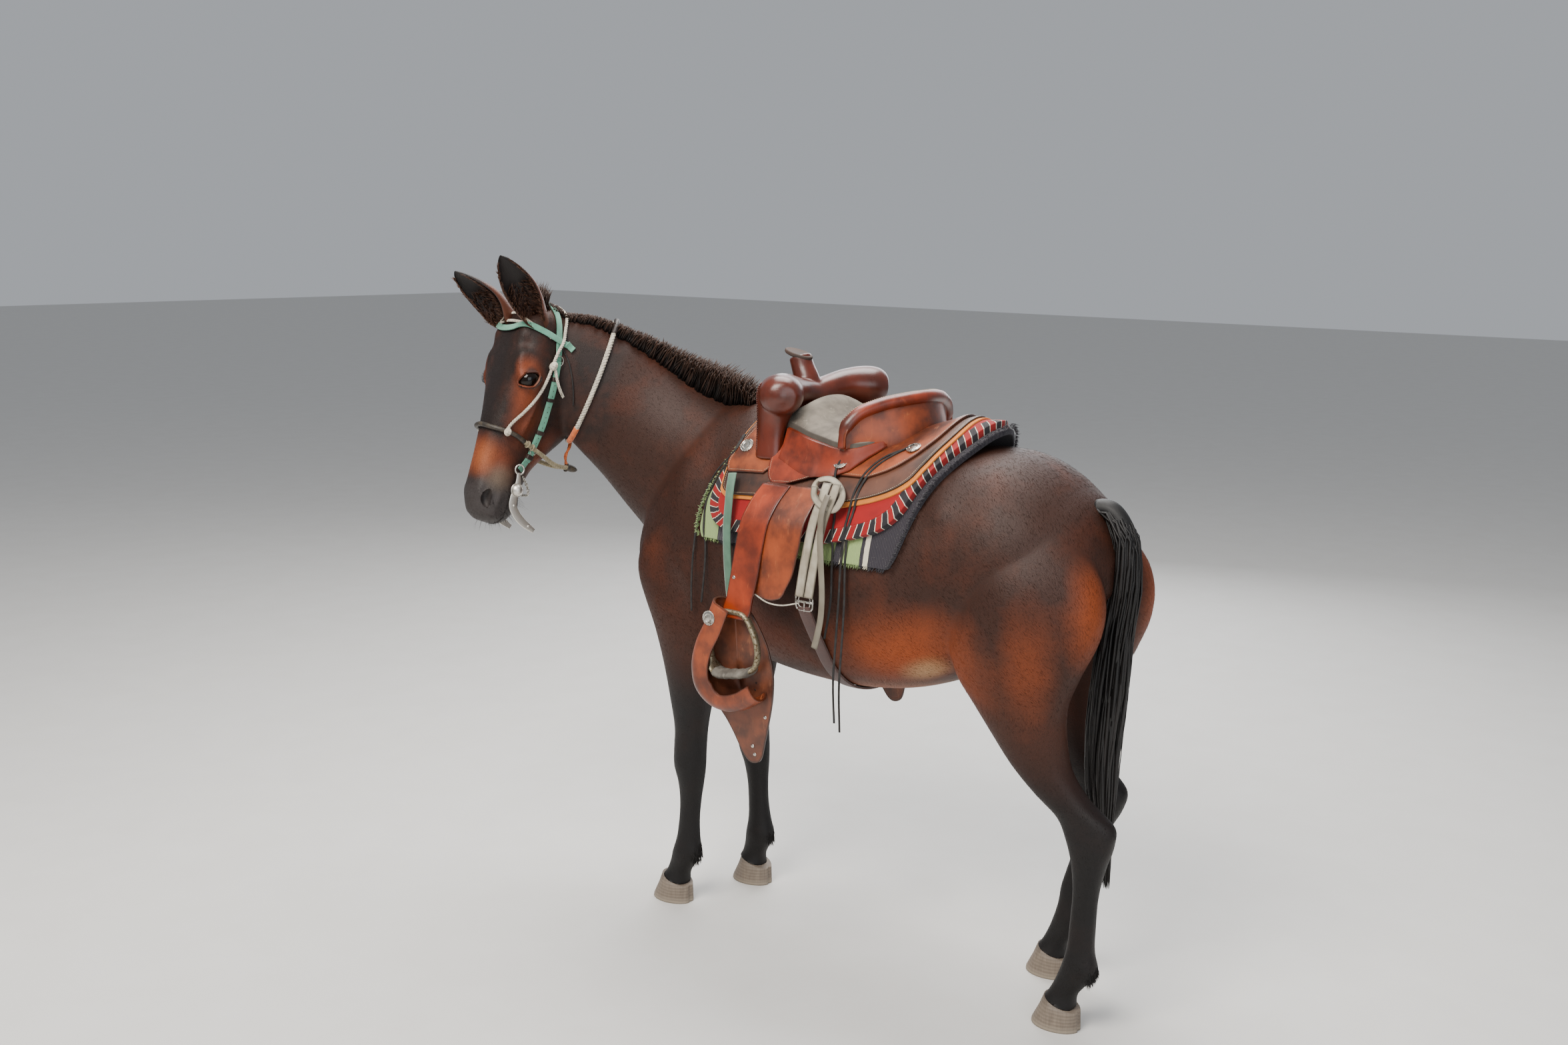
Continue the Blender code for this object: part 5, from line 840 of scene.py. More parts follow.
def tube(name, path, radius, look, sides=12, closed=False, squash=1.0, outs=None):
    """A round cord along close points. Attributes: along, in metres, and round, from 0 to 1."""
    path = np.asarray([tuple(p) for p in path], float)
    count = len(path)
    if closed:
        ahead = np.roll(path, -1, 0) - np.roll(path, 1, 0)
    else:
        ahead = np.gradient(path, axis=0)
    ahead /= np.linalg.norm(ahead, axis=1)[:, None]
    if outs is None:
        lead = np.array((0.13, 0.21, 0.97)) if not closed else None
        outs = np.tile(lead, (count, 1)) if lead is not None else path - path.mean(0)
    first = outs - (outs * ahead).sum(1)[:, None] * ahead
    first /= np.linalg.norm(first, axis=1)[:, None]
    second = np.cross(ahead, first)
    size = np.broadcast_to(np.asarray(radius, float), (count,))[:, None, None]
    turn = np.linspace(0, 2 * math.pi, sides, endpoint=False)[None, :, None]
    points = path[:, None] + size * (first[:, None] * np.cos(turn) * squash + second[:, None] * np.sin(turn))
    last = count if closed else count - 1
    i, k = np.meshgrid(np.arange(last), np.arange(sides), indexing="ij")
    a, b = i * sides, ((i + 1) % count) * sides
    j = (k + 1) % sides
    faces = np.stack([a + k, a + j, b + j, b + k], -1).reshape(-1, 4).tolist()
    if not closed:
        faces += [tuple(reversed(range(sides))), tuple((count - 1) * sides + s for s in range(sides))]
    made = mesh_object(name, points.reshape(-1, 3), faces, look)
    run = np.concatenate([[0], np.cumsum(np.linalg.norm(np.diff(path, axis=0), axis=1))])
    turn_share = np.abs(np.linspace(-1, 1, sides, endpoint=False))
    for word, values in (("along", np.repeat(run, sides)), ("round", np.tile(turn_share, count))):
        held = made.data.attributes.new(word, "FLOAT", "POINT")
        held.data.foreach_set("value", values.astype(np.float32))
    return made


def rope(name, path, radius, look, strands=3, pitch=0.030, closed=False, sides=8):
    """A laid rope: strands wound round one line."""
    path = np.asarray([tuple(p) for p in path], float)
    if closed:
        path = np.vstack([path, path[:1]])
    run = np.concatenate([[0], np.cumsum(np.linalg.norm(np.diff(path, axis=0), axis=1))])
    count = max(12, int(run[-1] / (pitch / 9)))
    fine = np.column_stack([np.interp(np.linspace(0, run[-1], count), run, path[:, k]) for k in range(3)])
    for _ in range(3):
        fine[1:-1] = (fine[:-2] + 2 * fine[1:-1] + fine[2:]) / 4
    lead = np.tile((0.13, 0.21, 0.97), (count, 1))
    _, first, second = side_vectors(fine, lead)
    turns = max(1, round(run[-1] / pitch)) if closed else run[-1] / pitch
    made = []
    for k in range(strands):
        angle = (2 * math.pi * (np.linspace(0, turns, count) + k / strands))[:, None]
        line = fine + (first * np.cos(angle) + second * np.sin(angle)) * radius * 0.48
        made.append(tube(f"{name} {k}", line, radius * 0.56, None, sides))
    return joined(name, made, look)


def dashes(name, paths, look, pitch=0.0052, length=0.0034, width=0.0009, lift=0.0004):
    """Rows of stitches. Each path: close points and the way out at each."""
    points, faces = [], []
    for path, outs in paths:
        path, outs = np.asarray(path, float), np.asarray(outs, float)
        run = np.concatenate([[0], np.cumsum(np.linalg.norm(np.diff(path, axis=0), axis=1))])
        for start in np.arange(0.002, run[-1] - length, pitch):
            ends = [np.array([np.interp(start + length * s, run, path[:, k]) for k in range(3)]) for s in (0, 0.5, 1)]
            out = np.array([np.interp(start, run, outs[:, k]) for k in range(3)])
            out /= np.linalg.norm(out) + 1e-9
            ahead = ends[2] - ends[0]
            ahead /= np.linalg.norm(ahead) + 1e-9
            across = np.cross(ahead, out) * width / 2
            base = len(points)
            for place, rise, wide in zip(ends, (-0.0002, lift + width * 0.6, -0.0002), (0.6, 1.0, 0.6)):
                points += [place - across * wide - out * 0.0004, place + across * wide - out * 0.0004]
                points += [place + across * wide * 0.7 + out * rise, place - across * wide * 0.7 + out * rise]
            for r in (base, base + 4):
                faces += [(r + s, r + (s + 1) % 4, r + 4 + (s + 1) % 4, r + 4 + s) for s in range(4)]
            faces += [(base + 3, base + 2, base + 1, base), (base + 8, base + 9, base + 10, base + 11)]
    return mesh_object(name, points, faces, look)


def grid_line(name, edge, inset=1, mirror=False, part=(0.0, 1.0)):
    """A line a margin inside one edge of a sheet, with the ways out: first, last, left or right."""
    grid = GRIDS[name]
    normal = np.cross(np.gradient(grid, axis=0), np.gradient(grid, axis=1))
    normal /= np.linalg.norm(normal, axis=2)[:, :, None] + 1e-12
    pick = {"first": (inset, slice(1, -1)), "last": (-1 - inset, slice(1, -1)),
            "left": (slice(1, -1), inset), "right": (slice(1, -1), -1 - inset)}[edge]
    path, outs = grid[pick], normal[pick]
    a, b = int(part[0] * (len(path) - 1)), int(part[1] * (len(path) - 1)) + 1
    path, outs = path[a:b], outs[a:b]
    if outs[:, 0].mean() * path[:, 0].mean() < 0 or (abs(path[:, 0].mean()) < 0.03 and outs[:, 2].mean() < 0):
        outs = -outs
    if mirror:
        path, outs = path * (-1, 1, 1), outs * (-1, 1, 1)
    return path, outs


def mirrored(source, name):
    made = source.copy()
    made.data = source.data.copy()
    made.name = name
    made.data.name = name
    bpy.context.scene.collection.objects.link(made)
    made.data.transform(Matrix.Diagonal((-1.0, 1.0, 1.0, 1.0)))
    made.data.flip_normals()
    return made


# Hair

def unwrap(points):
    """A flat place from 0 to 1 for places on the skin: the head, the trunk and each leg unrolled in a block."""
    points = np.asarray(points, float).reshape(-1, 3)
    local = points @ np.asarray(TO_HEAD)[:3, :3].T + np.asarray(TO_HEAD)[:3, 3]
    flat = np.empty((len(points), 2))
    round_body = np.arctan2(points[:, 0], points[:, 2] - 1.05) / (2 * math.pi) + 0.5
    flat[:, 0] = 0.34 + 0.62 * np.clip((points[:, 1] + 0.95) / 1.75, 0, 1)
    flat[:, 1] = 0.02 + 0.94 * round_body
    leg = points[:, 2] < 0.72
    turn = np.arctan2(np.abs(points[:, 0]) - 0.12, points[:, 1] - np.where(points[:, 1] < 0.1, -0.45, 0.68))
    block = np.where(points[:, 1] < 0.1, 0, 1) * 2 + np.where(points[:, 0] < 0, 1, 0)
    flat[leg, 0] = (0.01 + 0.075 * block + 0.06 * (turn / (2 * math.pi) + 0.5))[leg]
    flat[leg, 1] = (0.52 + 0.46 * np.clip(points[:, 2] / 0.75, 0, 1))[leg]
    on_face = (local[:, 0] > -0.08) & (local[:, 1] > -0.30) & (np.abs(local[:, 2]) < 0.17) & (points[:, 2] > 0.9)
    spin = np.arctan2(local[:, 2], local[:, 1] + 0.09) / (2 * math.pi) + 0.5
    flat[on_face, 0] = (0.01 + 0.30 * np.clip((local[:, 0] + 0.08) / 0.68, 0, 1))[on_face]
    flat[on_face, 1] = (0.02 + 0.46 * spin)[on_face]
    return flat


def hair(name, paths, outs, widths, thick, look, tones=None, size=0.003):
    """Closed tapered locks, all made at once. paths and outs: lock, step, xyz. widths: step, or lock and step."""
    paths, outs = np.asarray(paths, float), np.asarray(outs, float)
    count, long = paths.shape[:2]
    widths = np.broadcast_to(np.asarray(widths, float), (count, long))[:, :, None]
    thick = np.broadcast_to(np.asarray(thick, float), (count, long))[:, :, None]
    ahead = np.gradient(paths, axis=1)
    ahead /= np.linalg.norm(ahead, axis=2)[:, :, None] + 1e-12
    outs = outs - (outs * ahead).sum(2)[:, :, None] * ahead
    outs /= np.linalg.norm(outs, axis=2)[:, :, None] + 1e-12
    across = np.cross(ahead, outs)
    corners = [paths - across * widths / 2, paths + outs * thick, paths + across * widths / 2]
    rings = np.stack(corners, 2)[:, :-1].reshape(count, -1, 3)
    points = np.concatenate([rings, paths[:, -1:]], 1)
    each = points.shape[1]
    faces, flat_faces = [], long - 2
    for i in range(flat_faces):
        for k in range(3):
            a, b = 3 * i + k, 3 * i + (k + 1) % 3
            faces += [(a, b, b + 3), (a, b + 3, a + 3)]
    for k in range(3):
        faces.append((3 * flat_faces + k, 3 * flat_faces + (k + 1) % 3, each - 1))
    faces.append((2, 1, 0))
    faces = np.asarray(faces, np.int32)
    corner = (faces[None] + (np.arange(count) * each)[:, None, None]).reshape(-1)
    mesh = bpy.data.meshes.new(name)
    mesh.vertices.add(count * each)
    mesh.vertices.foreach_set("co", points.reshape(-1))
    mesh.loops.add(len(corner))
    mesh.loops.foreach_set("vertex_index", corner)
    mesh.polygons.add(len(corner) // 3)
    mesh.polygons.foreach_set("loop_start", np.arange(0, len(corner), 3, dtype=np.int32))
    mesh.polygons.foreach_set("use_smooth", np.full(len(corner) // 3, True))
    mesh.update(calc_edges=True)
    along = np.concatenate([np.repeat(np.arange(long - 1), 3), [long - 1]]) / (long - 1)
    tones = np.zeros(count) if tones is None else tones
    for word, values in (("along", np.tile(along, count)), ("tone", np.repeat(tones, each))):
        held = mesh.attributes.new(word, "FLOAT", "POINT")
        held.data.foreach_set("value", values.astype(np.float32))
    root = unwrap(paths[:, 0])
    side = np.concatenate([np.tile((-0.5, 0.0, 0.5), long - 1), [0.0]])
    patch = root[:, None] + np.stack([side, along - 0.5], 1)[None] * size
    layer = mesh.uv_layers.new(name="OFBake")
    layer.data.foreach_set("uv", patch.reshape(-1, 2)[corner].reshape(-1).astype(np.float32))
    made = link(name, mesh, look)
    return made


def scattered(skin_points, triangles, count, chance, keep):
    """Random places on a skin, by area, with the way out at each; only where keep says so."""
    a, b, c = (skin_points[triangles[:, k]] for k in range(3))
    cross = np.cross(b - a, c - a)
    area = np.linalg.norm(cross, axis=1)
    good = keep((a + b + c) / 3)
    share = np.where(good, area, 0.0)
    pick = chance.choice(len(triangles), count, p=share / share.sum())
    u, v = chance.random(count), chance.random(count)
    over = u + v > 1
    u[over], v[over] = 1 - u[over], 1 - v[over]
    spots = a[pick] + u[:, None] * (b - a)[pick] + v[:, None] * (c - a)[pick]
    return spots, cross[pick] / area[pick][:, None]


# Finishes

def coat_look(name, hairy=False):
    """The bay coat: black legs, tan flanks, eye surrounds and muzzle, over a nearly black brown, with a painted sheen
    on the croup and the base of the neck.
    """
    look = Finish(name, roughness=0.44, specular_ior_level=0.30)
    mule = look.vector("SUBTRACT", look.place, tuple(SHIFT))
    parts = look.node("ShaderNodeSeparateXYZ", None, {0: mule})
    x, y, z = (Number(look, parts.outputs[k]) for k in range(3))
    pair = look.node("ShaderNodeCombineXYZ", None, {0: x.size(), 1: y, 2: z}).outputs[0]
    away = look.vector("SUBTRACT", mule, tuple(POLL))
    run, out, side = (look.dot(away, HEAD.col[k][:3]) for k in range(3))
    face = look.node("ShaderNodeCombineXYZ", None, {0: run, 1: out, 2: side.size()}).outputs[0]
    drift = look.noise(9.0, 3.0) - 0.5
    fine = look.noise(42.0, 4.0) - 0.5

    def on_body(centre, radii, soft=1.0):
        return look.blob(centre, radii, soft, pair)

    def on_face(centre, radii, soft=1.0):
        return look.blob(centre, radii, soft, face)

    dark, black = rgb(31, 17, 12), rgb(13, 9, 9)
    brown, tan, buff = rgb(68, 32, 15), rgb(150, 66, 19), rgb(178, 120, 70)
    flank = on_body((0.25, 0.30, 0.84), (0.16, 0.30, 0.20))
    flank = flank.larger(on_body((0.10, 0.20, 0.70), (0.22, 0.42, 0.10)))
    flank = flank.larger(on_body((0.17, 0.76, 1.02), (0.10, 0.13, 0.24)) * 0.9)
    flank = flank.larger(on_body((0.22, 0.60, 0.90), (0.10, 0.10, 0.20)) * 0.45)
    flank = flank.larger(on_body((0.24, -0.16, 0.82), (0.12, 0.22, 0.16)) * 0.55)
    flank = flank.larger(on_body((0.20, -0.52, 0.98), (0.10, 0.08, 0.16)) * 0.08)
    body = look.mix((z.between(0.66, 1.02) * 0.55 + drift * 0.5).clamped(), brown, dark)
    body = look.mix(((flank + drift * 0.55) * 1.1).clamped(), body, tan)
    under = on_body((0.05, 0.24, 0.72), (0.22, 0.34, 0.10)) * (0.5 - drift)
    under = under.larger(on_body((0.20, 0.345, 0.80), (0.07, 0.08, 0.09)))
    body = look.mix(under.clamped(), body, buff)
    body = look.mix(on_body((0.20, 0.330, 0.800), (0.07, 0.10, 0.075)) * 0.8, body, rgb(206, 172, 126))
    # Painted sheen: a greyish lighter tone on the top of the croup and the base of the neck stands in for the glossy
    # coat's highlight.
    painted_sheen = on_body((0.18, 0.50, 1.22), (0.20, 0.26, 0.26)).larger(on_body((0.14, -0.60, 1.22), (0.12, 0.20, 0.2)))
    body = look.mix((painted_sheen * 0.3 * (1 + drift * 1.6)).clamped(), body, rgb(58, 40, 33))
    crest = on_body((0.0, 0.45, 1.38), (0.07, 0.4, 0.06)) * 0.6
    body = look.mix(crest, body, black)
    fore = 1 - z.between(0.56, 0.86)
    hind = 1 - z.between(0.50, 0.80)
    back_half = y.between(0.05, 0.15)
    leg = fore * (1 - back_half) + hind * back_half
    body = look.mix((leg + drift * 0.4 * leg).clamped(), body, black)
    eye = on_face((0.195, -0.045, 0.095), (0.095, 0.060, 0.075))
    cheek = on_face((0.270, -0.070, 0.065), (0.12, 0.07, 0.05)).larger(on_face((0.150, -0.015, 0.100), (0.05, 0.05, 0.04)))
    nose = on_face((0.400, -0.030, 0.0), (0.085, 0.10, 0.12), 0.95)
    jaw = on_face((0.350, -0.165, 0.03), (0.12, 0.06, 0.06))
    warm = (eye * 1.2 + cheek).larger(nose * 1.1).larger(jaw * 0.8)
    stripe = (1 - side.size().between(0.018, 0.052)) * out.between(-0.05, 0.0) * (1 - run.between(0.30, 0.34))
    face_tone = look.mix((warm + drift * 0.8 + fine * 0.3).clamped(), rgb(36, 22, 17), rgb(126, 58, 28))
    face_tone = look.mix((stripe * 0.85).clamped(), face_tone, rgb(31, 22, 20))
    jowl = on_face((0.130, -0.185, 0.085), (0.12, 0.10, 0.07))
    face_tone = look.mix((jowl * 0.9).clamped(), face_tone, rgb(28, 17, 13))
    grey = on_face((0.510, -0.080, 0.0), (0.085, 0.14, 0.16), 0.7)
    face_tone = look.mix((grey * 1.3 + fine * 0.5).clamped(), face_tone, rgb(60, 54, 53))
    pale = on_face((0.440, -0.062, 0.050), (0.055, 0.055, 0.045))
    face_tone = look.mix((pale * 0.62 + fine * 0.3 * pale).clamped(), face_tone, rgb(124, 108, 92))
    bridge = on_face((0.400, -0.010, 0.030), (0.07, 0.045, 0.06)) * 0.6
    face_tone = look.mix(bridge, face_tone, rgb(164, 92, 50))
    lips = on_face((0.545, -0.110, 0.0), (0.05, 0.05, 0.06)).larger(on_face((0.503, -0.050, 0.062), (0.036, 0.024, 0.03)))
    face_tone = look.mix((lips * 0.9).clamped(), face_tone, rgb(32, 26, 27))
    lower_lid = on_face((0.178, -0.060, 0.100), (0.030, 0.013, 0.03))
    face_tone = look.mix(lower_lid * 0.55, face_tone, rgb(128, 112, 100))
    rim = on_face((0.168, -0.036, 0.100), (0.036, 0.026, 0.05), 0.5)
    face_tone = look.mix((rim * 0.8 - lower_lid).clamped(), face_tone, rgb(18, 12, 11))
    near_head = run.between(-0.03, 0.05) * out.between(-0.30, -0.24) * z.between(0.95, 1.0)
    near_head = near_head * (1 - side.size().between(0.16, 0.19))
    tone = look.mix(near_head, body, face_tone)
    grain = look.noise(520.0, 2.0, (1.0, 0.45, 0.6), 0.6)
    tone = look.mix((grain - 0.5) * 1.1 + 0.5, tone, look.mix(0.5, tone, (0.0, 0.0, 0.0)), "MIX")
    if hairy:
        lift = look.attribute("tone")
        tone = look.mix(lift.clamped(), tone, look.mix(0.09, tone, rgb(140, 96, 66)))
    look.colour(tone)
    look.roughness(0.50 + grain * 0.16 + drift * 0.12)
    look.bump(look.noise(620.0, 2.0, (1.0, 0.35, 0.55)), 0.0012, 0.55)
    look.bump(look.noise(46.0, 3.0), 0.0012, 0.3)
    return look


def hair_look(name, root, tip, rough=0.55):
    """Coarse hair, darker at the root."""
    look = Finish(name, roughness=rough, specular_ior_level=0.4)
    share = (look.attribute("along") + look.attribute("tone") + (look.noise(60.0, 3.0) - 0.5) * 0.5).clamped()
    look.colour(look.mix(share, root, tip))
    look.bump(look.noise(1400.0, 2.0, (1.0, 1.0, 0.12)), 0.0008, 0.5)
    return look


def leather_look(name, base, dark, worn, roughness=0.42, rim=False, coat=0.15, scuffs=0.5):
    """Worn leather: blotched colour, pale scuffs, fine grain and a darker burnished edge."""
    look = Finish(name, roughness=roughness, coat_weight=coat, coat_roughness=0.3)
    cloud = look.noise(14.0, 4.0)
    tone = look.mix(cloud.between(0.30, 0.72), dark, base)
    scratch = look.noise(30.0, 5.0, (1.0, 2.2, 0.5), 0.7, 1.2).between(0.58, 0.74)
    tone = look.mix(scratch * scuffs, tone, worn)
    rough = roughness + scratch * 0.2 + (cloud - 0.5) * 0.12
    if rim:
        edge = 1 - look.attribute("rim").between(0.0008, 0.0045)
        tone = look.mix(edge * 0.75, tone, look.mix(0.65, dark, (0.01, 0.006, 0.004)))
        rough = rough - edge * 0.1
        groove = look.attribute("rim")
        line = groove.between(0.0045, 0.0052) * (1 - groove.between(0.0056, 0.0063))
        look.bump(1 - line, 0.0006, 0.6)
    look.colour(tone)
    look.roughness(rough)
    look.bump(look.cells(900.0), 0.00025, 0.35)
    look.bump(look.noise(120.0, 5.0), 0.0007, 0.4)
    return look


def metal_look(name, tone, dirt, roughness=0.35, clean=0.45):
    look = Finish(name, roughness=roughness, metallic=1.0)
    grime = look.noise(160.0, 5.0).between(clean, clean + 0.23)
    look.colour(look.mix(grime, tone, dirt))
    look.roughness(roughness + grime * 0.3)
    look.bump(look.noise(500.0, 3.0), 0.0003, 0.4)
    return look


def cloth_look(name, tone, second, pitch=0.0016, rough=0.9, depth=0.0006):
    """Woven webbing or felt, by the piece's own along and across distances."""
    look = Finish(name, roughness=rough, sheen_weight=0.25, sheen_roughness=0.5)
    weave = (look.attribute("over") * (6.2832 / pitch)).wave() * (look.attribute("down") * (6.2832 / pitch)).wave()
    blotch = look.noise(35.0, 4.0)
    shade = look.mix((blotch.between(0.35, 0.7) * 0.5 + weave * 0.18).clamped(), tone, second)
    look.colour(shade)
    look.bump(weave * 0.5 + look.noise(900.0, 2.0) * 0.5, depth, 0.7)
    return look


def cord_look(name, tone, second, pitch=0.012, ply=3.0, rough=0.85, sides=2.0):
    """A laid cord: strands that wind round it, by its along and round attributes."""
    look = Finish(name, roughness=rough, sheen_weight=0.15)
    wind = (look.attribute("along") * (1 / pitch) + look.attribute("round") * (0.5 * sides)).part()
    ridge = (wind - 0.5).size() * 2
    grime = look.noise(90.0, 4.0).between(0.42, 0.70)
    look.colour(look.mix(((1 - ridge) * 0.30 + grime * 0.55).clamped(), tone, second))
    look.bump(1 - ridge * ridge + look.noise(1500.0, 2.0) * 0.3, 0.0011, 0.8)
    return look


def plain_cord_look(name, tone, second, rough=0.8):
    look = Finish(name, roughness=rough)
    grime = look.noise(70.0, 4.0).between(0.4, 0.7)
    look.colour(look.mix(grime, tone, second))
    look.bump(look.noise(1100.0, 3.0), 0.0006, 0.6)
    return look


def felt_look():
    """Red felt with a slanted red, charcoal and white striped binding on its edge."""
    look = Finish("red felt with striped binding", roughness=0.92, sheen_weight=0.1, sheen_roughness=0.5)
    rim = look.attribute("rim")
    step = ((look.attribute("edge") + rim * 0.55) * (1 / 0.039)).part()
    white, char, red = rgb(206, 196, 176), rgb(26, 22, 26), rgb(132, 2, 3)
    stripes = look.ramp(step, ((0.0, red), (0.44, red), (0.445, white), (0.495, white),
                               (0.50, char), (0.935, char), (0.94, white), (1.0, white)))
    look.tree.nodes[-1].color_ramp.interpolation = "CONSTANT"
    band = 1 - rim.between(0.030, 0.0315)
    dust = look.noise(22.0, 4.0).between(0.45, 0.75)
    field = look.mix(dust * 0.35, rgb(142, 1, 2), rgb(96, 4, 6))
    look.colour(look.mix(band, field, stripes))
    ridge = (step * 10.0).part().size()
    look.bump(look.noise(700.0, 3.0) + band * ridge * 0.15, 0.0010, 0.7)
    seam = rim.between(0.027, 0.030) * (1 - rim.between(0.030, 0.033))
    look.bump(1 - seam, 0.0012, 0.7)
    return look


def blanket_look():
    """A charcoal wool blanket with light green and white cross bands, faded and fuzzy."""
    look = Finish("striped wool blanket", roughness=0.95, sheen_weight=0.12, sheen_roughness=0.6)
    mule = look.vector("SUBTRACT", look.place, tuple(SHIFT))
    y = Number(look, look.node("ShaderNodeSeparateXYZ", None, {0: mule}).outputs[1])
    char, green, white = rgb(34, 29, 38), rgb(136, 158, 98), rgb(204, 196, 174)
    wobble = (look.noise(30.0, 2.0) - 0.5) * 0.006
    share = (y + wobble).math("MULTIPLY_ADD", 1 / 0.8, 0.5)
    stops = [(0.0, green)]
    for at, tone in ((-0.285, char), (-0.262, white), (-0.250, char), (-0.195, green), (-0.110, char), (-0.094, white),
                     (-0.084, char), (-0.060, green), (0.105, char), (0.122, white), (0.131, green), (0.176, char),
                     (0.186, white), (0.198, char)):
        stops.append((0.5 + at / 0.8, tone))
    stops.append((1.0, char))
    bands = look.ramp(share, stops)
    look.tree.nodes[-1].color_ramp.interpolation = "CONSTANT"
    fleck = look.noise(420.0, 3.0).between(0.66, 0.74)
    look.colour(look.mix(fleck * 0.5, bands, rgb(190, 184, 170)))
    rib = (y * (6.2832 / 0.0042)).wave()
    look.bump(rib * 0.4 + look.noise(650.0, 3.0), 0.0016, 0.8)
    return look


def horn_look():
    """Hoof horn with growth rings, darker at the coronet and chipped pale at the ground."""
    look = Finish("hoof horn", roughness=0.62)
    parts = look.node("ShaderNodeSeparateXYZ", None, {0: look.place})
    z = Number(look, parts.outputs[2])
    rings = ((z + (look.noise(30.0, 2.0) - 0.5) * 0.004) * (6.2832 / 0.0085)).wave()
    streak = look.noise(220.0, 3.0, (1.0, 1.0, 0.08))
    tone = look.mix(streak, rgb(92, 80, 70), rgb(140, 126, 110))
    tone = look.mix(z.between(0.045, 0.09) * 0.6, tone, rgb(52, 44, 40))
    tone = look.mix((1 - z.between(0.004, 0.02)) * 0.5, tone, rgb(160, 148, 130))
    look.colour(look.mix(rings * 0.12 + 0.12, tone, rgb(60, 52, 46)))
    look.bump(rings * 0.4 + streak, 0.0010, 0.5)
    return look


def eye_look(side):
    """A wet dark eye: brown iris with a level dark pupil."""
    look = Finish("eye " + ("left" if side > 0 else "right"), roughness=0.1, specular_ior_level=0.3)
    centre = eye_place(side) + SHIFT
    turn = eye_turn(side)
    away = look.vector("SUBTRACT", look.place, tuple(centre))
    x, y, z = (look.dot(away, turn.col[k][:3]) for k in range(3))
    far = ((x * x) * 0.55 + (y * y) * 1.9) ** 0.5
    iris = 1 - ((x * x + y * y) ** 0.5).between(0.0155, 0.0175)
    tone = look.mix(iris, rgb(20, 13, 10), rgb(14, 7, 4))
    look.colour(look.mix(1 - far.between(0.0065, 0.0085), tone, (0.002, 0.0015, 0.0015)))
    return look


# Putting a piece in the frame

def placed(piece, slot, *nodes):
    """Shifts a finished piece into the shared frame, hangs it under the root and hides the imported parts it stands
    for; the slot is not used.
    """
    piece.data.transform(Matrix.Translation(SHIFT))
    piece.name = piece.name.replace(" ", "_")
    piece.matrix_world = Matrix.Identity(4)
    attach(piece, "root")
    if nodes:
        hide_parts(*nodes)
    return piece


# The animal

HOOVES = {
    "front_left": (-0.556, -0.456, STANCE_X),
    "front_right": (-0.456, -0.356, -STANCE_X),
    "hind_left": (0.626, 0.724, STANCE_X),
    "hind_right": (0.491, 0.589, -STANCE_X),
}


def coronet(toe, heel, x):
    return Vector((x, toe, 0.078)), Vector((0.0, 0.030, heel - toe)).normalized()


def cut_away(made, place, normal, near=None):
    """Cuts by a plane and keeps what the normal points to. near limits the cut to a box round a place."""
    shape = bmesh.new()
    shape.from_mesh(made.data)
    if near is None:
        faces = shape.faces[:]
    else:
        spot, reach = near
        faces = [f for f in shape.faces if (f.calc_center_median() - spot).length < reach]
    edges = {e for f in faces for e in f.edges}
    verts = {v for f in faces for v in f.verts}
    geometry = list(verts) + list(edges) + faces
    cut = bmesh.ops.bisect_plane(shape, geom=geometry, dist=1e-7, plane_co=place, plane_no=normal, clear_inner=True)
    rim = [e for e in cut["geom_cut"] if isinstance(e, bmesh.types.BMEdge) and e.is_valid and e.is_boundary]
    bmesh.ops.holes_fill(shape, edges=rim, sides=0)
    flat = [f for f in shape.faces if len(f.verts) > 4]
    for face in flat:
        face.smooth = False
    shape.to_mesh(made.data)
    shape.free()
    return made


def cut_out(made, cutter):
    """The object less the cutter, which is then removed."""
    shaped(made, "BOOLEAN", operation="DIFFERENCE", object=cutter, solver="EXACT")
    bpy.data.objects.remove(cutter)
    return made


def almond(count, size=1.0):
    """The opening between the lids, in the eye's own axes."""
    outline = []
    for k in range(count):
        angle = 2 * math.pi * k / count
        high = 0.0222 if math.sin(angle) > 0 else 0.0188
        x = 0.0306 * size * math.cos(angle)
        y = high * size * math.sin(angle) * (1 - 0.28 * abs(math.cos(angle)))
        outline.append((x, y - 0.10 * x))
    return outline


def eye_hollow(side):
    turn = eye_turn(side).to_3x3()
    rings = []
    for far, size in ((-0.004, 0.85), (0.012, 1.0), (0.022, 1.04), (0.045, 1.5)):
        rings.append([eye_place(side) + turn @ Vector((x, y, far)) for x, y in almond(36, size)])
    return lofted("almond", rings)


def nostril_hollow(side):
    turn = turn_to(head_way(0.15, 0.25, side * 0.95), head_way(1.0, -0.16, 0.0))
    made = ball("nostril", (0, 0, 0), (0.0255, 0.0135, 0.026), None, 40, 24)
    points = point_array(made.data)
    points[:, 1] += 9.0 * points[:, 0] ** 2 - 0.002
    set_points(made, points)
    made.data.transform(Matrix.Translation(on_head(0.504, -0.044, side * 0.057)) @ turn)
    return made


def mouth_line(count):
    half = ((0.448, -0.124, 0.050), (0.480, -0.118, 0.055), (0.508, -0.112, 0.050), (0.534, -0.107, 0.036), (0.552, -0.104, 0.018))
    line = [on_head(a, b, c) for a, b, c in half] + [on_head(0.562, -0.102, 0.0)]
    line += [on_head(a, b, -c) for a, b, c in half[::-1]]
    return along_points(line, count)


def mouth_cut(hide):
    """A thin blade round the lips, from one corner of the mouth to the other."""
    rings = []
    line = mouth_line(41)
    for i, place in enumerate(line):
        spot, normal = hide.near(place, 0.0)
        ahead = Vector(line[min(i + 1, 40)] - line[max(i - 1, 0)]).normalized()
        across = ahead.cross(normal).normalized()
        deep, out = spot - normal * 0.009, spot + normal * 0.010
        rings.append([deep - across * 0.0003, out - across * 0.0022, out + across * 0.0022, deep + across * 0.0003])
    return lofted("mouth", rings)


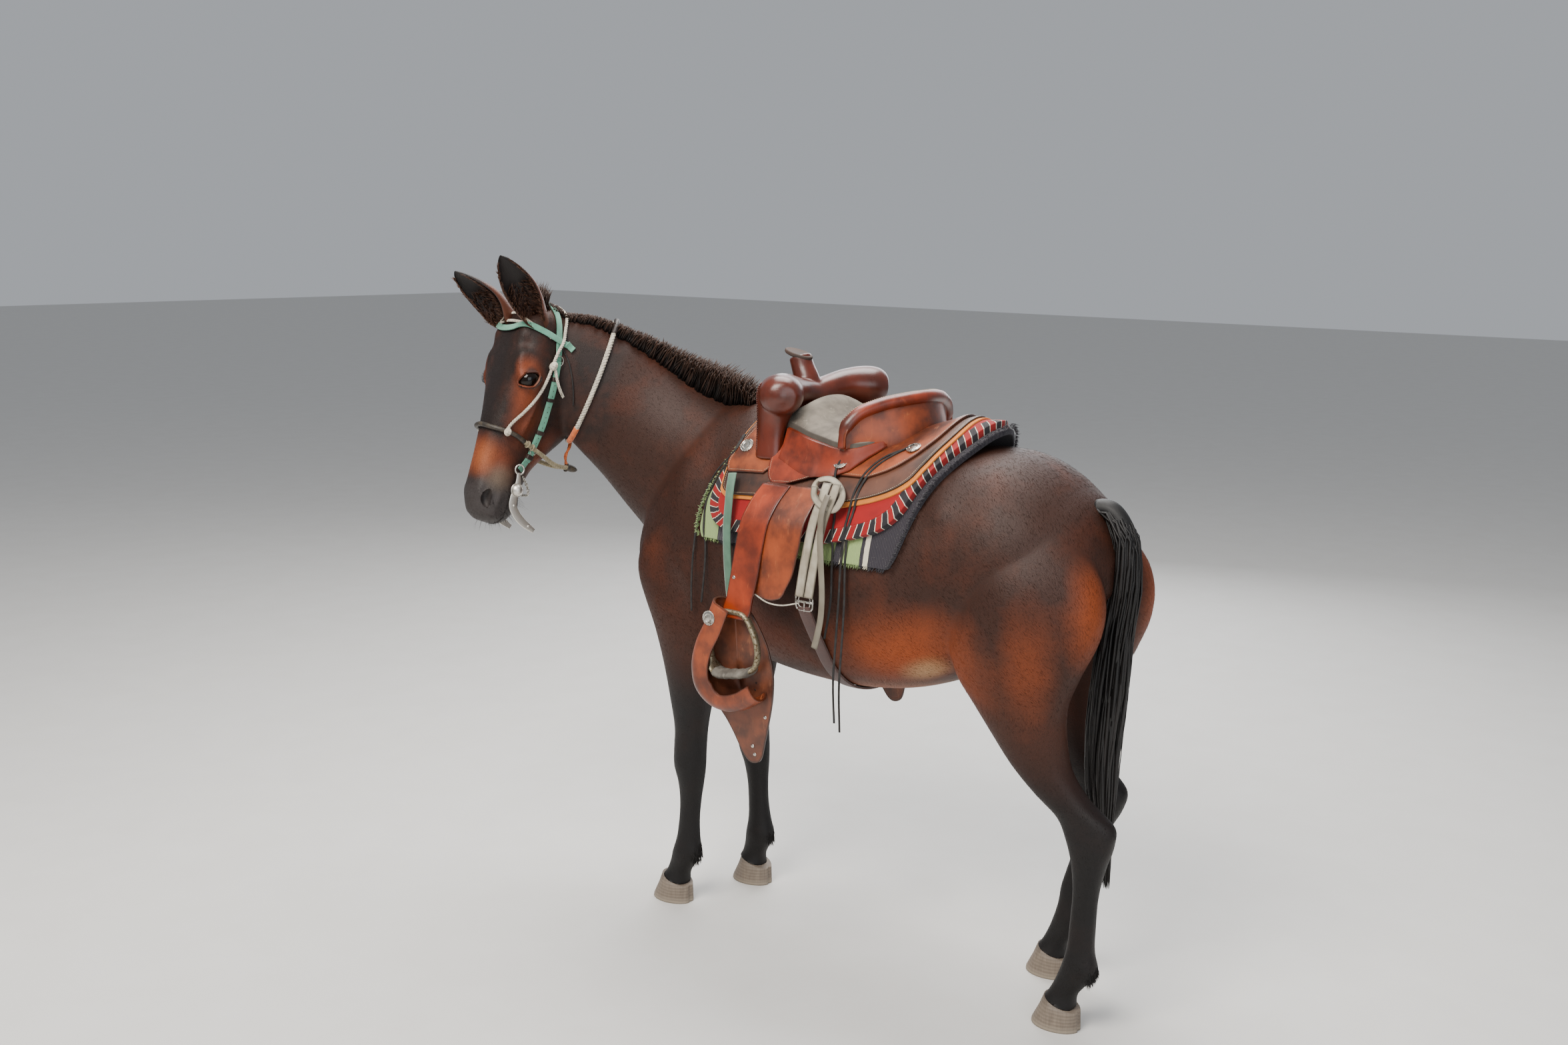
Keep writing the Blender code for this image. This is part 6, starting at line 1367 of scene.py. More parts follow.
def dressed_skin(skin, hide, look):
    """The skin, with fewer faces over the body, open at the eyes, nostrils and mouth, and cut at the hooves."""
    local = point_array(skin.data) @ np.asarray(TO_HEAD)[:3, :3].T + np.asarray(TO_HEAD)[:3, 3]
    on_face = np.clip((local[:, 1] + 0.42) / 0.12, 0, 1) * np.clip((local[:, 0] + 0.16) / 0.10, 0, 1)
    group = skin.vertex_groups.new(name="plain")
    for level in range(11):
        chosen = np.nonzero(np.round((1 - on_face) * 10) == level)[0]
        group.add(chosen.tolist(), level / 10, "REPLACE")
    skin = shaped(skin, "DECIMATE", ratio=0.52, vertex_group="plain", vertex_group_factor=1.0)
    skin.vertex_groups.clear()
    for toe, heel, x in HOOVES.values():
        place, normal = coronet(toe, heel, x)
        cut_away(skin, place, normal, (Vector((x, (toe + heel) / 2, 0.05)), 0.14))
    for side in (1, -1):
        cut_out(skin, eye_hollow(side))
        cut_out(skin, nostril_hollow(side))
    cut_out(skin, mouth_cut(hide))
    set_points(skin, point_array(skin.data) - normal_array(skin.data) * COAT_DEPTH)
    skin.data.materials.clear()
    skin.data.materials.append(look.material)
    skin.data.polygons.foreach_set("use_smooth", np.full(len(skin.data.polygons), True))
    return skin


def lids(side, look):
    """The rims of both lids as one soft ring, thicker above, with a fold over it."""
    turn = eye_turn(side).to_3x3()
    centre = eye_place(side)
    path, sizes, outs = [], [], []
    for k, (x, y) in enumerate(almond(64, 1.03)):
        far = math.sqrt(max(0.0274**2 - 0.74 * x * x - y * y, 0.010**2))
        path.append(centre + turn @ Vector((x, y, far)))
        outs.append(turn @ Vector((0, 0, 1)))
        sizes.append(0.0036 if y > 0 else 0.0026)
    sizes = np.convolve(np.r_[sizes[-6:], sizes, sizes[:6]], np.ones(13) / 13, "valid")
    ring = tube("lid rims", path, sizes, look, 14, True)
    folds = []
    for size, radius in ((1.32, 0.0022),):
        line = []
        for x, y in almond(48, size)[3:22]:
            far = math.sqrt(max(0.0312**2 - 0.50 * x * x - 0.62 * y * y, 0.008**2))
            line.append(centre + turn @ Vector((x, y, far)))
        spots, _ = on_skin(HIDE, line, 40, -0.0011 - COAT_DEPTH)
        taper = radius * np.sin(np.linspace(0.02, math.pi - 0.02, 40)) ** 0.6
        folds.append(tube("fold", spots, np.maximum(taper, 0.0002), look, 10))
    return joined("lids " + ("left" if side > 0 else "right"), [ring] + folds, look)


def lashes(side, look, chance):
    turn = np.asarray(eye_turn(side).to_3x3())
    centre = np.asarray(eye_place(side))
    paths = []
    for x, y in almond(150, 1.06)[6:69]:
        for _ in range(2):
            x += chance.normal(0, 0.0005)
            far = math.sqrt(max(0.0284**2 - 0.74 * x * x - y * y, 0.010**2))
            long = 0.013 * chance.uniform(0.7, 1.1)
            paths.append([(x + 0.25 * t * t * long * np.sign(x), y + long * (0.15 * t + 0.35 * t * t), far + long * (1.0 * t - 0.35 * t * t)) for t in np.linspace(0, 1, 4)])
    paths = np.asarray(paths) @ turn.T + centre
    outs = np.tile(turn[:, 1], (*paths.shape[:2], 1))
    return hair("lashes " + ("left" if side > 0 else "right"), paths, outs, (0.0009, 0.0008, 0.0005, 0.0001), 0.0004, look)


def ear_frame(side):
    if side > 0:
        base, reach = on_head(-0.006, -0.024, 0.057), (0.178, 0.152, 0.058)
        listen, length = Vector((0.80, 0.50, 0.10)), EAR_LENGTH
    else:
        base, reach = on_head(-0.010, -0.012, -0.062), (0.140, 0.182, -0.006)
        listen, length = Vector((0.93, -0.05, 0.10)), EAR_LENGTH * 0.90
    facing = Vector((math.sin(HEAD_YAW), -math.cos(HEAD_YAW), 0.0))
    left = Vector((-facing.y, facing.x, 0.0))
    way = (Vector((0, 0, 1)) * reach[0] + facing * reach[1] + left * reach[2]).normalized()
    open_way = (listen - listen.dot(way) * way).normalized()
    return base, way, open_way, way.cross(open_way), length


# share of an ear's length, half width, depth of the hollow, half the angle its wall spans, lean forward
EAR = (
    (-0.06, 0.024, 0.030, 150, 0.000),
    (0.05, 0.031, 0.034, 146, 0.000),
    (0.16, 0.037, 0.036, 130, -0.002),
    (0.30, 0.043, 0.032, 112, -0.003),
    (0.46, 0.045, 0.027, 100, -0.002),
    (0.62, 0.041, 0.022, 94, 0.002),
    (0.77, 0.032, 0.016, 90, 0.007),
    (0.89, 0.020, 0.010, 86, 0.012),
    (0.97, 0.009, 0.005, 84, 0.016),
    (1.00, 0.0025, 0.002, 80, 0.018),
)


def ear(side, look):
    """A long ear: an open leaf with thickness, hollow towards the way it listens."""
    base, way, open_way, across, length = ear_frame(side)
    count = 29
    rings, inside = [], []
    for share, half, deep, span, lean in curve_through(EAR, 48).tolist():
        middle = base + way * (share * length) + open_way * lean
        wall = 0.0034 if share < 0.85 else 0.0034 - 0.0020 * (share - 0.85) / 0.15
        half, deep = max(half, 0.002) * (1.0 if side > 0 else 1.12), max(deep, 0.0015)
        outer, inner = [], []
        for k in range(count):
            angle = math.radians(span) * (2 * k / (count - 1) - 1)
            x, y = half * math.sin(angle), deep * (1 - math.cos(angle))
            scale = 1 - wall / max(half, 0.004)
            outer.append(middle + across * x + open_way * y)
            inner.append(middle + across * x * scale + open_way * (y * (1 - 0.3 * wall / half) + wall))
        rings.append(outer + inner[::-1])
        inside += [0.0] * count + [1.0] * count
    made = lofted("ear_" + ("left" if side > 0 else "right") + " dressed", rings, look)
    for word, values in (("inside", inside), ("along", np.repeat(np.linspace(0, 1, 48), 2 * count))):
        held = made.data.attributes.new(word, "FLOAT", "POINT")
        held.data.foreach_set("value", np.asarray(values, np.float32))
    shaped(made, "BEVEL", width=0.0009, segments=2, limit_method="ANGLE", angle_limit=math.radians(55))
    made.data.polygons.foreach_set("use_smooth", np.full(len(made.data.polygons), True))
    return made


def ear_look():
    """An ear's short fur: black tip and edge, brown back, dark soft inside."""
    look = Finish("ear coat", roughness=0.55)
    along, inside = look.attribute("along"), look.attribute("inside")
    drift = look.noise(40.0, 4.0) - 0.5
    back = look.mix((along + drift * 0.3).between(0.50, 0.86), rgb(84, 42, 24), rgb(18, 13, 13))
    hollow = look.mix((along + drift * 0.4).between(0.12, 0.55), rgb(58, 33, 22), rgb(22, 16, 16))
    look.colour(look.mix(inside, back, hollow))
    look.bump(look.noise(700.0, 3.0, (1.0, 1.0, 0.35)), 0.0012, 0.6)
    return look


def ear_hair(side, look, chance):
    """Soft hair that fills the foot of an ear and fringes its edges."""
    base, way, open_way, across, length = ear_frame(side)
    table = curve_through(EAR, 100)
    paths, outs, tones = [], [], []
    for _ in range(520):
        edge = chance.random() < 0.55
        share = chance.uniform(0.04, 0.90) if edge else chance.uniform(0.0, 0.50) ** 1.0
        _, half, deep, span, lean = table[int((share + 0.06) / 1.06 * 99)]
        turn = math.radians(span) * (chance.choice((-1, 1)) * chance.uniform(0.86, 0.99) if edge else chance.uniform(-0.75, 0.75))
        x, y = 0.93 * half * math.sin(turn), deep * (1 - math.cos(turn)) + 0.003
        root = base + way * (share * length) + open_way * (lean + y) + across * x
        inward = (across * -math.sin(turn) + open_way * (0.9 if edge else 0.6)).normalized()
        long = chance.uniform(0.010, 0.020) if edge else chance.uniform(0.016, 0.032)
        ahead = (way * (0.9 if edge else 0.7) + inward * (0.55 if edge else 0.8) + across * chance.normal(0, 0.2)).normalized()
        paths.append([root + ahead * (long * t) + way * (0.25 * long * t * t) for t in (0, 0.33, 0.66, 1.0)])
        outs.append([inward] * 4)
        tones.append(chance.uniform(-0.2, 0.5))
    return hair("ear hair " + ("left" if side > 0 else "right"), paths, outs, (0.0024, 0.0022, 0.0014, 0.0002), 0.0005, look, tones)


def hoof(word, look):
    """An upright narrow hoof, sloped in front, flat on the floor, cut off at the coronet."""
    toe, heel, x = HOOVES[word]
    rows = ((0.0, -0.0215, 0.002, 0.0470), (0.002, -0.0225, 0.002, 0.0480), (0.008, -0.0215, 0.002, 0.0478), (0.045, -0.004, 0.0, 0.0430),
            (0.070, 0.0055, -0.001, 0.0398), (0.085, 0.011, -0.002, 0.038), (0.100, 0.016, -0.003, 0.036))
    rings = []
    for z, front, back, half in rows:
        ring = []
        for k in range(56):
            angle = 2 * math.pi * k / 56
            wide = half * (0.94 + 0.06 * -math.cos(angle)) * (1 - 0.10 * max(0.0, math.cos(angle * 1.0)) ** 6)
            middle, reach = (toe + front + heel + back) / 2, (heel + back - toe - front) / 2
            dent = 0.006 * math.exp(-((math.sin(angle) / 0.16) ** 2)) if math.cos(angle) > 0 else 0.0
            ring.append((x + wide * math.sin(angle), middle + (reach - dent) * math.cos(angle), z))
        rings.append(ring)
    made = lofted("hoof_" + word + " dressed", rings, look)
    place, normal = coronet(toe, heel, x)
    cut_away(made, place + normal * 0.0006, -normal)
    return made


def crest_places(hide, count):
    """Places along the top of the neck from the poll to the withers, with the way up from each."""
    centres = ((0.245, -0.885, 1.52), (0.18, -0.82, 1.46), (0.09, -0.71, 1.36), (0.03, -0.60, 1.27), (0.0, -0.48, 1.20), (0.0, -0.37, 1.15))
    ups = ((0.10, 0.25, 1.0), (-0.25, 0.35, 1.0), (-0.22, 0.50, 1.0), (-0.08, 0.50, 1.0), (0.0, 0.30, 1.0), (0.0, 0.10, 1.0))
    places, ways = along_points(centres, count), along_points(ups, count)
    found = []
    for place, way in zip(places, ways):
        way = Vector(way).normalized()
        spot, _, _, _ = hide.tree.ray_cast(Vector(place) + way * 0.6, -way)
        found.append((tuple(spot), tuple(way)))
    return np.asarray([f[0] for f in found]), np.asarray([f[1] for f in found])


MANE_HEIGHT = ((0.0, 0.010), (0.12, 0.020), (0.3, 0.040), (0.5, 0.072), (0.68, 0.094), (0.84, 0.088), (0.94, 0.055), (1.0, 0.018))


def mane(hide, look, chance):
    """The short upright mane: many fine locks that stand off the crest and fan out to both sides."""
    crest, ups = crest_places(hide, 240)
    back = np.gradient(crest, axis=0)
    back /= np.linalg.norm(back, axis=1)[:, None]
    across = np.cross(back, ups)
    across /= np.linalg.norm(across, axis=1)[:, None]
    paths, outs, tones = [], [], []
    count = 2600
    for k in range(count):
        share = chance.uniform(0.0, 1.0)
        i = min(239, int(share * 239))
        tall = float(np.interp(share, *zip(*MANE_HEIGHT))) * chance.uniform(0.72, 1.06)
        side = chance.normal(0, 0.42)
        side = max(-1.0, min(1.0, side))
        root = crest[i] + across[i] * side * 0.017 - ups[i] * 0.004 * (1 + abs(side))
        fan = across[i] * (side * 0.50 + chance.normal(0, 0.10)) + back[i] * (0.18 + chance.normal(0, 0.13))
        line = []
        for t in (0, 0.3, 0.6, 0.85, 1.0):
            line.append(root + (ups[i] + fan * (0.35 + 0.75 * t)) * tall * t)
        paths.append(line)
        outs.append([across[i] * (1 if side >= 0 else -1)] * 5)
        tones.append(chance.uniform(-0.35, 0.25))
    return hair("mane dressed", paths, outs, (0.0065, 0.0060, 0.0050, 0.0032, 0.0004), 0.0011, look, tones)


TAIL_PATH = (
    (0.0, 0.630, 1.225), (0.0, 0.675, 1.232), (0.003, 0.715, 1.195), (0.008, 0.728, 1.10), (0.012, 0.715, 0.95),
    (0.015, 0.705, 0.78), (0.014, 0.700, 0.60), (0.010, 0.712, 0.45), (0.005, 0.725, 0.32),
)
TAIL_WIDE = ((0.0, 0.030), (0.1, 0.033), (0.25, 0.040), (0.5, 0.046), (0.75, 0.040), (1.0, 0.010))


def tail(look, chance):
    """The long tail: fine locks that start in turn down the dock and hang together to the tip."""
    fine = along_points(TAIL_PATH, 201)
    paths, outs, tones, widths = [], [], [], []
    for k in range(680):
        start = chance.uniform(-0.02, 0.46) if k < 580 else chance.uniform(0.30, 0.62)
        end = min(1.0, start + chance.uniform(0.42, 0.62))
        turn = chance.uniform(0, 2 * math.pi)
        depth = chance.uniform(0.55, 1.0)
        wander, phase = chance.normal(0, 0.16), chance.uniform(0, 6.28)
        line, away = [], []
        for t in np.linspace(0, 1, 9):
            share = start + (end - start) * t
            place = fine[max(0, min(200, int(share * 200)))]
            wide = float(np.interp(share, *zip(*TAIL_WIDE))) * depth * (0.72 + 0.28 * math.sin(math.pi * min(1, t * 1.3)))
            twist = turn + wander * t + 0.06 * math.sin(5 * t + phase)
            out = np.array((math.cos(twist), math.sin(twist), 0.0))
            line.append(place + out * wide)
            away.append(out)
        paths.append(line)
        outs.append(away)
        tones.append(chance.uniform(-0.3, 0.3))
        widths.append(np.array((0.010, 0.011, 0.011, 0.011, 0.010, 0.009, 0.007, 0.005, 0.0006)) * chance.uniform(0.6, 1.1))
    strands = hair("tail strands", paths, outs, widths, 0.0022, look, tones)
    core = tube("tail core", fine[4:96], np.interp(np.linspace(0.02, 0.48, 92), *zip(*TAIL_WIDE)) * np.linspace(0.80, 0.30, 92), None, 24)
    core = joined("tail core", [core], look)
    layer = core.data.uv_layers.new(name="OFBake")
    corner = np.empty(len(core.data.loops), np.int32)
    core.data.loops.foreach_get("vertex_index", corner)
    layer.data.foreach_set("uv", unwrap(point_array(core.data))[corner].ravel().astype(np.float32))
    return strands, core


def lie_of_coat(spots, normals):
    """Which way the hair points, over the whole skin."""
    local = spots @ np.asarray(TO_HEAD)[:3, :3].T + np.asarray(TO_HEAD)[:3, 3]
    down = np.tile((0.0, 0.62, -0.55), (len(spots), 1))
    down[:, 0] = 0.25 * np.sign(spots[:, 0])
    on_neck = (spots[:, 1] < -0.40) & (spots[:, 2] > 1.02)
    down[on_neck] = (-0.35, 0.62, -0.62)
    legs = spots[:, 2] < 0.80
    down[legs] = (0.0, 0.16, -1.0)
    on_face = (local[:, 0] > -0.03) & (local[:, 1] > -0.29) & (np.abs(local[:, 2]) < 0.16) & (spots[:, 2] > 0.98)
    along = np.asarray(HEAD.col[0][:3])
    back = -np.asarray(HEAD.col[1][:3])
    share = np.clip(-local[:, 1] / 0.18, 0, 1)[:, None]
    down[on_face] = ((1 - 0.8 * share) * along + share * 0.9 * back)[on_face]
    flat = down - (down * normals).sum(1)[:, None] * normals
    return flat / (np.linalg.norm(flat, axis=1)[:, None] + 1e-9)


def coat_tufts(name, skin, count, long, look, chance, keep, rise=0.16, wide=0.0016):
    """Short flat tufts over part of the skin, following the lie of the coat."""
    skin.data.calc_loop_triangles()
    corners = np.empty(len(skin.data.loop_triangles) * 3, np.int32)
    skin.data.loop_triangles.foreach_get("vertices", corners)
    spots, normals = scattered(point_array(skin.data), corners.reshape(-1, 3), count, chance, keep)
    lie = lie_of_coat(spots, normals)
    side = np.cross(normals, lie)
    lie = lie + side * chance.normal(0, 0.16, count)[:, None]
    size = (long * chance.uniform(0.65, 1.15, count))[:, None]
    lift = (rise * chance.uniform(0.5, 1.5, count))[:, None]
    root = spots - normals * 0.0010
    tip = root + lie * size + normals * (size * lift + 0.0011)
    outs = np.repeat(normals[:, None], 2, 1)
    return hair(name, np.stack([root, tip], 1), outs, (wide, 0.0), 0.0003, look, chance.uniform(-0.5, 0.9, count))


def brushes(name, look, chance, roots, ways, outs, long, spread, wide, bend=0.0, points=4):
    """Longer locks from given roots: feather on the fetlocks, whiskers and the tuft behind the ears."""
    paths, away, tones = [], [], []
    for root, way, out in zip(roots, ways, outs):
        root, way, out = np.asarray(root, float), np.asarray(way, float), np.asarray(out, float)
        way = way / np.linalg.norm(way) + chance.normal(0, spread, 3)
        reach = long * chance.uniform(0.6, 1.1)
        paths.append([root + way * reach * t + np.array((0, 0, -bend)) * reach * t * t for t in np.linspace(0, 1, points)])
        away.append([out] * points)
        tones.append(chance.uniform(-0.3, 0.3))
    widths = np.linspace(wide, wide * 0.1, points)
    return hair(name, paths, away, widths, wide * 0.3, look, tones)


# The saddle

BLANKET = (
    (0, -0.270, 0.410), (12, -0.270, 0.390), (26, -0.275, 0.355), (40, -0.300, 0.322), (52, -0.330, 0.302),
    (62, -0.345, 0.288), (72, -0.352, 0.275), (80, -0.352, 0.262), (84.5, -0.345, 0.250),
)
PAD = (
    (0, -0.255, 0.395), (12, -0.252, 0.372), (24, -0.260, 0.340), (36, -0.278, 0.310), (47, -0.300, 0.288),
    (56, -0.312, 0.272), (63, -0.312, 0.245), (69, -0.302, 0.200), (74, -0.280, 0.130), (77.5, -0.240, 0.060),
)
SKIRT = (
    (0, -0.235, 0.338), (12, -0.245, 0.328), (25, -0.262, 0.304), (35, -0.270, 0.285), (43, -0.274, 0.262),
    (49.5, -0.274, 0.215), (54.5, -0.268, 0.150), (57.5, -0.245, 0.090),
)
REAR_JOCKEY = (
    (0, 0.200, 0.312), (12, 0.190, 0.300), (23, 0.150, 0.272), (32, 0.105, 0.240), (39, 0.055, 0.200), (44, 0.030, 0.150),
)
SEAT_JOCKEY = (
    (20, -0.150, 0.150), (29, -0.150, 0.140), (37, -0.143, 0.100), (43, -0.136, 0.045), (48, -0.126, -0.015),
    (51.5, -0.108, -0.065),
)
FRONT_JOCKEY = (
    (14, -0.225, -0.120), (24, -0.244, -0.120), (33, -0.262, -0.120), (40, -0.274, -0.122), (46, -0.266, -0.150),
)
SADDLE_TWIST = Matrix.Rotation(math.radians(-4.0), 4, "Z")
CANTLE_RIM = (
    (0.212, 0.105, 1.342), (0.210, 0.106, 1.385), (0.186, 0.120, 1.422), (0.130, 0.146, 1.447), (0.066, 0.176, 1.460),
    (0.0, 0.190, 1.464),
)
CANTLE_FOOT = ((0.198, 0.096, 1.326), (0.15, 0.140, 1.330), (0.08, 0.195, 1.345), (0.0, 0.215, 1.355))


def tent(y, degrees):
    """How far the saddle stands clear of the spine."""
    return math.exp(-((degrees / 16.0) ** 2)) * 0.034 * min(1.0, max(0.0, (y - 0.10) / 0.20))


def paired(points, sizes, count):
    """Places and section sizes read together at even steps of the places' arc length."""
    points, sizes = np.asarray(points, float), np.asarray(sizes, float)
    run = np.concatenate([[0], np.cumsum(np.linalg.norm(np.diff(points, axis=0), axis=1))])
    fine = curve_through(np.column_stack([run, points, sizes]), count)
    return fine[:, 1:4], np.maximum(fine[:, 4:], 0.0005)


def section_sweep(name, path, sections, lead=Vector((0, 0, 1)), sides=40):
    """Ovals swept along a path. Each section: half size along the lead, half size across it."""
    count = len(path) * 12
    path, sizes = paired(path, sections, count)
    _, first, second = side_vectors(path, np.tile(tuple(lead), (count, 1)))
    turn = np.linspace(0, 2 * math.pi, sides, endpoint=False)[None, :, None]
    rings = path[:, None] + first[:, None] * sizes[:, None, :1] * np.cos(turn)
    return lofted(name, rings + second[:, None] * sizes[:, None, 1:2] * np.sin(turn))


def upright(name, centres, radii, sides=48):
    """Level ovals stacked up. Each centre: x, y, z. Each radius: half size across, half size along the mule."""
    centres, radii = paired(centres, radii, 70)
    turn = np.linspace(0, 2 * math.pi, sides, endpoint=False)
    rings = []
    for (x, y, z), (wide, deep) in zip(centres.tolist(), radii.tolist()):
        rings.append(np.column_stack([x + wide * np.cos(turn), y + deep * np.sin(turn), np.full(sides, z)]))
    return lofted(name, rings)


def fused(name, pieces, voxel, rounds, look):
    made = shaped(joined(name, pieces), "REMESH", mode="VOXEL", voxel_size=voxel)
    smoothed(made, rounds)
    made.data.polygons.foreach_set("use_smooth", np.full(len(made.data.polygons), True))
    made.data.materials.clear()
    made.data.materials.append(look.material)
    return made


def saddle_fork(look):
    """The swell with its swept wings, and the leather neck of the horn."""
    pieces = []
    for side in (1, -1):
        centres = ((0.190, -0.150, 1.290), (0.188, -0.150, 1.335), (0.182, -0.148, 1.375), (0.176, -0.142, 1.415),
                   (0.170, -0.138, 1.450), (0.168, -0.138, 1.472), (0.167, -0.138, 1.487), (0.166, -0.138, 1.496),
                   (0.166, -0.138, 1.500))
        radii = ((0.030, 0.040), (0.028, 0.037), (0.033, 0.040), (0.043, 0.049), (0.050, 0.057), (0.045, 0.051),
                 (0.034, 0.039), (0.020, 0.023), (0.006, 0.007))
        pieces.append(upright("foot", [(side * x, y, z) for x, y, z in centres], radii))
        line = ((-0.02, -0.168, 1.436), (0.06, -0.165, 1.446), (0.12, -0.152, 1.452), (0.170, -0.130, 1.450),
                (0.192, -0.115, 1.449), (0.207, -0.104, 1.448), (0.219, -0.096, 1.447), (0.225, -0.091, 1.446))
        sizes = ((0.032, 0.036), (0.036, 0.036), (0.044, 0.044), (0.052, 0.056), (0.051, 0.055), (0.045, 0.048),
                 (0.030, 0.032), (0.008, 0.009))
        pieces.append(section_sweep("wing", [(side * x, y, z) for x, y, z in line], sizes))
    front, back = [], []
    for x in np.linspace(-0.17, 0.17, 13):
        levels = np.linspace(1.455, 1.372 - 0.3 * x * x, 6)
        front.append([(x, -0.190, z) for z in levels])
        back.append([(x, -0.142, z) for z in levels])
    pieces.append(slab("wall", front, back, None))
    post = ((0, -0.175, 1.43), (0, -0.188, 1.475), (0, -0.202, 1.505), (0, -0.212, 1.532))
    pieces.append(section_sweep("post", post, ((0.036, 0.036), (0.033, 0.033), (0.030, 0.030), (0.029, 0.029)), Vector((0, 1, 0))))
    made = fused("saddle_fork dressed", pieces, 0.0026, 70, look)
    made.data.transform(SADDLE_TWIST)
    return made


def horn_cap(look):
    """The flat dark cap of the horn, with a rolled edge and a shallow dish."""
    bpy.ops.object.select_all(action="DESELECT")
    bpy.ops.mesh.primitive_cylinder_add(vertices=64, radius=0.030, depth=0.012, location=(0, 0, 0))
    made = bpy.context.object
    made.name = "horn cap"
    shape = bmesh.new()
    shape.from_mesh(made.data)
    top = max(shape.faces, key=lambda f: f.calc_center_median().z)
    bmesh.ops.inset_individual(shape, faces=[top], thickness=0.006, depth=-0.0012)
    bmesh.ops.inset_individual(shape, faces=[top], thickness=0.008, depth=-0.0006)
    shape.to_mesh(made.data)
    shape.free()
    shaped(made, "BEVEL", width=0.0045, segments=5, limit_method="ANGLE", angle_limit=math.radians(40))
    made.data.transform(Matrix.Diagonal((1.0, 1.38, 1.0, 1.0)))
    turn = Matrix.Rotation(math.radians(-15), 4, "X")
    made.data.transform(SADDLE_TWIST @ Matrix.Translation((0, -0.216, 1.537)) @ turn)
    made.data.polygons.foreach_set("use_smooth", np.full(len(made.data.polygons), True))
    made.data.materials.append(look.material)
    return made


def lacing(look):
    """The laced seam down the front of each wing: slanted thongs that cross a raised ridge."""
    rows, faces_path = [], ((0.196, -0.176, 1.472), (0.202, -0.190, 1.440), (0.198, -0.186, 1.405), (0.196, -0.180, 1.370),
                            (0.194, -0.180, 1.335), (0.192, -0.182, 1.305))
    tree = tree_of(FORK)
    pieces = []
    line = along_points(faces_path, 30)
    for side in (1, -1):
        for i in range(29):
            for slant in (-1, 1):
                a = Vector((side * (line[i][0] - 0.006 * slant), line[i][1] - 0.001, line[i][2] - 0.003))
                b = Vector((side * (line[i][0] + 0.006 * slant), line[i][1] - 0.001, line[i][2] + 0.004))
                spots = []
                for t in np.linspace(0, 1, 5):
                    spot, normal, _, _ = tree.find_nearest(SADDLE_TWIST @ (a.lerp(b, t)))
                    spots.append(tuple(spot + normal * (0.0006 + 0.0012 * math.sin(math.pi * t))))
                pieces.append(tube("thong", spots, 0.0015, None, 6))
    return joined("fork lacing", pieces, look)


def saddle_seat(hide, look):
    """The suede seat, dipped in the middle and rising to the cantle, with a curled lip behind the fork."""
    rows = (
        (-0.150, 1.420, 0.118, 1.384), (-0.108, 1.441, 0.130, 1.380), (-0.080, 1.430, 0.140, 1.376), (-0.045, 1.402, 0.150, 1.369),
        (0.010, 1.392, 0.161, 1.360), (0.070, 1.394, 0.172, 1.352), (0.115, 1.404, 0.160, 1.352), (0.155, 1.410, 0.110, 1.360),
    )
    outer, inner = [], []
    for y, top, half, edge in curve_through(rows, 44).tolist():
        line, under_line = [], []
        for k in range(41):
            share = k / 20 - 1
            x = half * share
            spot, normal, _, _ = hide.tree.ray_cast(Vector((x, y, 2.0)), Vector((0.0, 0.0, -1.0)))
            degrees = math.degrees(math.atan2(x, spot.z - 1.05))
            low = spot + normal * (0.0545 + tent(y, degrees))
            height = top - (top - edge) * abs(share) ** 2.0
            line.append((low.x, low.y, max(height, low.z + 0.007)))
            under_line.append(low)
        outer.append(line)
        inner.append(under_line)
    return slab("saddle_seat dressed", outer, inner, look, 0.002)


def saddle_cantle(look):
    """A tall round dish with a rolled rim, leaning back."""
    columns = 61
    rim = along_points(list(CANTLE_RIM) + [(-x, y, z) for x, y, z in reversed(CANTLE_RIM[:-1])], columns)
    foot = along_points(list(CANTLE_FOOT) + [(-x, y, z) for x, y, z in reversed(CANTLE_FOOT[:-1])], columns)
    # share of the height, how far the back stands out, thickness
    profile = (
        (-0.10, 0.0, 0.024), (0.10, 0.003, 0.022), (0.30, 0.006, 0.020), (0.62, 0.003, 0.015), (0.80, 0.002, 0.014), (0.845, 0.003, 0.015),
        (0.865, 0.010, 0.026), (0.90, 0.0145, 0.034), (0.94, 0.016, 0.036), (0.98, 0.0135, 0.032), (1.01, 0.009, 0.024), (1.03, 0.003, 0.012),
    )
    outer, inner = [], []
    for top, low in zip(rim, foot):
        top, low = Vector(top), Vector(low)
        back = Vector((top.x * 0.45, 0.20, 0.02)).normalized()
        line, front = [], []
        for share, swell, thick in profile:
            place = low + (top - low) * share + back * swell
            line.append(place)
            front.append(place - back * thick)
        outer.append(line)
        inner.append(front)
    made = slab("saddle_cantle dressed", outer, inner, look)
    shaped(made, "SUBSURF", levels=1, render_levels=1)
    made.data.transform(Matrix.Rotation(math.radians(-6.0), 4, "Z"))
    return made


